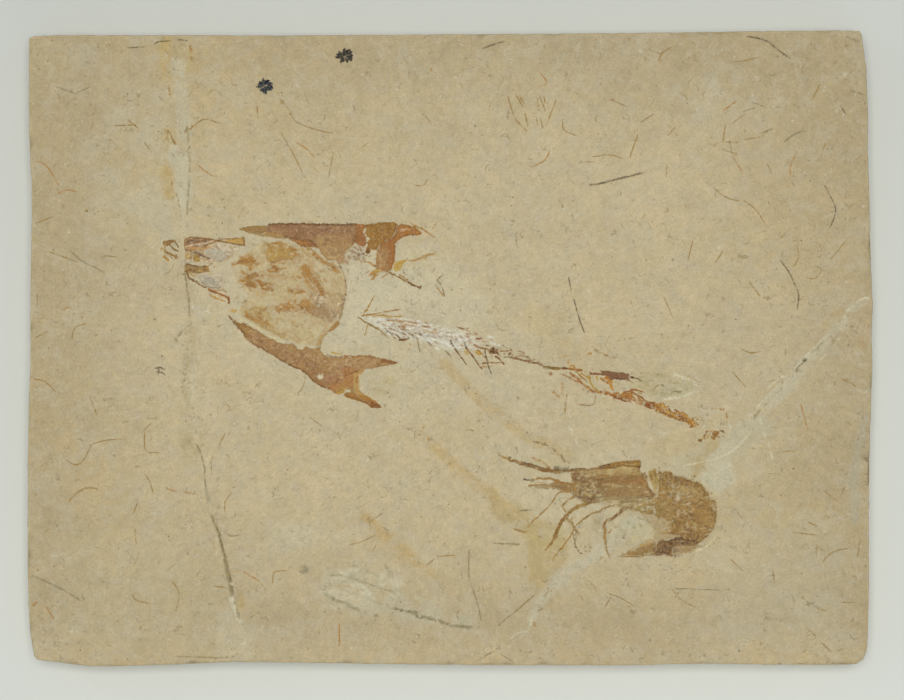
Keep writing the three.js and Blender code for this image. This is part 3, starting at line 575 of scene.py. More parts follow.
def paint_first_crack(face):
    """An old break, glued and filled: ochre and grey patches above, a thin dark trench below."""
    ochre = (187, 162, 108)
    face.band("-85.4,92 -85.4,86 -84.6,81", 3.2, ochre, 0.75, 1.4, 2.2, 3, -0.5)
    face.hair("-78.9,67 -78.2,58 -78.4,48 -78.9,40 -78.8,34", 0.5, (150, 134, 96), 0.8)
    face.hair("-84.4,78.6 -84.2,75.6", 0.7, (160, 126, 72), 0.9)
    face.hair("-85,65.4 -84.6,61.8", 0.7, (160, 128, 76), 0.8)
    face.band("-85,56 -84.4,45", 1.6, (178, 146, 88), 0.6, 0.9, 1.2, 1.4, -0.2)
    face.band("-77.9,92 -77.5,86", 1.4, ochre, 0.55, 1.0)
    face.band("-81,85 -77,82", 3, ochre, 0.3, 2.0)
    face.band("-84.4,64 -84.8,60", 3.6, ochre, 0.4, 1.6)
    face.band("-84.8,53 -84.4,45.6", 3.4, ochre, 0.65, 1.4)
    face.band("-81.8,86 -81,78", 2.6, (198, 191, 167), 0.6, 1.4, 3.6, 2.2, -0.2)
    face.band("-80.6,78 -79.6,65", 4.4, (191, 184, 157), 0.5, 1.6)
    face.band("-82.6,60 -83.6,56.6", 2.4, (200, 192, 166), 0.5, 1.0)
    face.band("-80.2,56 -79.6,44", 4.6, (195, 188, 160), 0.6, 1.2)
    face.band("-80,44 -79.4,36", 3.4, (196, 188, 160), 0.4, 1.6)
    face.hair("-82.8,90.4 -82.2,88 -82.4,86.2", 0.45, (150, 138, 102), 0.8)
    face.hair("-78.3,91 -77.7,88.4 -77.3,85.4", 0.5, (164, 122, 62), 0.8)
    face.hair("-83.8,50.6 -83,48.4", 0.5, (158, 124, 70), 0.8)
    face.hair("-82,46 -81.2,42.4 -80.6,39", 0.4, (160, 130, 82), 0.7)
    face.hair("-83.8,64.4 -83.4,62.6 -82.6,60.8", 0.5, (140, 110, 62), 0.8)
    face.hair("-80,64.4 -78.8,66.2", 0.5, (120, 110, 84), 0.8)
    face.hair("-75.4,68 -73.8,68.4", 0.4, (120, 110, 84), 0.7)
    face.hair("-87,74.2 -84.6,74.4", 0.4, (140, 122, 84), 0.8)
    upper = "-82,88 -81,78 -80,66 -82.4,58 -80,46 -79.6,36"
    face.crumbs(upper, 4.4, 54, 0.75, (208, 203, 184), 0.75, 0, 80)
    face.crumbs(upper, 4.4, 46, 0.6, (136, 118, 80), 0.7, 0, 80)
    # Between the snout and the lower trench: a thin line, then a wide soft hollow that is painted darker, as
    # shade.
    face.hair("-79.5,25 -79.4,21.6 -78.8,17.6 -78.4,13.4 -78.1,9.4", 0.5, (142, 130, 98), 0.9)
    face.hair("-78.9,17 -77.4,12.4 -76.8,9.6", 0.32, (156, 142, 106), 0.7)
    face.hair("-77.9,13.8 -77.3,12.4 -77,11.6", 0.8, (212, 206, 186), 0.9)
    face.hair("-79,6.4 -81.2,3.8 -82.6,1.8", 0.45, (136, 124, 90), 0.85)
    # painted shade along the wide soft hollow
    face.band("-78.3,6 -79,-2 -78.4,-12 -79,-24 -78,-32", 2.4, (176, 161, 120), 0.75, 2.0, 4.4, 1.8, -0.25)
    face.band("-76.6,-6 -77.4,-16 -76.4,-26", 1.8, (198, 188, 156), 0.6, 1.6, 2.6, 1.6, -0.2)
    face.band("-76,20 -74.4,8 -73.4,-4", 2.2, (198, 189, 158), 0.45, 2.0, 3, 2, -0.1)
    face.crumbs("-78.4,5 -79,-1 -78.8,-10", 1.2, 22, 0.6, (140, 128, 94), 0.75, 0, 85)
    face.crumbs("-77,-3 -77.6,-14 -76,-27", 4.6, 26, 0.8, (206, 200, 176), 0.75, 0, 85)
    face.crumbs("-78.6,-14 -78,-26 -76,-30", 4.4, 30, 0.6, (150, 134, 98), 0.65)
    face.crumbs("-78.6,4 -78.8,-8 -78,-20 -75,-30", 3.4, 60, 0.5, (122, 106, 70), 0.85)
    face.crumbs("-79.6,-2 -79.6,-12 -78.4,-18", 1.2, 30, 0.6, (132, 116, 80), 0.85, 0, 80)
    face.crumbs("-78,8 -77,-4 -75.6,-20", 4.4, 36, 0.6, (210, 203, 178), 0.85)
    face.crumbs("-79,-18 -77.6,-28", 2, 16, 0.6, (170, 120, 66), 0.8)
    face.hair("-76.2,-24.6 -76.2,-26.6", 0.8, (170, 148, 98), 0.6)
    # The trench: dark where it is deepest, with paste at two places.
    face.hair("-76,-29 -74.9,-31.4 -74.2,-34 -73.6,-36.4 -73.7,-38.6 -73.1,-42.6", 0.5, TRENCH, 0.9)
    face.line("-73.2,-42.6 -72.8,-44.6 -72.2,-46.4", 1.1, (168, 161, 133), 1.3, cover=0.85, soft=0.5)
    face.line("-72.1,-46.6 -71.5,-48.8", 0.7, (204, 198, 178), cover=0.7, soft=0.5)
    face.hair("-71.7,-50 -70.8,-52.4 -70,-54", 0.8, (150, 138, 104), 0.8)
    face.hair("-70.2,-53.6 -69.3,-55.8 -68.6,-58.8 -67.7,-62 -67.4,-64.6", 0.75, (134, 121, 88), 0.95)
    face.line("-67.6,-63.6 -66.8,-67.6 -66.2,-70.6 -65.4,-74.4", 1.1, (148, 136, 103), 0.9, cover=0.9,
              soft=0.4)
    face.hair("-67.1,-63.4 -66.3,-67.4 -65.6,-70.6 -65,-74", 0.45, (124, 111, 80), 0.85)
    face.crumbs("-72,-50 -69.4,-56 -66.4,-68", 2.2, 20, 0.6, (146, 128, 88), 0.6)
    face.wash("-64.2,-72.6 -62.2,-73.4 -61.6,-77 -63,-79", (178, 154, 99), 0.7, 1.0)
    face.hair("-66.8,-68.4 -64.8,-66.8 -63.4,-68", 0.8, (184, 148, 88), 0.5)
    face.hair("-70.8,-56.8 -71.2,-61 -72.4,-63.4", 0.7, (172, 146, 92), 0.55)
    face.hair("-70,-60.4 -70.2,-63 -70.8,-66", 0.45, (204, 196, 166), 0.6)
    face.hair("-65.6,-75.2 -65.2,-77.4 -64.2,-79.6 -63,-82", 1.5, (206, 200, 177), 0.8)
    face.hair("-64.7,-76 -64.6,-77.2", 0.6, (146, 132, 98), 0.9)
    face.hair("-64,-78.6 -63.3,-81.4", 0.9, (140, 127, 95), 0.9)
    face.wash("-68.6,-79 -64,-80 -58,-84 -59,-94 -70,-94 -70.4,-84", (196, 187, 156), 0.45, 3)
    face.crumbs("-67.6,-78 -67.6,-90 -62.4,-86 -61.4,-94", 3.4, 44, 0.9, (207, 201, 178), 0.7)
    face.crumbs("-67,-80 -62,-93", 4, 18, 0.5, (140, 124, 88), 0.6)
    face.hair("-83,-92.6 -77,-92.8 -66.4,-93 -63.6,-91.8", 0.5, (150, 134, 96), 0.7)
    face.band("-93.6,93 -94.4,82 -92.4,76", 3.4, (172, 160, 128), 0.4, 3, 1.4, 2.5)


def paint_second_crack(face):
    """A hairline break filled with pale paste, with a row of dark pits in it."""
    top = ("127,15 121.6,12.4 117,7.6 113.2,2.4 109.7,-1.2 106,-5 103.4,-8.6 99.6,-13 95.2,-17.4"
           " 91.4,-22 86,-27 78,-33.4")
    face.band(top, 2.2, FILLER, 0.5, 1.3, 5.4, 2.4, -0.5)
    face.band("111,-1.4 104.6,-9.6 97,-16", 3.2, FILLER, 0.35, 1.6, 4, 2, -0.2)
    face.band("93,-24 84,-30.4 70,-35.4", 7, (187, 180, 149), 0.5, 2.4, 7)
    for path, width in (
        ("126.6,14.8 124,14.8 121.6,13.4", 0.7), ("121.4,12.8 119,10.8 118.6,8.8", 0.6),
        ("114,4.4 111,1.6 108.4,-1", 0.5), ("108.4,-1 105.6,-4 103,-6.6", 0.5),
        ("98.8,-11.4 96,-14 93.4,-16.6 91.6,-18.6", 0.5), ("100.6,-8.4 98,-9.8 95.6,-12", 0.8),
        ("93,-21 93.4,-23.2 94,-26", 0.8), ("93.8,-25 95.4,-28.6 97,-34.6", 0.6),
        ("90.4,-24.8 88,-28 84,-31.4 79.4,-33.4 69.6,-35.6", 0.6), ("113.6,-1.6 111,-3.8", 0.9),
    ):
        face.hair(path, width, (208, 202, 177), 0.75)
    for path in (
        "112.6,2 110.4,0.2 108.6,-1.6", "106.8,-3.4 104,-6.6", "99.8,-12.2 97.6,-14", "95.6,-16 94.2,-17.8",
        "93.4,-18.6 91.8,-20.6 90.4,-22.2", "119,8 121.2,9", "116,3.4 114.4,0.8", "91.4,-28.4 93.2,-32",
    ):
        face.hair(path, 0.45, (138, 126, 92), 0.8)
    face.dot("106.2,-4", (0.8, 0.7), (84, 74, 52), 0, 0.95, 0.3)
    face.dot("104,-7", 0.7, TRENCH, 0, 0.8, 0.4)
    face.dot("91.8,-20.4", (1.3, 1.1), (140, 129, 99), 0, 0.7, 0.6)
    face.dot("93.6,-23.4", (1.2, 1), (146, 135, 103), 0, 0.7, 0.6)
    face.crumbs("122,10 117,7 111,0", 3, 26, 0.6, TRENCH, 0.6)
    face.crumbs("111,-1 104,-7 96,-15 91,-21", 0.8, 30, 0.6, TRENCH, 0.8)
    face.crumbs("121,12 111,-2 98,-13 92,-22 86,-29", 4.4, 70, 0.7, (207, 201, 178), 0.7, 0, 45)
    face.band("117,10 112,6", 3, (186, 164, 112), 0.4, 2)
    face.band("125,6 124.4,1", 3, (178, 146, 98), 0.4, 2)
    # The lower part, from under the shrimp almost to the edge.
    foot = "60,-49 50,-57.4 42.6,-62.9 35.7,-67 30.5,-72.6 26.4,-77 24.4,-81.4"
    face.band(foot, 5.0, FILLER, 0.6, 1.2, 2.6, 2, -0.6)
    face.hair("24.6,-81 23.8,-84.4 21.6,-85.4 17.8,-87.8", 0.9, (204, 197, 170), 0.75)
    face.crumbs(foot, 3.6, 60, 0.8, (208, 203, 182), 0.65)
    face.crumbs(foot, 3.6, 30, 0.5, (150, 138, 102), 0.6)
    face.hair("25.4,-74.2 22.8,-76.4 20.9,-78.2 16.8,-81.4 14.4,-83.6", 0.5, (152, 132, 88), 0.85)
    face.hair("24.8,-82 25.6,-83.8", 0.6, (160, 124, 70), 0.8)
    face.hair("20.6,-86.4 18.6,-87.8 17.4,-88.8", 0.5, (158, 126, 74), 0.7)
    face.crumbs("14,-90 8.6,-93.6", 1.6, 24, 0.6, (120, 114, 92), 0.6, 0, 40)
    face.crumbs("15,-90 7,-93.4", 2.4, 16, 0.8, (204, 198, 172), 0.7)
    for path in ("35.6,-19.4 36,-21", "35.4,-23.4 36.4,-24.8 37,-26.4", "37.4,-27.4 38.2,-29.4"):
        face.hair(path, 0.7, (208, 203, 182), 0.7)
    face.crumbs("34.6,-14.6 36.3,-19.7 36.1,-23.9 38.4,-30", 1.4, 18, 0.6, (210, 205, 186), 0.75)
    face.hair("24.4,-28 27.2,-28.7 30.4,-30.1 32.2,-31.7 34.1,-33.4 35.8,-34.6", 0.5, (120, 104, 70), 0.8)
    face.crumbs("24.4,-28.4 28,-28.9 31,-30.6", 1.2, 16, 0.5, (124, 106, 68), 0.8)
    face.hair("51.8,-30.4 52,-31.6 52.8,-32.7", 0.4, (120, 108, 78), 0.8)


def paint_stone(face):
    """Everything that is only colour on the limestone's face."""
    x = face.x
    y = face.y
    face.height = 0
    # The stone is darker towards the edges, which is painted shade where the light falls off, and in wide
    # ochre and ashy clouds.
    u = x / HALF_LENGTH
    v = y / HALF_WIDTH
    out = np.maximum(np.abs(u), np.abs(v)) ** 2 * 0.6 + (u ** 2 + v ** 2) * 0.25
    mix(face.tone, ALL, ramp(0.2, 0.85, out + 0.12 * clouds(x, y, 45, 3)), SHADED_EDGE_STONE)
    mix(face.tone, ALL, ramp(-0.1, 0.9, clouds(x, y, 38, 5)) * 0.4, OCHRE_STONE)
    mix(face.tone, ALL, ramp(-0.1, 0.9, clouds(x, y, 30, 9)) * 0.18, ASH_STONE)
    face.tone *= (1 + 0.045 * clouds(x, y, 9, 12, 4) + 0.045 * clouds(x, y, 2.6, 15, 3))[:, None]
    # Along its front edge it is a little paler: painted light on that edge.
    face.tone *= (1 + 0.12 * ramp(80, 94, -y))[:, None]

    # Cleaned, paler stone round the specimens.
    face.wash("-70,38 -40,34 -30,30 -12,26 0,14 24,4 34,-2 36,-12 10,-16 -10,-20 -34,-20 -60,-4 -72,12",
              PALE_STONE, 0.4, 8)
    face.wash("-31,27 -24,22 -16,16 -24,8 -20,2 -34,0 -38,4 -31,12", (201, 190, 158), 0.75, 3)
    face.wash("22,-48 30,-56 44,-50 60,-44 78,-36 58,-31 30,-31 14,-30", PALE_STONE, 0.3, 6)
    face.wash("-104,78 -86,76 -78,50 -84,34 -104,40 -112,58", (190, 182, 154), 0.5, 10, 7, -0.1)
    face.wash("-116,-60 -86,-52 -70,-72 -76,-92 -118,-92", (190, 178, 143), 0.3, 12)
    face.wash("62,78 84,84 100,76 92,66 72,66", (192, 186, 162), 0.35, 7, 4, 0.0)
    face.wash("78,-56 118,-50 120,-88 80,-88", (190, 180, 150), 0.3, 10)
    face.wash("-55,-53 -43,-53 -42,-60 -55,-60", (194, 185, 154), 0.45, 4)
    face.wash("-56,-52 -30,-54 -31,-60 -54,-61", (196, 186, 154), 0.5, 3, 3, 0.0, -6, 3)
    face.wash("-20,-36 -8,-37 -10,-42 -22,-41", (196, 186, 152), 0.5, 3, 2, 0.0, -6, 3)
    paint_first_crack(face)
    paint_second_crack(face)

    # Bands stained ochre by water along old joints.
    stain = (187, 159, 106)
    face.band("-1.5,-5 9.2,-16 15,-20.4 22.3,-26.3 30,-29.6 37,-33", 3.2, stain, 0.5, 0.9, 3.4, 3, -0.7)
    face.band("-8.6,-26 2.5,-36.4 10.9,-43.6 21.4,-52 26,-55.5", 3.0, stain, 0.55, 0.9, 4.2, 3, -0.7)
    face.band("-25.8,-50.2 -18.6,-56.6 -13.8,-60.8 0,-72.8", 2.4, stain, 0.6, 1.4, 2, 3, -0.5)
    face.band("-26,-51 -20,-57 -12,-63", 2.0, (184, 154, 98), 0.45, 1.6, 5, 2, -0.3)
    face.crumbs("-24,-51 -18.6,-56.6 -13.8,-60.8", 2, 10, 0.9, (168, 140, 84), 0.45)
    face.dot("-18.8,-55.8", (1.2, 0.8), (164, 120, 56), 0, 0.6, 0.6)
    face.crumbs("-9,-25 2.5,-36.4 10.9,-43.6 21.4,-52", 3.6, 26, 0.6, (140, 124, 80), 0.6)
    face.crumbs("0,-8 9.2,-16 22,-26", 3.4, 12, 0.6, (146, 130, 88), 0.5)
    face.wash("23.6,-57 35,-57 35.4,-63 32,-67 27.2,-72.4 23.4,-71", (182, 160, 112), 0.7, 0.9)
    face.wash("12,-46 20,-46.4 26,-51 33,-54 34,-56.6 24,-57 19,-55 12,-50", (181, 160, 114), 0.7, 1.4, 3,
              -0.5)
    face.wash("12,-41 14.6,-43.4 13.6,-46 12,-46", (180, 156, 104), 0.7, 1)
    face.wash("70,-31 77,-32 76,-36 71,-36", (184, 166, 118), 0.4, 1.6)
    face.wash("74,-39.4 79,-35.6 84,-33 86,-40 80,-44 77,-42", (197, 189, 159), 0.8, 1.6)
    face.band("73.2,-38.4 75.2,-34.6 76.6,-31.6 79.4,-29", 2.0, (180, 156, 106), 0.6, 1.0, 3, 2, -0.6)
    face.wash("-24,29 -4,31 12,14 6,5 -10,9 -24,9 -30,18", (202, 191, 159), 0.55, 4)

    # The faint print of a third animal.
    face.wash("-38,-66 -24,-67 -6,-76 8,-82 6,-85 -10,-82 -30,-80 -39,-74", (188, 182, 154), 0.5, 2.5, 3,
              -0.3)
    ghost = (144, 136, 104)
    for width, path in (
        (0.5, "-36.6,-68.5 -32.7,-68.3 -27.7,-69.9 -23.1,-71.3 -16.2,-73.8"),
        (0.5, "-21.3,-67.6 -14.8,-66.9 -13,-66.5"),
        (0.8, "-37.8,-73.6 -36.4,-74.9 -31.4,-76.8 -27.7,-78.6 -22.2,-80.7"),
        (0.4, "-33,-72.6 -26,-74.6 -19.6,-77.4"), (1.0, "-17.4,-78 -14.2,-78.8"),
        (0.9, "-13.6,-79.1 -11.6,-79.4 -9.6,-80.4"), (1.0, "-8.8,-80.5 -4.5,-81.5"),
        (0.9, "-3.6,-82 .1,-83.2"), (1.0, "1,-83.4 6.2,-84"),
    ):
        face.hair(path, width, ghost, 0.75)
    face.crumbs("-36,-69 -28,-71 -16,-75 -4,-80", 3.6, 40, 0.7, ghost, 0.4, 0, -22)
    face.crumbs("-34,-70 -22,-74 -8,-80", 3.6, 40, 0.9, (206, 200, 174), 0.5, 0, -22)
    face.crumbs("-36,-67 -28,-68.4 -20,-70 -14,-70", 4, 60, 2.2, (205, 199, 174), 0.7, 0, -8)
    face.crumbs("-36,-75 -30,-74 -22,-76", 3.6, 50, 1.8, (205, 199, 174), 0.7, 0, -20)
    face.crumbs("-36,-67.6 -28,-68 -20,-70", 4, 26, 1.6, (140, 130, 96), 0.7, 0, -10)
    face.crumbs("-17.4,-78 -8.8,-80.6 0,-83.4 6,-84", 0.7, 60, 0.7, (112, 102, 76), 0.9, 0, -14)
    face.crumbs("-37.8,-73.6 -31.4,-76.8 -22.2,-80.7", 0.7, 40, 0.6, (132, 122, 92), 0.9, 0, -24)
    face.dot("-43.5,-66.5", (3.6, 3.2), (146, 141, 115), 0, 0.55, 1.6)
    face.crumbs("-44.2,-66.4 -42.6,-66.4", 1.5, 18, 0.7, (112, 107, 86), 0.8)

    dendrite(face, "-55.7,78.4", 5.2, (52, 56, 62), 1)
    dendrite(face, "-31.4,87.6", 5.6, (60, 57, 51), 2)

    for path, width, colour, cover in STRAYS:
        face.hair(path, width, colour, cover)
    for colour, hairs in HAIRS.items():
        for width, path in hairs:
            face.hair(path, width, colour, 0.85)
    for place, size, colour in SPOTS:
        face.dot(place, size, colour, 0, 0.85, 0.5)
    for path, spread, count, size, colour in SCRAPS:
        face.crumbs(path, spread, count, size, colour, 0.9)
    face.hair("8.4,-94.2 14.9,-89.6", 0.4, DARK_HAIR, 0.6)
    face.hair("17.7,-88.2 24.5,-83.6", 0.4, GREY_HAIR, 0.5)
    face.line("-112,-56.8 -123.6,-54.8", 1.3, (176, 150, 96), cover=0.4, soft=0.8)
    face.band("124.6,-21 122.4,-30.5 121,-39.8 121.4,-52", 2.6, (172, 166, 144), 0.6, 1.2)
    paint_by_shrimp(face)
    paint_by_backbone(face)
    paint_by_tail(face)
    paint_by_neck(face)
    face.height = 0.5


def paint_by_shrimp(face):
    """Colour on the stone round the shrimp: rusty water marks, scratches inside its curl and a groove."""
    face.wash("26,-33 38,-32 34,-38 24,-38 20,-36", (190, 174, 130), 0.45, 2)
    face.wash("18,-50 26,-52 34,-54 34,-60 24,-60 22,-57", (186, 168, 116), 0.45, 1.6)
    for path in (
        "18.9,-54.2 19.8,-54.7 20.8,-55 21.8,-55.3 22.8,-55.3 23.2,-54.8", "32.8,-33.4 33.4,-34 34.4,-34.4",
        "35.4,-34 36.2,-35", "24.6,-33 26,-33.6 28,-34.6 29.6,-35.8 30.6,-37",
    ):
        face.hair(path, 0.5, (166, 122, 64), 0.85)
    for path in (
        "59,-51.6 60.4,-53.2", "54,-54.6 56.4,-53.8", "51,-54.6 52.6,-55.6 51.8,-57 50.6,-57.6",
        "56.6,-52.4 57.8,-53.8", "52.4,-57.6 53.8,-57", "61.6,-53.4 61,-55", "41.2,-54 41.2,-55.2",
        "38.8,-58.4 39.3,-59.3 39.2,-60.2", "40,-58.8 40.6,-59.4 40.4,-60.4 40.3,-61.6",
        "40.8,-60 42,-60.2 42.4,-60.8 41.6,-61.2 40.9,-61", "52.6,-51.6 53.6,-52.8 53,-53.8",
        "56,-50.6 57.6,-51.6 58.4,-51.2", "77.4,-58.2 76,-59.2 74.4,-60", "45.2,-65.4 43.6,-66.6",
    ):
        face.hair(path, 0.42, (140, 130, 94), 0.7)
    face.hair("79.6,-56.8 78.4,-58.4 76.6,-59.8 74.4,-60.8 72,-61.4", 0.7, (212, 202, 166), 0.8)
    face.hair("80,-57.4 78.8,-59 77,-60.4", 0.4, (154, 140, 104), 0.7)
    inner = "44,-50 52,-49.4 58,-50.4 63,-52 65,-56 62,-58 56,-59.6 48,-60 42,-56"
    face.wash(inner, (172, 160, 124), 0.5, 2.4, 1.8, -0.1)
    face.wash("42.6,-50.8 46,-50.8 45.4,-53.4 43,-53", (166, 150, 114), 0.8, 1)
    face.wash("50,-51 56,-51 55,-54.6 51,-54.4", (187, 180, 148), 0.6, 1.4)
    face.wash("56,-53 62,-54 62,-57.4 55,-58", (198, 184, 140), 0.6, 2)
    face.crumbs("50,-55 56,-52 62,-51.6 64,-55", 2.8, 56, 0.8, (140, 128, 94), 0.45)
    face.crumbs("46,-53 54,-56 60,-57", 3.4, 40, 0.8, (206, 198, 166), 0.55)
    face.dot("38.7,-53.9", 1.0, (140, 142, 140), 0, 0.8, 0.5)


def paint_by_backbone(face):
    """The white lime film along the front of the fish's backbone, and the bones that are only stains."""
    white = (222, 221, 215)
    film = ("-24,6.6 -22,8.3 -19,8.9 -15,8.6 -10,7.9 -6,7.2 0,6.2 5,5 9,2.6 10,0.6 6,.2 4,-.6 1,-1.2"
            " -2,-.4 -5,1.2 -8,1.8 -12,2.4 -15,3 -18,4.5 -20.5,6 -23,5.6")
    face.wash(film, (206, 197, 171), 0.75, 1.2)
    face.area("-22.6,6.8 -19,7.9 -14,8 -10,7.2 -6,6.6 -1,6.2 3,4.8 7,3.2 8.6,1.4 6,0.9 3,0.4 0,-.4 -3,.6"
              " -6,1.9 -10,2.9 -14,3.8 -17.6,5.2 -20.4,6.6", (214, 210, 194), cover=0.6, soft=1.1)
    for path in (
        "-21,6.8 -18.6,7.4 -16,7", "-18,8.8 -14,8.4 -11,8", "-13,5.8 -9,5.6 -6.4,5.4",
        "-9.8,3.4 -6.6,2.6 -3,2.4", "-4,5.4 0,5 3.4,3.8", "-3,1.6 1,.6 3.6,0", "2,4 5,3.2 7.4,2.2",
        "-16.6,4.8 -13.6,4.2 -11.6,3.8", "-8,6.6 -5,6.4 -2,5.8", "-2,3.6 1,2.8 3.4,1.6", "10.6,3.8 14,2.2",
        "12,1.4 15,.6", "-24.6,8.6 -22.4,9.2",
    ):
        face.hair(path, 0.9, (224, 222, 211), 0.62)
    face.area("-22.8,8.4 -20.4,8.8 -18.4,7.8 -18.4,6.4 -20.6,6.2 -22.4,7", white, 0, 0.6, 1.0)
    face.area("0.6,4.6 3.4,4 7,2.6 7.2,1.2 4,0.9 1,1.6 -0.4,2.8", white, 0, 0.6, 1.2)
    line = "-22,7.6 -16,6.6 -10,5.2 -4,4 2,2.6 7,1.2"
    face.crumbs(line, 2.6, 150, 1.1, (228, 227, 221), 0.95, 0, -14)
    face.crumbs(line, 3.2, 90, 0.8, (188, 172, 138), 0.8, 0, -20)
    face.crumbs(line, 2.8, 80, 0.8, (168, 124, 74), 0.95, 0, -12)
    face.crumbs("-20,6.8 -12,4.8 -4,3 3,1.4", 2.2, 60, 0.7, (122, 96, 70), 0.95, 0, -26)
    face.crumbs("4,3.6 7,2.8 9,1.6", 1.6, 26, 0.7, (146, 92, 50), 0.95, 0, -10)
    face.crumbs("-16,4.6 -8,3.6 -2,3 4,2", 1.4, 40, 0.8, (124, 108, 90), 0.6, 0, -24)
    face.crumbs("-12,7 -6,6.4 2,5 7,3.8", 1.4, 30, 0.9, (150, 112, 66), 0.6, 0, -8)
    face.crumbs("12,-0.6 18,-1.6 24,-3.6 29,-5.6", 1.6, 60, 0.8, (128, 94, 58), 0.7, 0, -16)
    face.crumbs("14,0.2 18,-0.6 23,-2.4", 1.6, 26, 0.8, (196, 180, 146), 0.5, 0, -16)
    brown = (150, 106, 66)
    for width, colour, path in (
        (0.5, brown, "-7.7,7.4 -5.8,7.2"), (0.5, brown, "-8.8,6.4 -7,6.2 -5.7,6"),
        (0.5, (176, 140, 92), "-9,5.4 -6.5,4.8 -4.6,4.2"), (0.4, (120, 108, 92), "-6.8,1.8 -5.1,.2"),
        (0.38, (110, 90, 70), "-1.5,-.9 -.6,-1.7 .1,-2.7"),
        (0.36, (170, 150, 112), "-5.4,1.9 -3.6,1.1 -1.8,.7"), (0.4, (118, 108, 100), "-3.7,3.4 -2.2,3"),
        (0.4, (150, 120, 84), "-1.6,4.5 2.3,4.6"), (0.4, (134, 100, 66), "2,6.2 4,5.6 5.9,5.8"),
        (0.5, brown, "4.6,4.3 6.3,3.8"), (0.45, (142, 100, 62), "7,4.5 7.9,4.4"),
        (0.7, (142, 80, 42), "7.6,2.7 9.1,2.6"), (0.4, (132, 92, 58), "-3.4,4.6 -2.4,4.9"),
        (0.4, (156, 116, 70), "-.4,3.4 .8,2.9"), (0.4, (110, 84, 62), "1.6,2.4 2.6,2.1"),
        (0.4, (150, 108, 62), "3.2,2.8 4.6,2.6"), (0.4, (128, 90, 56), "5.4,2.2 6.8,1.6"),
        (0.4, (168, 128, 76), "9.6,2 11,1.6"), (0.4, (124, 84, 52), "10.4,.8 12,.4"),
        (0.4, (160, 118, 66), "-12.6,1.4 -11.4,.4"), (0.4, (178, 140, 88), "24.4,-12.1 25.4,-11.9"),
        (0.4, (158, 124, 80), "11.4,2.8 13.6,2"), (0.4, (150, 110, 66), "20.4,-1 22.6,-1.8"),
    ):
        face.hair(path, width, colour, 0.9)
    face.dot("-4.7,5", (1.2, 0.9), (186, 142, 88), 0, 0.85, 0.4)
    face.dot("-7,3.5", (0.8, 0.6), (120, 112, 106), 0, 0.8, 0.3)
    face.dot("-4.4,3.1", (0.7, 0.5), (112, 104, 100), 0, 0.85, 0.3)
    face.dot("30.3,-7.9", 1.1, (152, 98, 48), 0, 0.9, 0.4)


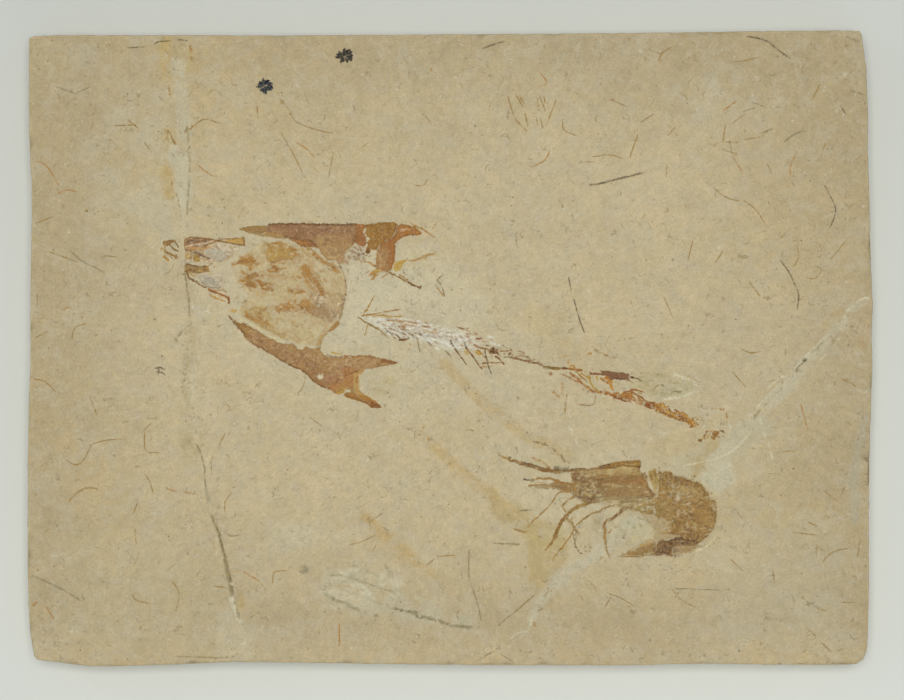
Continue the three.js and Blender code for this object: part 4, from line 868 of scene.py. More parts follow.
def paint_by_tail(face):
    """Stains round the tail: scraps above the backbone, the print of a fin and loose specks."""
    ochre = (178, 132, 68)
    for place, size in (
        ("33.2,-3", (1.1, 0.6)), ("34.8,-2.5", (1.3, 0.6)), ("36.1,-2.6", (0.8, 0.8)),
        ("38.6,-2.2", (1.2, 0.6)), ("35.5,-4.4", (0.6, 1.8)),
    ):
        face.dot(place, size, ochre, 0, 0.85, 0.4)
    for width, colour, path in (
        (0.6, ochre, "40.7,-2.1 42.9,-1.6"), (0.5, (188, 158, 104), "38.3,-3.2 39.3,-3.7"),
        (0.45, (150, 118, 64), "42.4,.7 43.4,-.4 44.3,-1.2 45.2,-1.7 46.3,-2.1 47.2,-2.6 48.4,-2.9 50.4,-3"),
        (0.35, (168, 148, 102), "46.2,-.2 47,1.6 48.2,4.2"),
        (0.4, (176, 158, 114), "50.2,2 53,2.6 56.4,3.2"),
        (0.55, (128, 78, 28), "41.5,-12.9 42.8,-13.1 44,-13.4 45.2,-13.3 46.2,-13.6 47.6,-14.1"),
        (0.5, (170, 128, 60), "40.4,-11.4 41.6,-12 42.6,-12.6"),
        (0.5, (176, 124, 62), "33.5,-10 33.7,-13.9"),
        (0.45, (166, 118, 62), "30.3,-12.7 31.4,-13.8 32.4,-14.7 33.3,-15.5"),
        (0.4, (170, 140, 88), "49,-10.1 50.2,-10.4 51.6,-10.9"), (0.5, (180, 138, 76), "45.7,-12 46.7,-13"),
        (0.5, (168, 128, 74), "78.2,-19.1 78.8,-18.4 79.8,-18.3"),
        (0.5, (166, 126, 72), "80.6,-18.3 81.8,-18.7 82.6,-19.4 83,-20.2 83.2,-21.2 83.2,-22.2 82.7,-22.9"),
        (0.4, (176, 150, 100), "75,-21.7 78.5,-22"), (0.5, (178, 156, 106), "71.4,-8.8 73.7,-9.6"),
        (0.4, (120, 110, 66), "66.3,-12.2 66.2,-13 69.7,-13.2"),
        (0.4, (186, 150, 100), "68,-22.8 69.3,-23.2"), (0.45, (148, 138, 92), "62.1,-8 63.4,-8"),
        (0.4, (156, 138, 90), "59,-9.5 60.2,-9.8"), (0.4, (150, 130, 80), "57.2,-11 59,-11.4 60.4,-11.2"),
        (0.4, (160, 140, 92), "64.8,-9.8 66.6,-10.4 68.4,-10.6"),
        (0.35, (152, 134, 86), "63,-13.4 65,-13.8"), (0.5, (140, 126, 74), "44.6,-17.8 45.6,-18.1"),
        (0.4, (142, 128, 80), "47,-18.5 48,-18.9"), (0.4, (150, 136, 90), "73.2,-21 74.2,-21.2"),
    ):
        face.hair(path, width, colour, 0.85)
    for place, size, colour in (
        ("63.9,-11.6", 1, (104, 98, 52)), ("62.2,-11.5", 0.8, (112, 104, 60)),
        ("71,-12.6", 0.7, (120, 110, 64)), ("77,-20.2", 0.7, (168, 140, 92)),
        ("73,-21", 0.6, (150, 140, 110)), ("78.2,-25.2", (1.6, 0.9), (196, 162, 130)),
    ):
        face.dot(place, size, colour, 0, 0.8, 0.4)
    # The fin's print: an olive wash with fine rays, inside a pale rim.
    fin = "55,-8.6 60,-7 66.8,-7.9 70.6,-9.3 73.6,-11 73,-13 69,-14.6 62,-15.6 56,-14.6 53,-12"
    face.wash(fin, (186, 174, 136), 0.6, 1.2)
    face.wash(fin, (168, 152, 108), 0.4, 1.0, 0.8, 0.1, -8, 7)
    face.wash("60,-7.6 66,-8.8 72,-11 66,-11.4 60,-9", (196, 186, 150), 0.4, 1.4, 0.8, 0.0, -12, 7)
    for path in (
        "64,-15.5 66,-15.2 68.5,-14.9 70.5,-14.3 72.4,-13.8 73.6,-12.9",
        "66.8,-7.9 68.8,-8.6 70.6,-9.3 71.8,-9.6", "73.1,-10 73.8,-10.8", "73.4,-11.2 74.4,-11.5",
    ):
        face.hair(path, 0.9, (212, 205, 178), 0.95)
    for path in (
        "57,-10.2 62,-9.8 67,-10.4", "58,-12.6 63,-12.8 68,-12", "60,-14 65,-14 70,-13.4",
        "56,-8.9 61,-8.6 66,-9",
    ):
        face.hair(path, 0.45, (160, 147, 102), 0.5)
    face.crumbs("57,-10 64,-10.6 71,-12", 3.4, 44, 1.2, (152, 140, 96), 0.45, 0, -6)
    face.crumbs("57,-10 64,-10.6 71,-12", 3.4, 30, 1.0, (205, 198, 166), 0.5, 0, -6)
    for place in ("64,-26.4", "60,-27.4", "76,-23.8", "83.6,-23.6", "34.8,-16.2", "90.4,-20.2"):
        face.dot(place, (1.2, 0.9), (212, 207, 188), 0, 0.6, 0.8)
        face.crumbs(place + " " + place, 1.4, 8, 0.8, (212, 207, 188), 0.7)
    face.wash("-38,-1 -32,-2 -31,-4 -36,-4", (202, 194, 162), 0.4, 1.5)
    for width, path in (
        (0.45, "33.6,-8 36.2,-9.2 38.6,-10.7"), (0.45, "35.9,-7.6 38.4,-9.8 40.6,-11.6 42.4,-12.7"),
        (0.5, "41.6,-13 45.1,-13.5 48.9,-14.6 52.7,-15.9"), (0.5, "46.6,-13.4 50.4,-14.3 53.5,-15.6"),
        (0.4, "38.6,-12.2 40.6,-12.8 42,-13.6"),
    ):
        face.hair(path, width, (156, 98, 38), 0.95)


def paint_by_neck(face):
    """Whitish, broken scraps behind the skull and the mineral veil on the stone next to the plates."""
    neck = "-33,26.4 -31,28.6 -29,30.6 -26.4,30.4 -25,28.6 -26,26.4 -29,25.4 -31,24.6 -33,24.4"
    face.wash(neck, (192, 178, 150), 0.8, 1.4)
    middle = "-32.4,25.8 -30,28 -26.4,28.4"
    face.wash("-27,9 -18,8 -6,5.6 6,2 4,-1 -6,1 -18,4 -26,7.6", (206, 200, 180), 0.5, 2.0)
    face.crumbs(middle, 3, 60, 0.8, (208, 199, 178), 0.95, 0)
    face.crumbs(middle, 3, 70, 0.7, (146, 116, 78), 0.95, 0)
    face.crumbs("-29,27 -26.6,27.8 -25,27.4", 1.8, 36, 0.7, (112, 78, 46), 0.95, 0)
    face.crumbs("-33.6,26.8 -31.4,25.4 -30,26.6", 1.4, 26, 0.8, (164, 122, 76), 0.95, 0)
    face.wash("-25,-7.6 -18,-6.6 -16.4,-10.6 -19,-14 -23.6,-14.4 -25.4,-11", (184, 166, 116), 0.6, 2.4, 2.0,
              -0.2)
    face.wash("-14,27 -6,29 -2,27 -4,24 -12,24", (184, 166, 120), 0.45, 2.4, 2.0, -0.1)
    face.hair("-7.6,37.2 -5.8,36.4 -4.6,35.2", 0.6, (176, 138, 74), 0.9)
    for path in ("-12,26 -9,26.6 -6.4,27.6 -4,28", "-10.6,24.4 -8.4,25 -6,24.8", "-14.4,25.4 -12.6,26.8"):
        face.hair(path, 0.45, (170, 138, 84), 0.8)


# ---------------------------------------------------------------- relief of the stone

SLAB = pts(
    "-125,-92.6 -124,-93.8 -121.5,-94.3 -116.4,-94.9 -108,-95.8 -99.6,-95.8 -82.8,-95.3 -66,-94.5 -49,-94.7"
    " -24,-95.1 10,-95.5 60,-95.5 68,-95.1 85,-95.1 94,-95.4 119,-95.4 122,-95.2 124.2,-93.7 125.5,-90.2"
    " 125.9,-77 125.9,-50 126.1,-32 126.7,-14 127,-5 126.7,4 127.1,13 126.6,22 126.2,40 125.6,58 125.6,70"
    " 125.1,84 124.1,91.4 123.7,94.1 122.9,95.2 119,95.4 94,95.1 60,94.6 26,94.3 -7,94.1 -49,93.8 -66,93.9"
    " -116,93.9 -124.8,93.6 -126.5,92.9 -126.6,67 -126.3,58 -125.7,49 -125.7,40 -126.1,13 -126.1,-5"
    " -126.5,-14 -126.9,-32 -126.9,-68 -126.7,-77 -126.1,-86"
)


# Lumps of the split face: height, size and seed.
FACE_LUMPS = ((0.12, 36, 3), (0.05, 13, 5), (0.018, 5, 8))


def face_rise(x, y):
    """How far the split face stands above or below the CAD part's flat face."""
    z = sum(height * lumps(x, y, size, seed) for height, size, seed in FACE_LUMPS)
    shallow = line_depth(x, y, FIRST_CRACK[:5], 1.6, 1.2)
    deep = line_depth(x, y, FIRST_CRACK[4:], 0.9, 1.5)
    second = np.maximum(line_depth(x, y, SECOND_CRACK_TOP, 1.2, 1.6),
                        line_depth(x, y, SECOND_CRACK_FOOT, 1.4, 1.8))
    z = z - 0.22 * ramp(-0.5, 0.7, shallow) * (0.6 + 0.6 * lumps(x, y, 3, 21))
    z = z - 0.55 * ramp(-0.25, 0.45, deep) * ramp(-0.7, 0.3, lumps(x, y, 7, 24))
    return z - 0.16 * ramp(-0.6, 0.7, second) * (0.7 + 0.5 * lumps(x, y, 4, 27))


def rails(path, width, pace, offs=5):
    """Places along a stroke: its middle, both edges and just outside both edges."""
    found = []
    for (ax, ay), (bx, by) in zip(path, path[1:]):
        span = math.hypot(bx - ax, by - ay)
        if span < 1e-6:
            continue
        nx = (ay - by) / span
        ny = (bx - ax) / span
        count = max(1, round(span / pace))
        for k in range(count + 1):
            t = k / count
            for off in (0.0, width / 2 + 0.1, -width / 2 - 0.1, width / 2 + 0.34, -width / 2 - 0.34)[:offs]:
                found.append((ax + (bx - ax) * t + nx * off, ay + (by - ay) * t + ny * off))
    return found


def strip(path, width, pace):
    """Places that fill a band along a path."""
    found = []
    for a, b in zip(path, path[1:]):
        span = math.dist(a, b)
        nx = (a[1] - b[1]) / span
        ny = (b[0] - a[0]) / span
        along, across = np.meshgrid(np.arange(0, span, pace), np.arange(-width / 2, width / 2, pace))
        i, j = np.indices(along.shape)
        along = (along + 0.5 * pace * (chance(i, j, 31) - 0.5)) / span
        across = across + 0.5 * pace * (chance(i, j, 32) - 0.5)
        x = a[0] + (b[0] - a[0]) * along + nx * across
        y = a[1] + (b[1] - a[1]) * along + ny * across
        found.append(np.column_stack([x.ravel(), y.ravel()]))
    return np.vstack(found)


def mesh_rows(low_x, high_x, low_y, high_y, pace, jitter, seed):
    """Places on a grid, each shifted a little."""
    gx, gy = np.meshgrid(np.arange(low_x, high_x, pace), np.arange(low_y, high_y, pace))
    i, j = np.indices(gx.shape)
    gx = gx + jitter * pace * (chance(i, j, seed) - 0.5)
    gy = gy + jitter * pace * (chance(i, j, seed + 1) - 0.5)
    return np.column_stack([gx.ravel(), gy.ravel()])


CLOSEST = 0.11  # of vertices closer together than this, one is kept

# Grids of vertices on the face: from and to in x, from and to in y, pace, jitter and seed.
FACE_GRIDS = (
    (-127, 127, -96, 96, 1.4, 0.7, 2),
    (-25, 12.4, -2.6, 9.5, 0.3, 0.6, 4),
    (-59, -52.4, 75, 81.6, 0.3, 0.5, 6),
    (-35, -28, 84, 91, 0.3, 0.5, 8),
    (14, 86, -66, -29, 0.7, 0.6, 12),
    (12, 86, -28, 5, 0.64, 0.6, 14),
    (-35, -23, 22.5, 31.5, 0.42, 0.6, 16),
)

# Bands of closer vertices, over the cracks and the painted streaks: path, width and pace.
FACE_BANDS = (
    ("-82,91.6 -81,78 -80,66 -82.4,58 -80,46 -79.4,36", 9, 0.6),
    ("-79,26 -78.4,10 -78.4,-10 -77,-29", 6, 0.55),
    ("-76,-29 -73.4,-40 -71,-52 -67.4,-65 -64.5,-77", 3.6, 0.4),
    ("-64.5,-77 -64,-94", 11, 0.6),
    ("127,15 117,7.6 106,-5 95.2,-17.4 86,-27 78,-33", 7, 0.5),
    ("60,-49 50,-57.4 42.6,-62.9 35.7,-67 26.4,-77 22,-85 8,-94", 6, 0.55),
    ("-8.6,-26 2.5,-36.4 10.9,-43.6 21.4,-52", 5, 0.6),
    ("-1.5,-5 9.2,-16 22.3,-26.3 30,-29.6", 5, 0.6),
    ("-45.5,-66.5 -41.5,-66.5", 4, 0.4),
    ("-38,-70 -20,-75 8,-83", 9, 0.5),
    ("25.4,-74.2 14.4,-83.6", 1.4, 0.3),
    ("-83,-92.6 -66.4,-93", 1.2, 0.3),
    ("35,-14.6 38.4,-30", 2.4, 0.4),
)


def face_places():
    """Where the slab's face has a vertex: a base grid, with more where something is drawn."""
    found = [mesh_rows(*grid) for grid in FACE_GRIDS]
    for hairs in HAIRS.values():
        for width, path in hairs:
            found.append(np.array(rails(bend(pts(path)), width, 0.5)))
    for path, width, _, _ in STRAYS:
        found.append(np.array(rails(bend(pts(path), 2), width, 0.7, 3)))
    for place, size, _ in SPOTS:
        ((x, y),) = pts(place)
        r = (size[0] if isinstance(size, tuple) else size) / 2
        found.append(mesh_rows(x - r - 0.4, x + r + 0.41, y - r - 0.4, y + r + 0.41, 0.3, 0.3, 9))
    for path, spread, _, size, _ in SCRAPS:
        found.append(strip(pts(path), 2 * spread + 2 * size, 0.36))
    for path, width, pace in FACE_BANDS:
        found.append(strip(pts(path), width, pace))
    places = np.vstack(found)
    cells = np.round(places / CLOSEST).astype(np.int64)
    _, first = np.unique(cells, axis=0, return_index=True)
    return places[np.sort(first)]


# ---------------------------------------------------------------- meshes


def make_mesh(name, verts, faces, tone, film, cover, finish, flat_from=None):
    """A mesh with the painted colours stored at its vertices."""
    mesh = bpy.data.meshes.new(name)
    mesh.from_pydata((np.asarray(verts) * MM).tolist(), [], faces)
    for label, values in (("tone", tone), ("film", film)):
        layer = mesh.attributes.new(label, "FLOAT_COLOR", "POINT")
        rgba = np.ones((len(values), 4), np.float32)
        rgba[:, :3] = np.clip(values * (FILM_HUE if label == "film" else 1), 0, 1)
        layer.data.foreach_set("color", rgba.ravel())
    layer = mesh.attributes.new("cover", "FLOAT", "POINT")
    layer.data.foreach_set("value", np.clip(cover, 0, 1).astype(np.float32))
    smooth = np.ones(len(faces), bool)
    if flat_from is not None:
        smooth[flat_from:] = False
    mesh.polygons.foreach_set("use_smooth", smooth)
    mesh.materials.append(finish)
    mesh.update()
    piece = bpy.data.objects.new(name, mesh)
    bpy.context.scene.collection.objects.link(piece)
    return piece


def walk_outline(corners, pace):
    """Places at even steps round an outline, with the direction that points into it."""
    found = []
    inward = []
    for (ax, ay), (bx, by) in zip(corners, corners[1:] + corners[:1]):
        span = math.hypot(bx - ax, by - ay)
        count = max(1, round(span / pace))
        for k in range(count):
            t = k / count
            found.append((ax + (bx - ax) * t, ay + (by - ay) * t))
            inward.append(((ay - by) / span, (bx - ax) / span))
    found = np.array(found)
    inward = np.array(inward)
    for _ in range(3):
        inward = inward + np.roll(inward, 1, 0) + np.roll(inward, -1, 0)
        inward /= np.linalg.norm(inward, axis=1)[:, None]
    return found, inward


OUTLINE_STEP = 1.15
BEDS = ((0.0, 1.5), (2.4, 0.5), (6.0, 1.1), (9.4, 0.0))  # where each bed begins and how far it stands back
SIDE_ROWS = (14.93, 14.7, 14.3, 13.6, 12.4, 11, 9.9, 9.5, 9.2, 8.2, 7, 6.3, 5.9, 5, 3.8, 2.7, 2.3, 1.4, 0.6,
             0.0)


def side_inset(run, z):
    """How far the slab's broken side stands back from its outline, at a distance round it and a height."""
    jog = 0.3 * lumps(run, run * 0 + 4, 9, 41)
    back = 0.0
    for low, set_back in BEDS:
        here = ramp(low - 0.12, low + 0.12, z + jog * (low > 0))
        back = back * (1 - here) + set_back * here
    tilt = np.full(len(run), float(z))
    chips = ramp(0.15, 0.75, clouds(run, tilt * 2.2, 7, 43))
    grain = clouds(run, tilt * 1.6, 1.9, 47)
    back = back * (0.8 + 0.35 * lumps(run, tilt * 0.2, 16, 45))
    back = back + 0.55 * chips * ramp(15, 12.5, z)
    back = back + 0.22 * grain
    worn = 0.75 * (1 - np.sqrt(np.clip(1 - ((z - 14.1) / 0.9) ** 2, 0, 1))) if z > 14.1 else 0
    foot = 0.5 * ramp(0.8, 0, z)
    return np.maximum(back, 0) * ramp(15.1, 14.0, z) + worn + foot + 0.06 + 0.1 * np.abs(grain) * (z > 14)


INSIDE_ONLY = 1  # the kind of triangulation that leaves out what lies outside the outline
SAME_PLACE = 1e-5


def inner(places, outline, margin):
    """Those of the places that lie in an outline, more than a margin away from it."""
    depth = area_depth(places[:, 0], places[:, 1], [tuple(p) for p in outline])
    return places[depth > margin]


def triangles(places, count):
    """Triangles over places, inside the outline that the first `count` of them make."""
    outline = list(range(count))
    return delaunay_2d_cdt([tuple(p) for p in places], [], [outline], INSIDE_ONLY, SAME_PLACE)


def outline_numbers(origins, count):
    """Which vertex of a triangulation stands at each place of the outline it was given first."""
    found = {}
    for k, sources in enumerate(origins):
        for source in sources:
            if source < count:
                found[source] = k
    return found


def build_slab(finish):
    """The whole slab: its painted face, its sides in rows and its rough underside."""
    ring, inward = walk_outline(SLAB, OUTLINE_STEP)
    count = len(ring)
    run = np.arange(count) * OUTLINE_STEP
    rim_inset = 0.75 + 0.25 * lumps(run, run * 0, 6, 51) + 0.15 * lumps(run, run * 0, 2, 53)
    rim = ring + inward * rim_inset[:, None]
    result = triangles(np.vstack([rim, inner(face_places(), rim, 0.45)]), count)
    x, y = np.array(result[0]).T
    top = Face(x, y)
    paint_stone(top)
    top_z = FACE + face_rise(x, y)
    verts = [np.column_stack([x, y, top_z])]
    tones = [top.tone]
    films = [top.film]
    covers = [top.cover]
    faces = [list(f) for f in result[2]]
    total = len(x)
    # Rings of the side, from the rim down to the foot.
    rim_numbers = outline_numbers(result[3], count)
    upper = [rim_numbers[k] for k in range(count)]
    for z in SIDE_ROWS:
        inset = side_inset(run, z)
        at = ring + inward * inset[:, None]
        height = np.full(count, z) + (0.1 * lumps(run, run * 0 + z, 3, 61) if 0.5 < z < 14.5 else 0)
        if z > 14.5:
            height = height + face_rise(at[:, 0], at[:, 1])
        verts.append(np.column_stack([at, height]))
        side = Face(at[:, 0], at[:, 1])
        tone = shaded(SIDE_STONE, 1 + 0.09 * clouds(run, run * 0 + z * 3, 5, 63))
        bed = 0.94 + 0.07 * math.sin(2.4 * z) + 0.04 * math.sin(5.3 * z + 1)
        pale = ramp(14.2, 14.9, z)
        tones.append(tone * (bed * (1 - pale) + 1.02 * pale))
        films.append(side.film)
        covers.append(side.cover)
        here = list(range(total, total + count))
        for k in range(count):
            n = (k + 1) % count
            faces.append([upper[k], here[k], here[n], upper[n]])
        upper = here
        total += count
    # The rough underside, which touches the table at its lowest places.
    foot = verts[-1][:, :2]
    rows = mesh_rows(-HALF_LENGTH, HALF_LENGTH, -HALF_WIDTH, HALF_WIDTH, 3.2, 0.6, 71)
    under = triangles(np.vstack([foot, inner(rows, foot, 1.2)]), count)
    number = {k: upper[place] for place, k in outline_numbers(under[3], count).items()}
    extra = [k for k in range(len(under[0])) if k not in number]
    number.update({k: total + n for n, k in enumerate(extra)})
    x, y = np.array(under[0])[extra].T
    hollow = 0.22 * ramp(-0.3, 0.6, clouds(x, y, 16, 73)) + 0.08 * ramp(0, 0.8, lumps(x, y, 5, 75))
    verts.append(np.column_stack([x, y, hollow]))
    tones.append(shaded(UNDER_STONE, 1 + 0.08 * clouds(x, y, 14, 77)))
    films.append(np.tile(lin(BARE_FILM), (len(x), 1)))
    covers.append(np.zeros(len(x)))
    for f in under[2]:
        faces.append([number[k] for k in reversed(f)])
    return make_mesh("limestone_slab", np.vstack(verts), faces, np.vstack(tones), np.vstack(films),
                     np.concatenate(covers), finish)


EDGE_WOBBLE = 0.16  # the fossils' edges wander this far
GRID_MARGIN = 0.9  # a fossil's grid of vertices reaches this far past its solid
SHELL_EDGE = -0.16  # the shell of a fossil ends where it has dipped this far into the stone
SHELL_FOOT = 0.9  # how deep in the stone the shell's hidden underside lies


def build_fossil(node, pace, paint, finish, seed):
    """One fossil as a thin closed shell whose edge dips into the stone."""
    low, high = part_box(node)
    xs = np.arange(low.x / MM - GRID_MARGIN, high.x / MM + GRID_MARGIN + pace, pace)
    ys = np.arange(low.y / MM - GRID_MARGIN, high.y / MM + GRID_MARGIN + pace, pace)
    gx, gy = np.meshgrid(xs, ys)
    face = Face(gx.ravel(), gy.ravel(), EDGE_WOBBLE, seed)
    paint_stone(face)
    paint(face)
    # The stone is a little paler just round the film, where it was cleaned.
    pale = 0.3 * ramp(-0.3, 0.02, face.lift) * (1 - ramp(0.02, 0.3, face.cover))
    mix(face.tone, ALL, pale, CLEAN_RIM)
    z = face.lift.reshape(gx.shape)
    highest = np.maximum(np.maximum(z[:-1, :-1], z[1:, :-1]), np.maximum(z[:-1, 1:], z[1:, 1:]))
    solid = highest > SHELL_EDGE
    for _ in range(3):
        # Cells that touch only at a corner would leave an open seam, so their neighbours are filled.
        one = solid[:-1, :-1] & solid[1:, 1:] & ~solid[1:, :-1] & ~solid[:-1, 1:]
        two = ~solid[:-1, :-1] & ~solid[1:, 1:] & solid[1:, :-1] & solid[:-1, 1:]
        if not (one.any() or two.any()):
            break
        solid[1:, :-1] |= one
        solid[:-1, :-1] |= two
    rows, cols = np.nonzero(solid)
    wide = gx.shape[1]
    corner = rows * wide + cols
    quads = np.column_stack([corner, corner + 1, corner + 1 + wide, corner + wide])
    used, quads = np.unique(quads, return_inverse=True)
    quads = quads.reshape(-1, 4)
    count = len(used)
    x = face.x[used]
    y = face.y[used]
    top = np.column_stack([x, y, FACE + face_rise(x, y) + face.lift[used]])
    foot = np.column_stack([x, y, np.full(count, FACE - SHELL_FOOT)])
    edges = np.vstack([quads[:, [0, 1]], quads[:, [1, 2]], quads[:, [2, 3]], quads[:, [3, 0]]])
    key = edges[:, 0] * (count + 1) + edges[:, 1]
    back = edges[:, 1] * (count + 1) + edges[:, 0]
    rim = edges[~np.isin(key, back)]
    walls = np.column_stack([rim[:, 1], rim[:, 0], rim[:, 0] + count, rim[:, 1] + count])
    faces = np.vstack([quads, walls, quads[:, ::-1] + count]).tolist()
    tone = np.vstack([face.tone[used]] * 2)
    film = np.vstack([face.film[used]] * 2)
    cover = np.concatenate([face.cover[used]] * 2)
    return make_mesh(node + "_relief", np.vstack([top, foot]), faces, tone, film, cover, finish, len(quads))


# ---------------------------------------------------------------- finishes


class Value:
    """A socket of a material. Python's operators on it add the nodes that do the sum."""

    def __init__(self, finish, socket):
        self.finish = finish
        self.socket = socket

    def sum(self, operation, *others):
        return self.finish.maths(operation, self, *others)

    def __add__(self, other):
        return self.sum("ADD", other)

    def __radd__(self, other):
        return self.sum("ADD", other)

    def __sub__(self, other):
        return self.sum("SUBTRACT", other)

    def __rsub__(self, other):
        return self.finish.maths("SUBTRACT", other, self)

    def __mul__(self, other):
        return self.sum("MULTIPLY", other)

    def __rmul__(self, other):
        return self.sum("MULTIPLY", other)

    def __truediv__(self, other):
        return self.sum("DIVIDE", other)

    def __rtruediv__(self, other):
        return self.finish.maths("DIVIDE", other, self)

    def ramp(self, low, high):
        inputs = {"Value": self, "From Min": low, "From Max": high, "To Min": 0.0, "To Max": 1.0}
        return self.finish.add("ShaderNodeMapRange", {"interpolation_type": "SMOOTHSTEP"}, inputs, "Result")


class Finish:
    """A material under construction."""

    def __init__(self, name):
        self.material = bpy.data.materials.new(name)
        self.material.use_nodes = True
        self.tree = self.material.node_tree
        self.tree.nodes.clear()

    def add(self, kind, settings, inputs, output):
        node = self.tree.nodes.new(kind)
        for name, value in settings.items():
            setattr(node, name, value)
        for name, value in inputs.items():
            if isinstance(value, Value):
                self.tree.links.new(value.socket, node.inputs[name])
            else:
                node.inputs[name].default_value = value
        return Value(self, node.outputs[output])

    def maths(self, operation, *values):
        return self.add("ShaderNodeMath", {"operation": operation}, dict(enumerate(values)), 0)

    def blend(self, share, first, second):
        settings = {"data_type": "RGBA", "clamp_factor": True}
        return self.add("ShaderNodeMix", settings, {0: share, 6: first, 7: second}, 2)

    def scale(self, colour, share):
        """A colour made lighter or darker by a number."""
        return self.add("ShaderNodeVectorMath", {"operation": "SCALE"}, {0: colour, "Scale": share}, 0)

    def place(self):
        """The place of a point on the piece, in metres."""
        return self.add("ShaderNodeTexCoord", {}, {}, "Object")

    def millimetres(self):
        return self.scale(self.place(), 1000.0)

    def attribute(self, name, output):
        return self.add("ShaderNodeAttribute", {"attribute_name": name}, {}, output)

    def noise(self, place, scale, detail=4.0, rough=0.6, twist=0.0):
        inputs = {"Vector": place, "Scale": scale, "Detail": detail, "Roughness": rough, "Distortion": twist}
        return self.add("ShaderNodeTexNoise", {}, inputs, 0)

    def finish(self, inputs):
        """Ends the material with a plain principled surface."""
        surface = self.add("ShaderNodeBsdfPrincipled", {}, inputs, 0)
        out = self.tree.nodes.new("ShaderNodeOutputMaterial")
        self.tree.links.new(surface.socket, out.inputs["Surface"])
        return self.material


STONE_ROUGH = 0.87
ASH_GRAIN = (0.55, 0.487, 0.338)
PALE_CRUMB = (0.66, 0.63, 0.49, 1.0)
DARK_CRUMB = (0.30, 0.22, 0.10, 1.0)
FINE_HAIR = (0.24, 0.16, 0.06, 1.0)
PALE_SPECK = (0.56, 0.43, 0.25, 1.0)
BUMP_HEIGHT = 0.00012  # metres


def fossil_stone(name, film_rough, strength, breakup, film_grain, bump):
    """Limestone with mineral film on it. The painted values say where the film lies and its colour."""
    f = Finish(name)
    mm = f.millimetres()
    tone = f.attribute("tone", "Color")
    film = f.attribute("film", "Color")
    cover = f.attribute("cover", "Fac")

    # The stone: fine grain, soft mottling, and crumbs a little darker or paler than the rest.
    fine = f.noise(mm, 1.7, 5.0, 0.7)
    middle = f.noise(mm, 0.42, 4.0, 0.62)
    broad = f.noise(mm, 0.085, 3.0, 0.55)
    shade = 0.44 + 0.62 * fine + 0.34 * middle + 0.12 * broad
    stone = f.scale(tone, shade)
    ash = f.noise(mm, 0.18, 5.0, 0.66, 0.5)
    stone = f.blend((ash - 0.47).ramp(0.0, 0.14) * 0.45, stone, f.scale(ASH_GRAIN, shade))
    crumb = f.noise(mm, 0.85, 3.0, 0.62, 0.6)
    patch = f.noise(mm, 0.14, 2.0, 0.5)
    pale = (crumb - 0.62).ramp(0.0, 0.07) * (patch - 0.42).ramp(0.0, 0.2)
    stone = f.blend(pale * 0.5, stone, PALE_CRUMB)
    dark = (0.37 - crumb).ramp(0.0, 0.07) * (0.6 - patch).ramp(0.0, 0.2)
    stone = f.blend(dark * 0.5, stone, DARK_CRUMB)

    # Fine plant hairs: short stretches of the lines along which a noise is level.
    level = f.maths("ABSOLUTE", f.noise(mm, 0.33, 1.0, 0.4, 0.4) - 0.5)
    stretch = f.noise(mm, 0.36, 1.0, 0.5)
    hair = (0.024 - level).ramp(0.0, 0.018) * (stretch - 0.6).ramp(0.0, 0.06)
    stone = f.blend(hair * 0.44, stone, FINE_HAIR)

    # The film is uneven and breaks up into specks.
    mottle = f.noise(mm, 1.15, 4.0, 0.68)
    flaw = f.noise(mm, 2.6, 4.0, 0.66)
    speck = f.noise(mm, 2.0, 3.0, 0.6, 0.3)
    film = f.scale(film, 1 + film_grain * (0.7 * (mottle - 0.5) + 0.9 * (flaw - 0.5)))
    film = f.blend((0.45 - speck).ramp(0.0, 0.12) * 0.4, film, f.scale(film, 0.66))
    film = f.blend((speck - 0.54).ramp(0.0, 0.14) * 0.42, film, PALE_SPECK)
    uneven = breakup * (flaw - 0.5) + breakup * (mottle - 0.5)
    share = (strength * cover + uneven * cover.ramp(0.0, 0.35)).ramp(0.12, 0.88)
    colour = f.blend(share, stone, film)

    height = fine * 0.7 + middle * 0.9 + flaw * share * 0.4
    bumps = {"Strength": bump, "Distance": BUMP_HEIGHT, "Height": height}
    normal = f.add("ShaderNodeBump", {}, bumps, 0)
    return f.finish({
        "Base Color": colour,
        "Roughness": STONE_ROUGH + (film_rough - STONE_ROUGH) * share,
        "Specular IOR Level": 0.25,
        "Normal": normal,
    })


# ---------------------------------------------------------------- the shrimp

SHELL = (150, 119, 71)
LIMB = (156, 119, 57)
SOOT = (62, 58, 42)


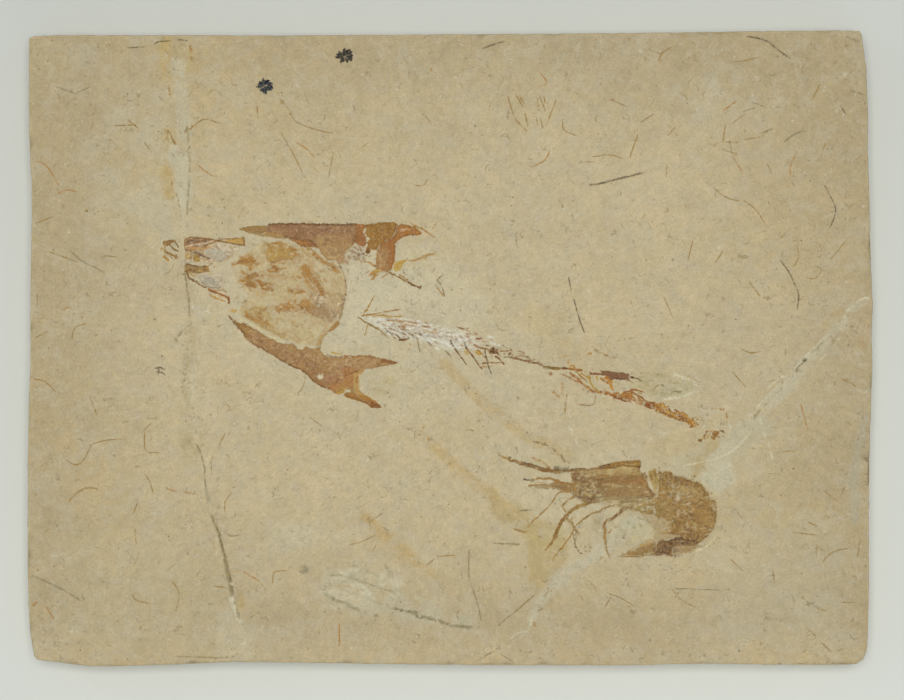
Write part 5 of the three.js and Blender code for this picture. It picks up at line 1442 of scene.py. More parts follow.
def paint_feelers(face):
    face.height = 0.55
    face.line("14.8,-32.4 15.6,-32.7 16.8,-33.2 18,-33.7", 0.55, (166, 130, 63), 0.7)
    face.line("18,-33.8 19.4,-34 20.4,-34.3 21.4,-34.7", 0.9, (134, 101, 49), 1.0)
    face.dot("18,-33.1", (0.8, 0.9), (92, 74, 48))
    face.line("21.2,-34.7 22.6,-35 24.4,-35.5 26.6,-36.2 28.4,-36.8", 1.3, (134, 100, 56), 1.5)
    face.line("28,-36.7 29.6,-36.9 31,-37.1 32.6,-37.2", 1.45, (130, 95, 51), 1.3)
    face.line("22,-34.6 24.8,-35.1 26.4,-35.8 27.6,-36.2", 0.5, (86, 66, 50), cover=0.9)
    face.line("25.4,-36.1 26.8,-36.6 28.2,-37.1 30.4,-37.4", 0.4, (128, 91, 41))
    face.line("32.2,-37.3 34.4,-37.1 36.6,-36.9 38.6,-36.9 40.4,-37", 0.9, (144, 111, 64), 0.9)
    face.line("34.4,-37 36,-36.6 37.6,-36.4 39,-36.3 41,-36.5 42.6,-36.7", 0.55, (106, 77, 37))
    face.line("31.4,-35.9 32.4,-36.4 33.6,-36.7 34.8,-36.5 35.6,-36.2", 0.7, (92, 84, 62), cover=0.75)
    face.crumbs("31.8,-35.9 33.4,-36.3 35.2,-36.2", 0.8, 36, 0.6, SOOT, 0.9, 0, -10)
    # The middle pair and the lower pair.
    face.line("22.2,-39.4 23.4,-39.8 25,-39.8", 0.5, (52, 48, 40), 0.5)
    face.line("24.4,-39.7 25.4,-39.4 26.6,-39.2 28,-39.4 30.2,-39.3 31.2,-39.8", 0.45, LIMB, 0.7)
    face.line("31.2,-39.8 32.4,-40.2 33.4,-40.5 34.4,-40.9 36,-41.1 37,-41.3", 0.9, (146, 108, 54), 1.2)
    face.line("24,-40.3 26,-40.5 28.4,-40.4", 0.35, (176, 150, 120), cover=0.8)
    face.line("23.6,-41.4 24.6,-41.3 26,-41.3 28,-41.1 29.6,-41.4 31,-41.4 32.6,-41.3 35,-41.7", 0.6,
              (146, 112, 63), 0.8)
    face.dot("24.3,-41.5", (1.2, 0.9), (158, 126, 75))
    face.line("25.2,-41.9 26.6,-42.1 28,-42.2 29.6,-42.3", 0.35, (134, 120, 94))
    face.area("24.6,-41 28,-41 30,-40.9 31,-41.6 30,-42.2 27,-42 25,-41.9", (156, 133, 91), cover=0.75)
    face.area("30,-40.7 32,-40.1 34,-40.6 36.5,-41 37.2,-42 36,-42.9 34,-42.9 32.4,-42.4 30.6,-42 29.6,-41.6",
              (150, 117, 68), cover=0.9)
    face.line("30.4,-42.2 32,-42.4 33.6,-42.6 35.4,-42.9 37,-42.8", 0.4, (126, 94, 45))
    face.line("31.4,-41.4 33.4,-41.9 35.4,-42.1", 0.3, (108, 80, 41))
    # The long whip that curls back below.
    face.line("36.6,-43.4 34.6,-43.2 33.2,-43.3 32.2,-44 31.4,-45 30.9,-46 30.2,-47 29.2,-48.1 28,-49.3"
              " 26.6,-50.5 25.2,-51.7 24.2,-52.9 23.8,-53.3", 0.55, (160, 123, 61), 0.45)
    face.line("23.8,-53.2 23.4,-52.6 23.3,-51.8 23.6,-51.4 24,-51.5", 0.35, (176, 142, 79))
    face.line("23.6,-53.3 23.3,-54.1", 0.4, (164, 130, 69))


def paint_legs(face):
    face.height = 0.55
    face.line("38,-44.4 36.7,-45.1 35.8,-45.6 34.9,-46.3 34.1,-46.9 33.5,-47.5", 0.7, (164, 127, 63), 0.6)
    face.line("33.6,-47.5 34.2,-48.4 34.6,-49.4 34.8,-50.4", 0.5, LIMB, 0.5)
    face.line("42,-46.4 39.6,-47.3 38.2,-47.8 37,-48.5 36,-49.3 35.2,-50", 1.1, (152, 116, 55), 1.1)
    face.dot("34.9,-50.5", (1.7, 1.5), (132, 96, 41))
    face.line("34.8,-50.7 33.7,-52 33,-53.2 32.4,-54.4 31.8,-55.6 31.4,-56.7", 1.25, (136, 99, 41), 1.35)
    face.line("31.2,-56.8 30.8,-58 30.2,-58.8 29.6,-59.6 29,-60.3 28.3,-60.9", 0.9, (150, 111, 49), 0.45)
    face.line("34.9,-51 36,-52.5 36.8,-53.3 37.3,-54.3 38,-55.1 38.4,-55.9", 0.9, (150, 116, 65), 0.8)
    face.line("49.6,-47 48.4,-47.6 47,-47.9 45.8,-48.5 44.8,-49.2 43.8,-49.4 42.4,-49.8 41,-50.8 39.8,-51.6"
              " 38.8,-52.6 38,-53.1", 0.6, (142, 111, 53), 0.55)
    face.line("38,-53.2 37,-54.6 36.6,-55.6 36,-56.8 35.2,-57.8 34.4,-58.8 33.6,-59.8 32.8,-60.8 32,-62"
              " 31.4,-62.7 30.9,-63.4 30.7,-64", 0.6, (164, 127, 57), 0.42)
    face.line("36.8,-55.6 37.1,-57 37.4,-58.4 37.6,-59.6 38.2,-60.7 38.8,-61.5 39.6,-61.7", 0.5,
              (118, 96, 62), 0.4)
    face.line("37.6,-55.6 37.8,-57 37.6,-58.6", 0.32, (110, 90, 62), height=0.3)
    face.line("53.2,-48 51.6,-49 50.6,-50 49.6,-50.6 48.6,-51.4 47.2,-51.8 46.5,-52.6 46.1,-53.6 46.4,-54.8",
              1.2, (138, 101, 59), 0.9)
    face.line("46.3,-54.8 46.4,-56.6 46.7,-58 46.8,-59 46.9,-60.4 47.2,-61.4 47.6,-62.4 47.9,-63.1", 0.95,
              (158, 121, 61), 0.5)
    face.line("51.4,-49.2 50,-50.2 48.4,-51.2", 0.4, (104, 73, 47), height=0.6)
    face.line("48.3,-54.6 47.9,-55.4 47.6,-55.8", 0.45, (160, 119, 71))
    face.line("37.4,-54.4 38.2,-55.4", 0.4, (124, 98, 71))


def paint_carapace(face):
    face.height = 1.2
    face.area("36.2,-37.9 37.2,-37.2 38.6,-36.9 41,-36.4 43.4,-36 45.4,-35.4 46.6,-35.2 48.4,-34.6"
              " 49.6,-34.3 51,-34.1 54,-33.9 56.6,-33.8 57.1,-34.1 57.3,-35.2 57,-36.8 57.4,-37.4"
              " 58.4,-38 59.2,-40 59.9,-42.2 61.4,-44.2 60.6,-46.2 58,-47.8 54,-48.8 50,-47.4 46,-46.2"
              " 43,-46.9 40.8,-46.8 38.4,-45.2 36.8,-43.5 36.6,-41.4 36.4,-39.6", SHELL)
    body = ("42,-40 46,-38.4 50,-38 54,-38.2 57.6,-38 59,-40 59.8,-42.4 61.4,-44.4 57,-44.4 52,-44.4"
            " 46.4,-45.4 42.6,-44.4")
    face.tint("44,-38.6 50,-38.1 57.2,-38 58.4,-40 58.8,-41.6 50,-41.8 44,-42.6", (150, 113, 59), 0.7, 0.6)
    face.tint("46,-42 58.6,-41.6 60,-43.8 56,-44.6 50,-44.6 46.4,-45.4", (150, 119, 75), 0.8, 0.6)
    face.tint(body, (128, 96, 51), 0.55, 0.6, 1.5, 0.05, 10, 2)
    face.tint(body, (168, 134, 83), 0.5, 0.6, 1.2, 0.2, 0, 1.6)
    face.tint("50,-38.2 58,-38.4 58.4,-40.6 50,-40.8", (152, 101, 49), 0.55, 0.8, 1.3, -0.1)
    face.tint("43,-39.6 47.4,-39 47.6,-45 43,-45.4", (126, 97, 59), 0.6, 1.0)
    # The back's rust band and the pale groove under it.
    face.tint("44,-36.2 47.4,-34.8 52,-34 57.4,-33.6 57.4,-36 52,-36 46,-36.8", (150, 107, 43), 0.9, 0.5)
    face.tint("44,-36.2 57.4,-33.6 57.4,-36.2 46,-37", (106, 74, 31), 0.7, 0.4, 0.8, 0.1, 8, 2.4)
    face.tint("44,-36.2 57.4,-33.6 57.4,-36.2 46,-37", (180, 143, 73), 0.6, 0.4, 0.9, 0.25, 8, 2.4)
    face.tint("46,-36.7 52,-35.9 57.4,-35.9 57.4,-38.1 52,-38.1 46.4,-38.8", (178, 152, 100), 0.7, 1.0, 0.8,
              -0.1, 4, 4)
    face.tint("38,-37 48.6,-36.4 49,-38.4 42,-39.6", (188, 164, 116), 0.65, 0.9, 0.8, 0.0, 6, 3)
    face.hair("51.6,-34.9 54,-35 56.2,-34.9", 0.4, (186, 156, 98), 0.8)
    face.crumbs("47,-36.8 52,-36.4 57,-36.8", 1.2, 34, 0.9, (196, 174, 124), 0.6, 0, 4)
    for place, size in (
        ("47.6,-35", (0.9, 0.4)), ("50.4,-35.6", (0.9, 0.5)), ("52.1,-35.1", 0.4), ("51,-35.2", 0.4),
        ("56.9,-35.9", (0.4, 0.7)), ("56.7,-37.2", (0.4, 0.5)), ("49,-36", (0.8, 0.35)),
        ("54.8,-35.6", (0.9, 0.35)), ("44.9,-36.3", (0.9, 0.35)), ("55.9,-34.4", (0.6, 0.3)),
    ):
        face.dot(place, size, (98, 67, 31), 1.25)
    face.line("45.2,-35.7 46.6,-35.3 47.8,-34.9", 0.35, (86, 66, 46), height=1.2)
    # The head: red-brown in front, with dark grains and clean spots.
    head = "36.4,-37.6 41,-36.8 44,-37.4 44,-44 42,-46.6 38,-45 36.4,-43"
    face.tint(head, (120, 89, 53), 0.5, 0.6, 1.0, -0.1)
    face.tint(head, (178, 146, 93), 0.6, 0.5, 0.8, 0.15)
    face.tint("36.6,-37.8 38.6,-37.1 40.2,-38.4 40.2,-39.8 38,-40 36.6,-39", (122, 84, 50), 0.65, 0.6, 0.8,
              -0.3)
    face.line("37,-39.6 38,-40.2 39.6,-40.4 41,-40.2", 0.5, (112, 76, 39), height=1.2)
    face.line("38.2,-40.4 37.3,-41 36.9,-42 37.5,-42.7", 0.5, (160, 115, 51), height=1.0)
    face.line("40.4,-38.6 42,-39.4 44,-39.6 46,-39.3", 0.4, (112, 81, 43), height=1.2)
    face.line("39.6,-42 41.2,-41.5 43,-41.8 44.6,-41.4", 0.4, (120, 89, 51), height=1.2)
    face.line("38.6,-43.2 40.4,-43.5 42.2,-43.2", 0.4, (104, 81, 53), height=1.0)
    face.line("36.6,-43.6 37.4,-44.4 38.4,-45 39.6,-45.2", 0.65, (112, 89, 65), height=0.8)
    face.line("40,-44.6 41.6,-45.4 43.4,-45.6", 0.6, (106, 80, 47), height=1.0)
    face.dot("42.6,-45.6", (1.5, 0.7), (92, 58, 29), 1.1)
    face.dot("41.8,-46.6", (0.9, 0.6), (98, 69, 41), 0.9)
    face.line("44.2,-44.9 45.4,-44.7", 0.5, (98, 69, 39), height=1.1)
    # The lower edge, where the shell is thin and grey-olive.
    low = "44,-45.4 48,-44.8 52,-44.6 57,-44.6 61.4,-44.6 61,-46.8 58,-48.4 54,-49 50,-47.6 46,-46.6"
    face.tint(low, (166, 146, 102), 0.85, 0.7)
    face.tint(low, (128, 104, 68), 0.7, 0.6, 0.9, 0.05, 10, 2)
    face.wear(low, 0.5, 0.8, 0.9, 0.1, 8, 3)
    face.wear(head, 0.45, 0.5, 0.7, 0.3)
    face.crumbs("45,-45.4 51,-45.6 57,-46 61,-46", 2.2, 60, 1.0, (140, 114, 74), 0.6, 0, 8)
    face.line("56,-44.7 58,-44.4 60,-44.6 61.6,-44.2", 0.4, (112, 83, 45), height=1.1)
    face.line("51.4,-46 53.6,-46.4 56,-46", 0.4, (124, 100, 66), height=0.8)
    face.line("58.3,-37.5 58.7,-38.3 59,-39 59,-39.9", 0.42, (116, 88, 51), height=0.9)
    face.line("57.6,-38 57.9,-39.2", 0.3, (104, 78, 45), height=1.2)
    face.line("59.4,-42 60.6,-43.4 61.8,-44.3", 0.5, (124, 92, 49), height=1.1)
    for place, size in (
        ("39.4,-37.3", (1.2, 0.6)), ("41.2,-38.5", (1.5, 0.6)), ("44.8,-44.3", (1.7, 0.9)),
        ("41.3,-42.6", (1, 0.5)), ("41.8,-44.3", (1.1, 0.7)), ("38.3,-41.7", (1.4, 0.6)),
        ("54,-41.4", (1.1, 0.35)), ("51,-41.6", (1.4, 0.35)), ("58.8,-43.4", (1.1, 0.5)),
        ("58.2,-46.6", (2, 0.7)), ("46.6,-41", (1.2, 0.35)), ("56.6,-41.9", (0.8, 0.3)),
        ("48.8,-42", (0.8, 0.3)), ("45.4,-46.2", (1.2, 0.6)), ("49,-46.2", (1.3, 0.5)),
        ("43.2,-38.2", (0.9, 0.5)), ("40.6,-40.9", (0.8, 0.4)), ("59.2,-49.2", (1, 0.6)),
    ):
        face.dot(place, size, (202, 186, 144), 0, 0.75, 0.6)
    face.crumbs("46,-41.2 52,-41.4 58,-41.8", 0.4, 16, 0.7, (206, 190, 146), 0.7, 0, 0)
    face.crumbs("38,-41 42,-42.4 46,-45", 3, 36, 0.8, (200, 184, 140), 0.55, 0, 10)
    face.crumbs("38,-39 41,-42 43,-45.6", 3, 40, 0.7, (104, 82, 52), 0.65, 0, 20)
    face.crumbs("46,-39.6 52,-40 58,-40.4", 2.4, 60, 1.0, (132, 98, 56), 0.5, 0, 4)
    face.crumbs("46,-43.4 52,-43.4 59,-43.6", 2.2, 50, 0.9, (138, 110, 70), 0.5, 0, 4)
    face.crumbs("46,-40 52,-41 59,-41", 4, 60, 0.8, (172, 142, 98), 0.45, 0, 6)
    face.wear("59.2,-39.8 60.1,-40.4 61.1,-42.4 60.3,-42.8 59.7,-41.4", 1.0, 0.3, 0.6, -0.9)


def paint_tail_rings(face):
    face.height = 1.25
    outline = ("62.4,-36.9 66.6,-37.2 67,-38.4 69.6,-38.6 71.8,-39.8 74.4,-40.5 75.8,-41.3 76.5,-42.6"
               " 77.8,-43.7 78,-45.6 79.6,-45.5 80,-47.4 80.1,-49.6 79.9,-52 79.3,-53.8 78.3,-55.4"
               " 76.8,-57.2 74.8,-58.8 73.6,-59.5 71,-58.6 68.6,-56.4 66,-56.1 64.2,-56.3 63,-55.6"
               " 64.4,-54.8 66,-54 65.4,-53 64.6,-51.6 63.6,-51 62.6,-51.8 61.8,-50.6 60,-50.2 58,-50.2"
               " 56,-49.6 54.6,-48.4 57,-47 60.4,-46 62.4,-44.6 62.6,-41.4")
    face.area(outline, (160, 129, 77), soft=0.9)
    face.area("59.4,-37.1 60.4,-36.9 61.2,-36.2 61.8,-36.4 62,-37.6 62.6,-38.2 62.7,-40 62.2,-41.6"
              " 61.6,-42.9 61,-42 60.6,-40.4 59.8,-39.6 59.5,-38.4", (170, 141, 79), 1.1)
    face.tint(outline, (168, 136, 77), 0.6, 0.6, 2.4, 0.0)
    face.spokes(outline, "66,-49", (112, 81, 39), 0.75, 0.85, 2.6, 0.1)
    face.spokes(outline, "66,-49", (190, 161, 101), 0.6, 0.9, 2.4, 0.25)
    face.tint(outline, (122, 91, 47), 0.6, 0.4, 0.7, 0.2, 30, 1.8)
    # Each ring: its colour, the dark line of its edge and its striping.
    face.tint("62.8,-37.4 67,-37.4 67.2,-39.4 66.4,-42 65.8,-45 63,-45 62.6,-41", (156, 124, 63), 0.7, 0.4)
    face.tint("59.6,-37 61.8,-36.4 62.4,-38.4 61.6,-42.6", (188, 159, 95), 0.6, 0.4, 0.8, 0.1, 70, 2.5)
    for mark in (
        "62.6,-37.6 62.9,-39.4 62.7,-41.4", "63.5,-38.6 63.8,-40 64,-41.6",
        "64.8,-37.8 65.2,-39.4 65.1,-41", "66.2,-37.6 66.4,-39 66,-40.6", "61.3,-37.4 61.7,-39 61.5,-40.6",
        "60.2,-38 60.6,-39.4", "67.2,-38.8 68.2,-39 69.4,-38.9 70.6,-39.5 71.4,-40",
        "67.8,-40.6 69.4,-41 71.4,-41.1 73.8,-40.8", "71,-42 73.2,-42.3 75,-42.6",
        "73.6,-43.6 75.4,-43.8 77,-44", "70.2,-43.8 72.2,-44.6 74,-44.8", "74.6,-45.6 76.6,-46 78.4,-46.2",
        "72.4,-46.6 74.2,-47.2 76,-47.4", "75.8,-48 77.6,-48.4 79.6,-48.4",
        "74.4,-49.8 76.4,-50.2 78.6,-50.4", "75.8,-52 77.6,-52.2 79.4,-52.2",
        "74.8,-53.4 76.4,-54 78,-54.2", "72.4,-51.4 74,-52", "71.6,-54.6 73.2,-55.4 75,-55.8",
        "74,-56.6 75.8,-57 77,-56.8", "66.8,-48.6 68.6,-49.2", "64.4,-49 66.2,-49.6",
        "66.6,-52.4 68.4,-52.2 70,-52.6", "67,-54.6 69,-54.4",
    ):
        face.line(mark, 0.42, (106, 77, 37), 0.32, height=1.35, cover=0.85)
    face.tint("67,-38.9 71.6,-39.8 71.2,-41.2 67.4,-41.2", (112, 80, 39), 0.75, 0.4, 1.0, -0.3)
    face.tint("66,-41.6 67.8,-40.8 69.6,-41.6 69.8,-43.6 68,-44.8 66,-44.2", (178, 163, 122), 0.8, 1.4, 0.9,
              -0.2)
    face.tint("69.6,-41.2 73.8,-41.2 75,-44 72,-45.2 69.8,-44.8", (178, 150, 98), 0.65, 1.2, 0.9, -0.2, 20, 2)
    face.tint("62,-46 66.4,-45 67,-51 62,-50.4", (158, 130, 75), 0.6, 0.8)
    face.tint("54.6,-47.4 62,-46 62,-50.4 56,-49.8", (156, 132, 79), 0.8, 0.8)
    face.wear("54.6,-47.4 62,-46 62,-50.4 56,-49.8", 0.55, 0.5, 0.8, 0.1)
    face.tint("63,-51 68,-50 71,-53 68,-56 63,-56", (146, 109, 53), 0.6, 0.8, 1.0, -0.2)
    face.tint("74,-40.6 77.8,-43.8 80,-47 80,-52 78,-56 75,-58.6 74,-56 76.6,-50 75,-44", (162, 126, 66),
              0.55, 1.2)
    face.tint("73,-46 77,-46 78,-54 74,-56 71,-52", (168, 132, 69), 0.5, 1.0, 1.6, 0.0)
    # Clean spots where the shell has flaked off.
    for place, size, colour in (
        ("68.5,-49.8", (1, 2), (214, 192, 158)), ("68.3,-45.6", (1.5, 1), (220, 206, 188)),
        ("65.8,-44.6", (1.3, 0.8), (216, 202, 184)), ("66.5,-43.4", (0.7, 0.6), (210, 200, 180)),
        ("73.4,-53.8", (1, 2), (196, 182, 136)), ("71.1,-55.3", (1.2, 0.8), (206, 190, 150)),
        ("71.8,-51", (0.9, 0.7), (204, 181, 133)), ("69.2,-42", (0.6, 0.5), (210, 190, 120)),
        ("67.4,-46.6", (0.9, 0.6), (214, 200, 180)), ("64.2,-46.8", (1.1, 0.5), (196, 178, 138)),
        ("77,-45.4", (0.6, 1), (198, 172, 126)), ("75.6,-44.2", (0.5, 0.9), (200, 176, 128)),
        ("72.8,-48.6", (0.8, 0.6), (200, 177, 123)), ("63,-52.2", (0.9, 1), (204, 194, 156)),
        ("60.2,-48.2", (1.1, 0.5), (200, 188, 150)), ("65.4,-50", (0.7, 0.6), (196, 170, 126)),
        ("76.8,-49.2", (0.7, 0.5), (190, 164, 103)), ("70,-47.4", (0.8, 0.5), (178, 147, 93)),
    ):
        face.dot(place, size, tuple(0.6 * c + 0.4 * w for c, w in zip(colour, (186, 164, 118))), 0, 0.75, 0.7)
    for place in ("69.3,-45.9", "71.4,-46", "73,-46.2"):
        face.dot(place, (0.8, 0.5), (150, 107, 75), 1.35)
    face.dot("69.8,-46.7", (1.6, 0.6), (112, 71, 41), 1.35)
    for path, aim in (
        ("63,-40 66,-42 67,-46", 80), ("67,-40 72,-41 76,-43", 50), ("73,-43 77,-44 79,-47", 22),
        ("75,-48 79.6,-50", -3), ("74,-52 78,-54", -22), ("70,-55.6 73,-56 76,-57", -48),
    ):
        face.crumbs(path, 2.4, 26, 0.9, (108, 77, 40), 0.65, 0, aim)
        face.crumbs(path, 2.4, 12, 0.9, (186, 158, 106), 0.45, 0, aim)
    grains = "64,-41 70,-41 76,-45 78,-50 76,-55 70,-54 66,-50 68,-45 73,-48"
    face.crumbs(grains, 5, 220, 0.6, (112, 80, 44), 0.6)
    face.crumbs(grains, 5, 80, 0.6, (194, 172, 124), 0.45)
    face.crumbs(grains, 5, 160, 0.9, (156, 114, 64), 0.6)
    face.crumbs("63,-38 68,-38 74,-41 79,-46 80,-51 78,-56 74,-59", 0.9, 60, 0.8, (118, 84, 44), 0.6)
    face.crumbs("66,-44 70,-45 73,-44.6", 1.4, 18, 0.7, (208, 196, 170), 0.7)
    face.crumbs("57,-48.2 62,-48.6 64,-50", 2.6, 50, 1.0, (136, 108, 62), 0.6, 0, 20)
    face.wear(outline, 0.4, 0.4, 0.9, 0.42, 10, 2)


def paint_tail_fan(face):
    face.height = 0.9
    face.area("60.4,-62 61.2,-61.2 62,-60.6 61.8,-59.4 62.4,-58.2 63.8,-57.5 64.8,-57.9 66,-57.5"
              " 67.8,-56.7 69,-56.4 70.6,-56.6 71.6,-57.1 73,-57.6 75,-58.5 73.6,-59.6 71,-59.8"
              " 68.4,-59.7 66.8,-60 66.6,-61 66.4,-61.8 68.6,-62.3 66.4,-62.8 65.4,-62.6 64.2,-62.1"
              " 62.6,-62.7 61.6,-62.5", (136, 102, 62), soft=1.0)
    face.area("50.4,-62.5 54,-60.9 57,-59.6 58.6,-58.4 59.8,-58.6 61.6,-58 62.2,-60.6 61,-62.4"
              " 57.6,-62.9 53.8,-62.9",
              (154, 128, 76), cover=0.85, soft=1.1)
    face.area("57.6,-59.2 58.6,-58.6 59.8,-58.8 61.2,-58.2 61.6,-57.6 60.4,-57.2 58.6,-57.6",
              (166, 134, 76), 0.5, 0.6, 0.9)
    dark = "60.4,-62.4 62,-58.4 64,-57.3 67.6,-56.6 71,-56.6 75,-58.4 74,-59.6 66.8,-59.9 66.4,-62.6"
    face.tint(dark, (92, 62, 36), 0.65, 0.4, 0.7, 0.12, 12, 2)
    face.tint(dark, (174, 138, 88), 0.65, 0.4, 0.7, 0.15, 12, 2)
    face.tint("61.4,-60 64.6,-58.4 65.6,-61.6 62,-62.6", (110, 84, 58), 0.5, 0.8)
    face.tint("50,-62.8 56,-59.8 62,-58.4 61,-62.8", (128, 96, 39), 0.7, 0.4, 0.7, 0.1, 14, 3)
    face.tint("57,-59.4 61.6,-57 60.6,-60.4 57,-60.6", (152, 116, 58), 0.7, 0.8, 0.8, -0.2)
    face.wear("50,-63 56,-59.6 60.4,-58.6 60.4,-63", 0.35, 0.7, 0.8, 0.1, 14, 2.4)
    face.crumbs("53,-61.8 57,-61 61.6,-60.2", 2, 44, 0.9, (128, 98, 52), 0.6, 0, 14)
    face.crumbs("51.6,-62.2 56,-60.6 61,-59.4", 2, 50, 0.8, (146, 110, 56), 0.7, 0, 22)
    face.crumbs("51,-61.6 56,-59.4 60,-57.8", 1.8, 40, 0.8, (184, 158, 106), 0.7, 0, 22)
    face.crumbs("62.4,-60 66,-58.6 73,-58.2", 1.8, 60, 0.8, (78, 52, 32), 0.65)
    face.crumbs("62.4,-60.4 66,-59 73,-58.4", 2, 30, 0.7, (176, 146, 98), 0.5)
    face.crumbs("60.4,-62 62,-58.2 64,-57 67.6,-56.4 72,-56.6", 0.9, 60, 0.7, (132, 98, 56), 0.6)
    face.crumbs("61,-62.8 66,-62.6 67,-60.4 74,-60", 0.9, 50, 0.7, (132, 98, 56), 0.6)
    for mark in (
        "64,-58.2 66.4,-57.8 69,-57.4 71.6,-57.9", "66,-58.8 68.6,-58.6 71.4,-58.8",
        "62.6,-60.4 64.4,-60 66.2,-60.2", "61.6,-61.6 63.2,-61.2 65,-61.6",
    ):
        face.line(mark, 0.35, (74, 50, 33), height=1.0, cover=0.85)
    face.dot("73,-57.9", (1.1, 0.5), (64, 44, 34), 1.1)
    face.line("50.4,-62.6 52,-62.8 53.8,-62.6 55.4,-62.8 57,-62.8 57.8,-62.4", 0.4, (142, 106, 43))
    face.line("53,-62 54.8,-61.6", 0.45, (156, 111, 51))
    face.line("57,-59.7 57.6,-59.1 58.6,-58.8 59.8,-59", 0.45, (186, 143, 55))
    face.line("56,-61.2 58,-60.6 60,-60.4", 0.4, (140, 104, 45))
    face.line("66.4,-62.4 67.6,-62.5 69.2,-62.5", 0.3, (104, 80, 56))
    face.line("66.4,-60.4 68.6,-60.6 71,-60.4 73,-60.3", 0.4, (166, 143, 87), height=0.2, cover=0.8)
    face.line("67,-61.7 69.4,-61.7 71.4,-61.5", 0.45, (152, 126, 74), height=0.2, cover=0.85)
    face.area("66.2,-59.8 70,-59.6 74.6,-59.2 73.6,-60.8 71,-61.8 66.6,-62.2", (172, 144, 96), 0.25, 0.75,
              1.0)
    face.crumbs("66.6,-60.6 70,-60.8 73.6,-60", 1.4, 60, 0.9, (140, 108, 66), 0.75, 0, 6)
    face.crumbs("66.2,-59.8 67.2,-61.2 67,-62.6", 0.8, 40, 0.7, (96, 68, 44), 0.85, 0, 4)
    face.crumbs("60.6,-62.6 62,-59.6 63.6,-57.8", 0.9, 40, 0.7, (130, 98, 58), 0.8, 0, 20)


def paint_belly(face):
    """Thin film that joins the shell, the tail and the upper ends of the legs."""
    face.height = 0.3
    face.area("36.4,-43.4 42,-45 50,-44.4 57,-44.2 62,-44 64.6,-50.6 62.4,-51.8 58.4,-50.8 54.6,-49.6"
              " 50,-48 45.6,-46.8 41,-47.2 38,-46", (164, 142, 100), cover=0.66, soft=2.0)
    face.crumbs("39,-45.4 46,-45.8 54,-47.4 61,-49.4", 2.6, 90, 1.1, (132, 104, 64), 0.55, 0, -12)
    face.crumbs("42,-46 50,-46.6 60,-48.4", 2.6, 40, 0.8, (184, 164, 118), 0.45, 0, 0)
    face.crumbs("44.6,-44.6 47,-44.4 58,-46.6", 1.2, 16, 1.0, (206, 194, 156), 0.6, 0, 0)
    face.crumbs("60,-50.6 64,-52 67,-54.6", 2.6, 60, 0.9, (150, 124, 76), 0.5, 0, 30)
    inner = "56,-49.4 61,-50 65,-51 67,-54 65.6,-56.6 63,-57 60.6,-54.6 58.6,-52"
    face.area(inner, (166, 144, 98), cover=0.6, soft=2.0)
    face.crumbs("57,-50.6 61,-52 63,-55", 3, 90, 0.8, (148, 120, 74), 0.6, 0, 30)
    face.crumbs("46,-47.6 52,-49 57,-50.6", 2.2, 60, 0.8, (150, 124, 80), 0.5, 0, 0)
    face.area("61.4,-54.4 66,-54.4 70,-55.4 70.6,-57 66,-57.6 62,-58.8 60.6,-57.2", (160, 134, 88),
              cover=0.6, soft=1.4)
    face.crumbs("61.4,-56.4 65,-56.4 69,-56.6", 2, 60, 0.8, (134, 102, 56), 0.6)
    face.area("58.6,-38.2 61,-40 63.2,-37.8 64,-42 64,-46 60,-46 59.4,-42", (170, 144, 96), cover=0.55,
              soft=1.2)
    face.crumbs("59.4,-39 61,-43 63,-42 63,-38", 1.2, 40, 0.7, (132, 104, 62), 0.6)
    face.crumbs("60,-41.4 62.4,-43", 0.8, 12, 0.8, (204, 190, 150), 0.7)


def paint_shrimp(face):
    face.grip = 0.62
    paint_belly(face)
    paint_feelers(face)
    paint_legs(face)
    paint_carapace(face)
    paint_tail_rings(face)
    paint_tail_fan(face)
    for path, aim in (
        ("36.7,-45.1 33.5,-47.5 34.8,-50.4", 50),
        ("42,-46.4 36,-49.3 34.8,-50.7 31.4,-56.7 28.3,-60.9", 60), ("34.9,-51 38.4,-55.9", -50),
        ("49.6,-47 43.8,-49.4 38,-53.1 35.2,-57.8 30.7,-64", 55),
        ("53.2,-48 48.6,-51.4 46.1,-53.6 46.8,-59 47.9,-63.1", 75), ("20,-34.4 26,-36 33,-37.2 40,-37", -8),
    ):
        face.crumbs(path, 0.8, 26, 0.7, (112, 82, 46), 0.55, 0, aim)
        face.crumbs(path, 0.9, 26, 0.7, (190, 172, 126), 0.55, 0, aim)
    face.roughen(0.9, 0.14)
    face.roughen(3.2, 0.16)


# ---------------------------------------------------------------- the fish: snout, eyes and jaws

PLUM = (152, 116, 77)


def paint_snout_tip(face):
    face.height = 0.5
    face.area("-86.2,31.9 -84.8,32.1 -84.3,32.4 -82.8,32.4 -82.2,31.9 -83.5,31.4 -83.8,30.6 -85.2,30.3"
              " -86.1,30.8",
              (158, 124, 67))
    face.tint("-86.4,30 -82,30 -82,32.6 -86.4,32.6", (120, 86, 43), 0.7, 0.3, 0.5, 0.0)
    face.line("-84.2,30.8 -82.8,29.6 -81.6,28.8", 0.55, (136, 102, 53))
    face.line("-82.6,31.9 -81.5,30.2", 0.4, (126, 94, 51))
    face.line("-85.6,29 -84,28.1 -82.8,27.5 -81.8,26.7", 0.65, (150, 114, 57))
    face.line("-85.9,27.2 -84.6,26.2", 0.8, (172, 135, 67))
    face.line("-84.8,28.4 -83.3,26.6", 0.4, (130, 98, 49))
    face.line("-82.2,27.7 -81.2,26.8", 0.4, (148, 112, 59))
    face.line("-86.5,29.9 -86.7,28.8", 0.45, (172, 138, 69))
    face.line("-85.4,31.2 -85.8,29.6 -85.4,28", 0.4, (176, 142, 81), cover=0.8)
    face.line("-84.2,25.8 -82.6,25.7", 0.3, (160, 128, 73), cover=0.8)


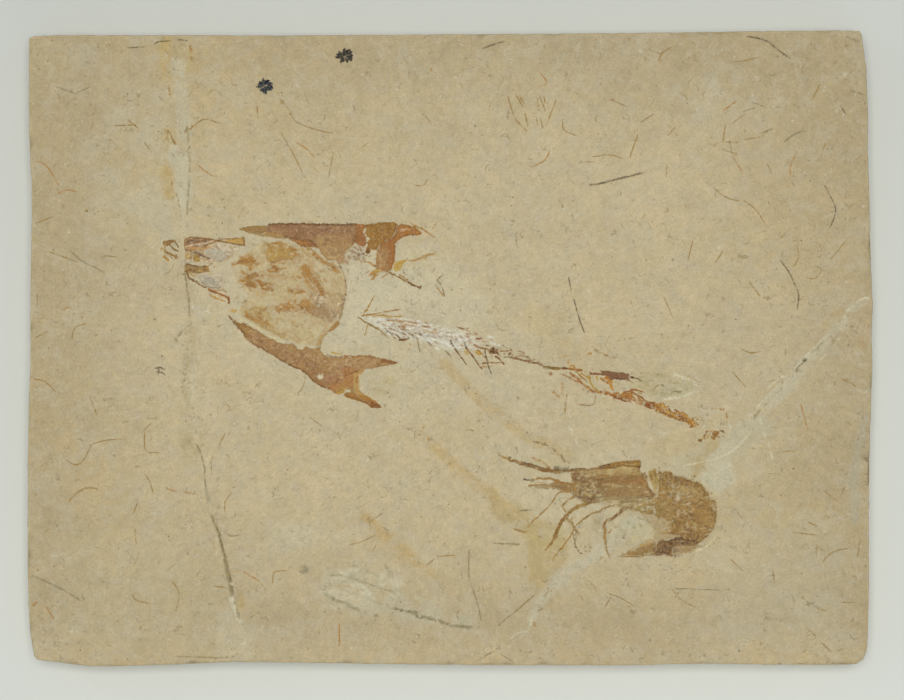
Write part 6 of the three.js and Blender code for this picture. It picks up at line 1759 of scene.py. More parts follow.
def paint_snout(face):
    # Thin film in which the bones of the snout lie.
    joined = ("-80,30 -77,30.2 -73,30.4 -69,31.2 -62.6,30.2 -64.4,28.4 -65.8,26.6 -68.4,25.4 -71,25.6"
              " -74,25.2 -77,25.8 -79.6,25.4")
    face.area(joined, (182, 156, 120), 0.1, 0.7, 1.0)
    face.tint(joined, (212, 202, 184), 0.85, 0.5, 1.4, -0.05)
    face.tint(joined, (150, 116, 78), 0.8, 0.4, 0.8, 0.2, -12, 1.6)
    face.crumbs("-79,28 -75,27.4 -71,27.6 -66,28.6", 1.8, 50, 0.9, (150, 116, 72), 0.75, 0, -20)
    face.crumbs("-79,27.6 -75,27 -69,27.6 -65,28.6", 1.8, 36, 0.9, (206, 198, 182), 0.75, 0, -20)
    face.height = 0.7
    face.area("-79.9,32 -79.4,32.6 -77.7,33.3 -76,33.2 -74,32.9 -72,32.6 -70,32.3 -68,32 -66,32.6"
              " -64,32.9 -62,33 -61.6,32.2 -61.6,30.5 -62.3,30.4 -64,30.9 -66,31.2 -70,31.6 -72,30.8"
              " -73.4,30 -76,29.6 -78,28.8 -79.8,29.2", (166, 129, 81))
    face.tint("-79.8,32.2 -77,33.2 -72,32.4 -72.6,30.4 -77,30 -79.6,30.6", (132, 98, 63), 0.7, 0.4, 0.7,
              -0.15, -8, 2)
    face.tint("-79.8,32.2 -77,33.2 -72,32.4 -72.6,30.4 -77,30 -79.6,30.6", (196, 170, 133), 0.6, 0.3, 0.6,
              0.2, -8, 2.4)
    face.crumbs("-79,31.4 -76,31.6 -72.4,31.4", 1.8, 40, 0.8, (110, 78, 52), 0.8, 0, -12)
    face.crumbs("-79,31 -76,31 -72.4,31", 1.8, 16, 0.7, (208, 186, 152), 0.8, 0, -12)
    face.crumbs("-79,29.6 -76.6,28.6 -76,26.4", 1.8, 40, 0.6, (140, 106, 62), 0.8)
    face.tint("-70,32.2 -62,33 -61.8,30.8 -66,31.4", (190, 154, 81), 0.85, 0.4)
    face.line("-74,32.7 -70,32.1 -66,31.3 -63.4,30.7 -61.9,30.6", 0.42, (110, 73, 35), height=0.8)
    face.line("-61.9,33 -61.7,30.5", 0.55, (132, 87, 35), height=0.8)
    face.line("-79.6,32.5 -77.6,33.2 -74,32.9 -70,32.4 -66,32.6 -62,33", 0.3, (146, 107, 57), height=0.8)
    face.line("-79,30.2 -77,30.9 -75,31 -73.4,31.3 -71,31.9", 0.4, (214, 192, 166), height=0.8)
    face.line("-78.5,30 -76.4,29.7 -74,29.6 -72,30", 0.55, (192, 143, 85), height=0.75)
    face.line("-80,29.3 -78,28.9", 0.4, (124, 88, 47))
    face.line("-78.8,31.6 -76.6,32.2", 0.35, (98, 67, 41), height=0.8)
    face.line("-75.6,32 -73,31.9", 0.35, (106, 74, 43), height=0.8)
    face.line("-76.4,29 -77,28.4", 0.4, (150, 113, 57))
    face.dot("-78.7,27.3", (1.9, 1.8), (180, 144, 71), 0.5)
    face.dot("-78.6,27.4", (0.9, 0.8), (200, 176, 128), 0.5)
    face.area("-76.9,27.4 -76.2,28 -75,27.7 -74.8,26.6 -75.2,25.6 -76.4,25.5 -77.1,26.5", (176, 139, 63), 0.6)
    face.tint("-77,28 -74.8,27.6 -75,25.6 -77,25.6", (140, 104, 47), 0.6, 0.3, 0.5, 0.1)
    face.line("-76.6,28.5 -74.8,27.8 -73.2,27.1 -72.3,26.6", 0.6, (96, 70, 52), height=0.7)
    face.line("-79.6,28.2 -79.9,26.6 -79.4,25.8", 0.4, (156, 120, 59), height=0.5)
    face.line("-77.8,26.2 -77.4,28.6", 0.35, (122, 90, 45), height=0.5)


def paint_upper_eye(face):
    face.height = 0.6
    face.area("-73.7,29.2 -72.6,29.8 -71,29.8 -69,29.3 -67.5,28.5 -66.8,27.7 -67.6,26.6 -69,25.5 -70,25.6"
              " -71,26.5 -72,27.4 -73.3,28.2", (168, 158, 138), cover=0.9, soft=0.6)
    face.tint("-73.6,29 -67,29 -67,25.6 -73,26", (188, 180, 162), 0.6, 0.4, 1.0, 0.0)
    face.tint("-73.6,29 -67,29 -67,25.6 -73,26", (158, 149, 134), 0.5, 0.4, 0.8, 0.2)
    face.line("-69.6,25.6 -68.4,26 -67.5,26.7 -66.9,27.7 -67.8,28.5", 0.36, (124, 113, 104), height=0.65)
    face.line("-72.8,28.2 -71.2,27.4 -70.2,26.3", 0.28, (150, 138, 124), height=0.65)
    face.crumbs("-72.6,28.8 -69,28 -67.6,26.8", 1.6, 22, 0.7, (204, 199, 186), 0.6, 0, -20)


def paint_jaw_plate(face):
    face.height = 0.6
    face.area("-79.8,24.6 -79.2,25.5 -78.4,25.1 -76.5,24.7 -75.5,24.3 -74,24.3 -73.1,24.6 -72.4,23.7"
              " -72.1,22.7 -73.5,22.5 -75,22.2 -76.5,22.3 -78,22.4 -79.6,22.7", (150, 120, 72))
    face.tint("-79.8,25.4 -72,24.8 -72.4,22.4 -79.6,22.6", (122, 92, 52), 0.55, 0.4, 0.8, 0.05, -6, 2)
    face.tint("-79.8,24 -73,23.4 -73,22.4 -79.6,22.6", (184, 148, 81), 0.6, 0.4, 0.6, 0.2, -6, 2)
    face.line("-79.4,25.3 -78.2,25 -76,24.5 -74,24.3 -73,24.5", 0.4, (92, 63, 25), height=0.7)
    face.line("-79.6,22.8 -78.4,23.4 -76.6,23.2", 0.4, (106, 75, 33), height=0.65)
    face.line("-73,24.4 -72.4,23.4", 0.45, (176, 129, 57), height=0.7)
    face.line("-81.8,22.9 -80.6,22.3 -79.8,21.8", 0.35, (156, 125, 67), height=0.4)
    face.line("-78.8,22.3 -78.3,21 -76.8,20 -75.4,19.1 -73.8,18 -72.2,17.3", 0.65, (124, 92, 47), 0.5,
              height=0.5)
    face.line("-70.6,25.4 -70.2,24.2 -69.4,22.9", 0.5, (142, 126, 118), height=0.4)
    face.line("-72.4,24.6 -71.2,25.2 -70.4,25.4", 0.4, (150, 124, 92), height=0.4)
    face.dot("-67.8,21.7", (1.4, 1), (166, 122, 62), 0.4)
    face.line("-68.6,22.8 -67,21.2 -66.2,19.6", 0.35, (156, 122, 74), height=0.3)
    face.line("-78,22.3 -77.2,21.4 -76.2,21.6", 0.5, (178, 144, 77), height=0.5)


def paint_lower_eye(face):
    veil = "-76.2,21.8 -74.6,22.7 -71,22.7 -68.4,21.8 -67.8,19.6 -68,17.6 -71.6,17.4 -74.8,18.8"
    face.area(veil, (184, 160, 126), 0.1, 0.65, 0.9)
    face.tint(veil, (210, 200, 184), 0.8, 0.4, 1.0, 0.0)
    face.tint(veil, (150, 118, 80), 0.75, 0.4, 0.7, 0.2, -30, 1.6)
    face.height = 0.6
    face.area("-75.8,21.6 -74.5,22.1 -72.5,22 -70.8,21.1 -69.4,20.4 -68.9,19 -68.3,18.1 -69.5,17.6"
              " -71.5,17.7 -73.5,18.2 -74.9,19.7", (170, 160, 138), cover=0.9, soft=0.6)
    face.tint("-75.6,21.8 -69,21 -68.4,18 -74,18", (190, 182, 162), 0.6, 0.4, 0.9, 0.0)
    face.tint("-73.8,21 -70.6,20.6 -70.4,18.8 -73.4,19", (146, 138, 126), 0.65, 0.7)
    face.line("-75.6,21.6 -74.5,22 -72.5,21.9 -70.8,21 -69.5,20.3", 0.3, (202, 195, 178), height=0.65)
    face.crumbs("-75,21 -72,20.4 -69.4,18.6", 2, 26, 0.7, (202, 195, 178), 0.6)
    face.crumbs("-74,20 -71.6,19.8 -70,18.6", 1.6, 16, 0.6, (124, 113, 102), 0.55)
    face.line("-74.6,19.8 -73.4,18.4 -71.5,17.9 -69.5,17.8 -68.6,18.3", 0.32, (128, 112, 102), height=0.65)
    face.line("-73.4,20.9 -71.6,20.6 -70.6,19.6", 0.25, (120, 110, 102), height=0.65)


def paint_chin_bone(face):
    face.height = 0.5
    face.line("-72.2,17.3 -70.6,16.7 -69,16 -67.3,15.4 -66.4,14.6", 0.85, (152, 93, 37), 0.6)
    face.line("-70,17.1 -68.6,17.1 -67.4,16.9 -66.8,16.6", 0.4, (166, 121, 61))
    face.line("-71.8,15.6 -70,14.8 -68.6,14.2 -67.6,13.9", 0.6, (184, 141, 63), 0.5)
    face.line("-66.5,14.9 -66.3,13.4", 0.7, (134, 79, 29))
    face.line("-70.9,16.4 -69,15.5 -67.6,14.9", 0.3, (210, 182, 123), height=0.55)
    face.line("-71.8,17 -70.2,16.3", 0.3, (108, 67, 27), height=0.6)
    face.line("-70,14.6 -68.6,15.3", 0.4, (176, 131, 63))


# ---------------------------------------------------------------- the fish: skull


def paint_skull(face):
    face.height = 0.28
    whole = ("-66.2,25.4 -63,26.8 -60.6,28.8 -57,31.8 -53,32 -47.4,31.4 -44.6,29.9 -40.2,29.3 -38.4,27.4"
             " -36.4,25.8 -34,25.8 -32.2,23.2 -31.2,20 -31,18.2 -31.4,15 -32.5,10 -33.5,7.4 -36.6,4.9"
             " -38.6,2.3 -39,0.4 -42,0.5 -45.6,0.9 -48.4,2 -52,3.3 -57,5.5 -61.4,8.3 -63.6,9.8 -62.6,13"
             " -60.4,16 -64,19.6 -65,22.6")
    face.area(whole, (188, 168, 124), cover=0.6, soft=1.0)
    face.tint(whole, (196, 178, 134), 0.8, 0.6, 4, -0.2)
    face.tint(whole, (174, 138, 72), 0.7, 0.5, 2.4, 0.02)
    face.tint(whole, (164, 122, 60), 0.6, 0.5, 1.1, 0.12)
    face.tint(whole, (206, 190, 148), 0.55, 0.5, 1.3, 0.2)
    face.tint("-45,20 -38,17 -31,18 -32,9 -36,5 -42,9 -46,14", (180, 149, 101), 0.75, 1.5, 2.0, -0.4)
    rear = ("-42.5,18.4 -38.4,17.6 -34.6,16.6 -31.4,17.4 -31.6,14.6 -32.6,9.6 -34.4,7.4 -37,7.6"
            " -40.4,8.6 -43,10")
    face.area(rear, (174, 144, 100), 0.3, 0.78, 1.4)
    face.tint(rear, (144, 108, 62), 0.65, 0.6, 0.9, 0.05)
    face.tint(rear, (204, 184, 148), 0.65, 0.5, 0.8, 0.18)
    face.crumbs("-42,14 -38,13 -34,11.6", 4, 60, 0.8, (134, 98, 54), 0.6)
    face.crumbs("-41,14 -37,12.6 -34,10", 4, 46, 0.8, (212, 198, 170), 0.65)
    face.height = 0.4
    face.grip = 0.8

    # Bones that stand up on the thin skull, from the nose to the back of the head.
    face.area("-66,25.3 -64.3,25.5 -63,25.9 -61.8,26.7 -61.2,27.7 -60.4,28.1 -59.4,27.8 -58.7,26.9"
              " -57.7,26.1 -58.5,25.4 -59,24.2 -59.3,22.9 -60.1,22.9 -60.3,24 -61.5,24.6 -63,24.9",
              (177, 137, 66))
    face.tint("-66,25 -62,25 -59,23 -58,26 -61,26.6", (160, 118, 50), 0.75, 0.4, 0.8, 0.1)
    face.area("-63.3,22.6 -61.7,22.4 -60,22.1 -58.6,22.6 -57.6,22.5 -57.2,21.9 -56.4,20.8 -57.3,20.9"
              " -58.3,21.2 -59,20.6 -58.4,19.6 -57.7,18.5 -58.3,17.8 -59.8,17.8 -61.3,18.5 -62.5,19.2"
              " -63.2,20.4 -62.4,21 -61.4,21.2 -62.2,21.8", (150, 102, 42))
    face.tint("-63.4,20.6 -58,20.6 -57.6,17.6 -63,18", (170, 124, 56), 0.6, 0.5, 0.9, 0.0)
    face.tint("-61,22.6 -57,22.6 -57.4,20.4 -60.4,20.6", (130, 88, 38), 0.65, 0.5, 0.8, -0.1)
    face.tint("-61,21.4 -58,21 -57.6,19 -60,18.4", (138, 92, 54), 0.6, 0.8)
    face.area("-58.2,20.3 -57,20.3 -55.6,19.7 -54.4,19.6 -54,18.4 -54,17.5 -55,16.9 -56.3,17.2 -57.2,18"
              " -57.8,19.2",
              (158, 112, 50), cover=1.0)
    face.tint("-58,20.2 -54,19.4 -54.4,17.2 -57,18", (146, 102, 44), 0.6, 0.4, 0.7, 0.0)
    face.area("-56.2,32 -55,31.4 -53,31.2 -50.5,31.5 -48.4,30.6 -46.9,30.1 -45.7,29.8 -45.9,28.6"
              " -46.2,27 -47.3,26 -48.7,26 -50.5,26.2 -51.6,25.1 -53,25 -54.5,25.6 -55.4,27 -55.6,28.6"
              " -54.8,30", (174, 141, 74), cover=0.95)
    roof = "-56,32 -46,30.4 -46,26 -51,25 -55.6,26.4"
    face.tint(roof, (150, 110, 44), 0.65, 0.6, 1.2, 0.0)
    face.tint(roof, (184, 156, 98), 0.5, 0.5, 1.0, 0.2)
    face.line("-55.6,31.9 -53.8,30 -53,28.4 -52,26", 0.6, (142, 106, 41), 0.5, height=0.7)
    face.line("-55.2,31.3 -52.6,31.2 -50.4,31.4", 0.3, (148, 112, 49), height=0.65)
    face.line("-50.4,26.2 -48.4,26.2 -47,26.4", 0.4, (156, 115, 45), height=0.65)
    face.area("-54.9,23.6 -53.8,24.5 -52.5,24.2 -51.3,24.1 -51.1,22.9 -52,22.2 -53.2,22.8 -54.5,22.8",
              (158, 119, 55))
    face.tint("-55,24.4 -51,24.2 -51.4,22 -55,22.6", (146, 105, 43), 0.6, 0.3, 0.7, 0.1)
    face.area("-48.2,22.6 -46.4,23 -44.8,22.4 -45.4,21.6 -47.4,21.8", (190, 158, 89), 0.35, 0.6)
    face.line("-42.3,29.6 -40.6,28 -39.5,26.6 -38,25.7 -36,24.8 -35,24 -33.8,22.8", 1.5, (166, 130, 61), 1.1)
    face.tint("-43,30 -40,26 -33,22 -35,26", (130, 93, 39), 0.6, 0.4, 0.7, 0.05, -40, 2)
    face.line("-44.4,29.6 -43.4,28.2 -42.4,27", 0.9, (178, 144, 73), 0.6, cover=0.9)
    face.line("-44.4,24 -43.8,21.8 -42.8,20 -42,18.6", 1.2, (182, 141, 63), 0.9, cover=0.95)
    face.line("-43.4,24 -41.8,21.2 -40,19.2 -38.8,17.4 -38,15.4", 2.6, (164, 120, 56), 1.8, cover=0.95,
              soft=1.0)
    face.line("-42.9,23.4 -41.5,20.9 -40,19.2 -38.8,17.6 -38,15.9", 1.2, (150, 108, 54), 0.9)
    face.line("-41.4,21.6 -39.6,19.6 -38.4,18.2 -37.6,16.6", 0.7, (140, 97, 39), 0.5, height=0.7)
    face.line("-40.8,22.6 -38.9,20.2 -38,18.8", 0.6, (196, 162, 85), cover=0.8)
    face.area("-47.8,17.6 -46.6,17.8 -45,17.2 -45.1,16.3 -47,16.5", (190, 145, 71))
    face.area("-48.4,15.6 -46.6,16 -45.4,15.2 -46.8,14.7", (186, 145, 77), 0.4, 0.7)
    face.area("-44.6,14.7 -43,14.9 -41.9,14.2 -41.5,12.8 -42.3,11.5 -43.5,11.9 -45.4,12.7 -45.1,13.7",
              (172, 135, 76))
    face.line("-45.6,12.8 -43.5,11.6 -42,10.6 -41,9.9 -40,9.2", 0.75, (140, 93, 37), 0.6, height=0.7)
    face.area("-52.7,12.2 -51,13.3 -49.5,12.9 -48,13.4 -46.2,12.5 -46.6,11.3 -48.5,11.1 -49.8,10.5"
              " -51.3,9.9 -52.3,10.7",
              (162, 114, 54))
    face.tint("-52.6,13 -46,12.8 -47,10.6 -52,10", (170, 128, 70), 0.6, 0.4, 0.8, 0.2)
    face.area("-46.8,8.4 -45.2,9.6 -43.4,9.2 -44,7.8 -46,7.6", (196, 167, 101), 0.35, 0.6)
    face.area("-62,11.3 -60,11.9 -58.5,12.7 -56,12.6 -54.5,12.2 -55,11 -52.8,9.7 -53,8 -52.4,6 -51,4.5"
              " -49,3.8 -48.4,2.4 -50,2.1 -52,3.5 -54,4.7 -55.8,5.4 -57.2,6.3 -58.6,7.3 -60,8.3"
              " -61.9,9.5", (174, 148, 92), cover=0.85, soft=1.0)
    cheek = "-62,11.4 -55,12.6 -52.4,8 -48.4,3 -50,2 -57,6 -62,9.4"
    face.tint(cheek, (150, 113, 49), 0.65, 0.5, 1.1, 0.1, -35, 1.8)
    face.tint(cheek, (196, 176, 128), 0.6, 0.4, 1.0, 0.2, -35, 1.8)
    face.crumbs("-60,10 -56,8 -52,5", 3.4, 60, 0.9, (146, 112, 56), 0.6)
    face.crumbs("-60,10 -55,7 -50,4", 3.4, 40, 0.9, (200, 184, 140), 0.6)
    face.dot("-60.9,9.4", (1.8, 1.5), (176, 113, 45))
    face.line("-57,10.3 -55.9,11.2 -54.8,12.1", 0.75, (148, 105, 45), 0.5, height=0.7)
    face.line("-60.6,11.4 -58.4,12 -56.6,11.6", 0.45, (160, 124, 59), height=0.65)
    face.area("-54.4,15.8 -53,16.6 -51.8,16.2 -52.6,15.2", (188, 156, 89), 0.35, 0.6)
    face.area("-58.5,16.8 -57.4,16.8 -57,15.4 -58.2,15.2", (190, 158, 83), 0.35, 0.75)
    face.area("-66.5,11.1 -65.2,11.7 -63.5,11.2 -64,10.5 -65.6,10.4", (190, 154, 77), 0.4, 0.9)
    face.dot("-61.4,13.9", (1, 0.8), (108, 86, 54), 0.35)
    face.dot("-62.2,13.6", (0.5, 0.5), (120, 96, 60), 0.3)
    face.dot("-62.3,18.1", (0.7, 0.6), (170, 129, 57), 0.35)

    # The pale line over the lower plate and clean spots where film is missing.
    face.line("-62.8,8.6 -60.5,7.5 -58,6.2 -55.8,4.8 -53.6,3.3 -51.5,2.1 -49.8,1.6", 0.7, (210, 200, 162),
              height=0.5)
    for place, size in (
        ("-50,24", (2.7, 2.6)), ("-47.6,19.4", (3, 1.8)), ("-57.6,14", (2.4, 1.4)),
        ("-50.6,15", (2.4, 1.5)), ("-59.4,14.9", (1.6, 1)), ("-56.2,23.6", (1.6, 1.8)),
        ("-47.8,9.6", (2.4, 1.2)), ("-49,6.6", (3, 1.8)), ("-44,5.4", (2.6, 2)), ("-36.2,21.6", (2.6, 2.6)),
        ("-57.8,30.2", (1.6, 1)),
    ):
        face.dot(place, size, (200, 186, 146), 0, 0.75, 1.2)
    for place, size in (
        ("-39.5,16.4", (1.5, 1.1)), ("-38.4,15.2", (1.3, 1)), ("-39.2,12.9", (1, 1.2)),
        ("-40.4,14.8", (1, 0.7)), ("-44.6,11", (1.3, 0.5)), ("-36.8,9.6", (0.9, 0.7)),
        ("-34.6,8.8", (1.5, 0.9)), ("-47,10.4", (1.6, 0.4)),
    ):
        face.dot(place, size, (216, 206, 184), 0.3, 0.75, 0.7)
    for mark in (
        "-40,17.2 -39.2,15.8 -38.2,16.4", "-38.6,14.2 -37.6,13 -36.6,12.6", "-36,14.8 -35,13.4",
        "-40.8,12.2 -39.4,11.6 -38,11.8", "-35.4,11 -34.4,9.8 -35.2,8.8", "-37.4,10.8 -36,9.6",
    ):
        face.line(mark, 0.42, (120, 83, 45), height=0.6)
    face.crumbs("-64,24 -60,22 -56,20 -50,22", 4, 46, 0.8, (158, 122, 66), 0.5)
    face.crumbs("-58,16 -52,16 -46,15 -42,12", 4, 70, 0.8, (168, 132, 76), 0.5)
    face.crumbs("-56,30 -48,28 -42,24 -40,18", 3.6, 60, 0.8, (148, 112, 58), 0.5)
    face.crumbs("-62,14 -54,15 -47,20 -44,8", 4, 60, 0.9, (206, 192, 154), 0.5)
    face.crumbs("-60,14 -52,21 -47,24 -43,14 -48,6", 5, 120, 0.8, (162, 126, 70), 0.5)
    face.crumbs("-56,6 -48,6 -42,4", 4, 40, 0.9, (172, 144, 88), 0.45)
    face.tint("-39,12.6 -34,12 -33.4,8 -37.6,8.6", (140, 101, 57), 0.5, 0.8, 0.9, -0.05)
    for seam in (
        "-47,7.2 -44.8,6.4 -43.2,4.2", "-44,3 -42.6,4.6 -41.4,4.2", "-51.2,8.6 -49.4,8 -47.8,8.4",
        "-45.6,5 -44.4,3.4 -42.8,2.6", "-50.4,20.2 -48.8,20.8 -47,20.6", "-54,21.4 -52.6,20.6",
    ):
        face.line(seam, 0.4, (174, 145, 81), height=0.35, cover=0.8)
    face.crumbs("-43,13.6 -40,12.4 -37.6,10.6 -36,8.6", 2.2, 60, 0.8, (132, 94, 54), 0.9)
    face.crumbs("-41,17.4 -38.6,14.6 -39.8,12", 1.8, 40, 0.7, (132, 100, 68), 0.9)
    face.crumbs("-40.4,16.6 -38.2,15.8 -38.6,13.6", 1.4, 26, 0.8, (216, 207, 186), 0.9)
    face.crumbs("-54,30 -50,28 -47,28", 3, 44, 0.8, (146, 110, 50), 0.8)
    face.crumbs("-63,25.8 -60,26 -59.4,23.6", 1.6, 30, 0.7, (150, 108, 44), 0.8)
    face.crumbs("-62,21 -59,20 -56,19", 2, 40, 0.7, (146, 98, 44), 0.8)
    face.crumbs("-43.6,24 -41.6,21 -39,18", 2, 40, 0.8, (146, 106, 50), 0.85, 0, -55)
    face.line("-52,11.6 -49.4,12.2 -46.8,12", 1.5, (166, 122, 64), height=0.4, cover=0.8)
    face.tint("-42.6,12.6 -37,12.4 -36,9.4 -40,9.4 -42.4,11", (148, 110, 68), 0.7, 0.8)
    face.tint("-38.4,14.6 -34,14.8 -33.6,11.6 -37,11.4", (190, 166, 126), 0.5, 0.8)
    everywhere = "-62,20 -56,24 -50,30 -44,26 -36,24 -34,16 -40,8 -48,4 -54,8 -50,16 -44,14"
    face.crumbs(everywhere, 5, 150, 0.6, (146, 102, 46), 0.85)
    face.crumbs("-55,28 -50,29 -47,27", 2.4, 40, 1.2, (182, 146, 74), 0.85)
    face.crumbs("-58,22 -54,20 -50,22 -46,20", 3, 36, 1.3, (168, 122, 56), 0.85)
    face.crumbs("-50,13 -46,12 -42,13", 2, 40, 1.2, (168, 120, 56), 0.85)
    for path, spread, aim in (
        ("-65,25 -60,27 -58,25", 1.0, 20), ("-62.6,22 -60,18 -57,22", 1.4, -40),
        ("-57,19 -54,18", 1.2, -10), ("-56,31 -50,31 -46,29 -48,26 -55,25", 1.0, 0),
        ("-43,24 -40,19 -38,16", 1.2, -55), ("-42,29 -38,25.6 -34,23", 1.2, -40),
        ("-52,12 -46,12 -42,11", 1.2, 8), ("-55,24 -51,23", 1.0, 10), ("-48.4,17.2 -45,16.8", 1.0, 0),
        ("-61,10 -56,8", 1.4, -35),
    ):
        face.crumbs(path, spread, 26, 1.5, (166, 118, 50), 0.95, 0, aim)
        face.crumbs(path, spread, 18, 0.9, (132, 90, 38), 0.8, 0, aim)
        face.crumbs(path, spread, 7, 0.8, (204, 188, 146), 0.7, 0, aim)
    face.crumbs("-44.6,26 -42,22 -39.4,18", 2.6, 40, 1.2, (170, 126, 60), 0.85, 0, -55)
    face.crumbs(everywhere, 5, 110, 0.7, (210, 197, 164), 0.8)
    face.crumbs(everywhere, 5, 90, 1.2, (174, 140, 84), 0.7)
    for streak in (
        "-62,9.4 -59.6,8.1 -57,6.9 -54.6,5.4 -52,3.8 -49.6,2.6", "-61,10.6 -58.6,9.2 -56.4,7.8",
        "-55,7.4 -52.8,5.8", "-50,4.4 -47,2.6 -44.4,1.6", "-47.4,4.4 -45.4,3", "-59,11.4 -57.4,10",
    ):
        face.line(streak, 0.5, (166, 130, 68), height=0.45, cover=0.9)
    # The skull's rear edge.
    face.line("-34.2,26.2 -33.2,24.8 -32.2,23 -31.6,21.5 -31.3,20 -31.1,18.2", 0.45, (96, 72, 44), 0.45)
    face.line("-31.1,18 -31.5,15 -32.2,12 -32.6,10 -33.6,7.5 -35.2,6 -36.6,5 -37.4,3.8 -38.6,2.2 -39,.8"
              " -38.9,-.4",
              0.5, (130, 96, 51), 0.4)
    face.tint("-32.4,16 -30.8,16 -31.8,10 -33.2,10", (104, 73, 39), 0.6, 0.4, 0.6, 0.0)
    face.area("-35.6,6.4 -33.6,8.4 -32.8,7.4 -34,5.8 -36,4.6 -37.2,4.6", (158, 117, 55))
    face.area("-39.4,3.6 -37.4,4.6 -36.4,4.4 -38,2.6 -38.8,0.6 -40.2,0.8", (168, 132, 75), 0.5, 0.85)
    face.area("-34.6,26.6 -32.6,28.2 -31.2,27.6 -32,25.6 -33.4,24.6", (160, 121, 67), 0.6, 0.85)
    face.roughen(0.8, 0.12)
    face.roughen(3, 0.1)


# ---------------------------------------------------------------- the fish: side plates and spines


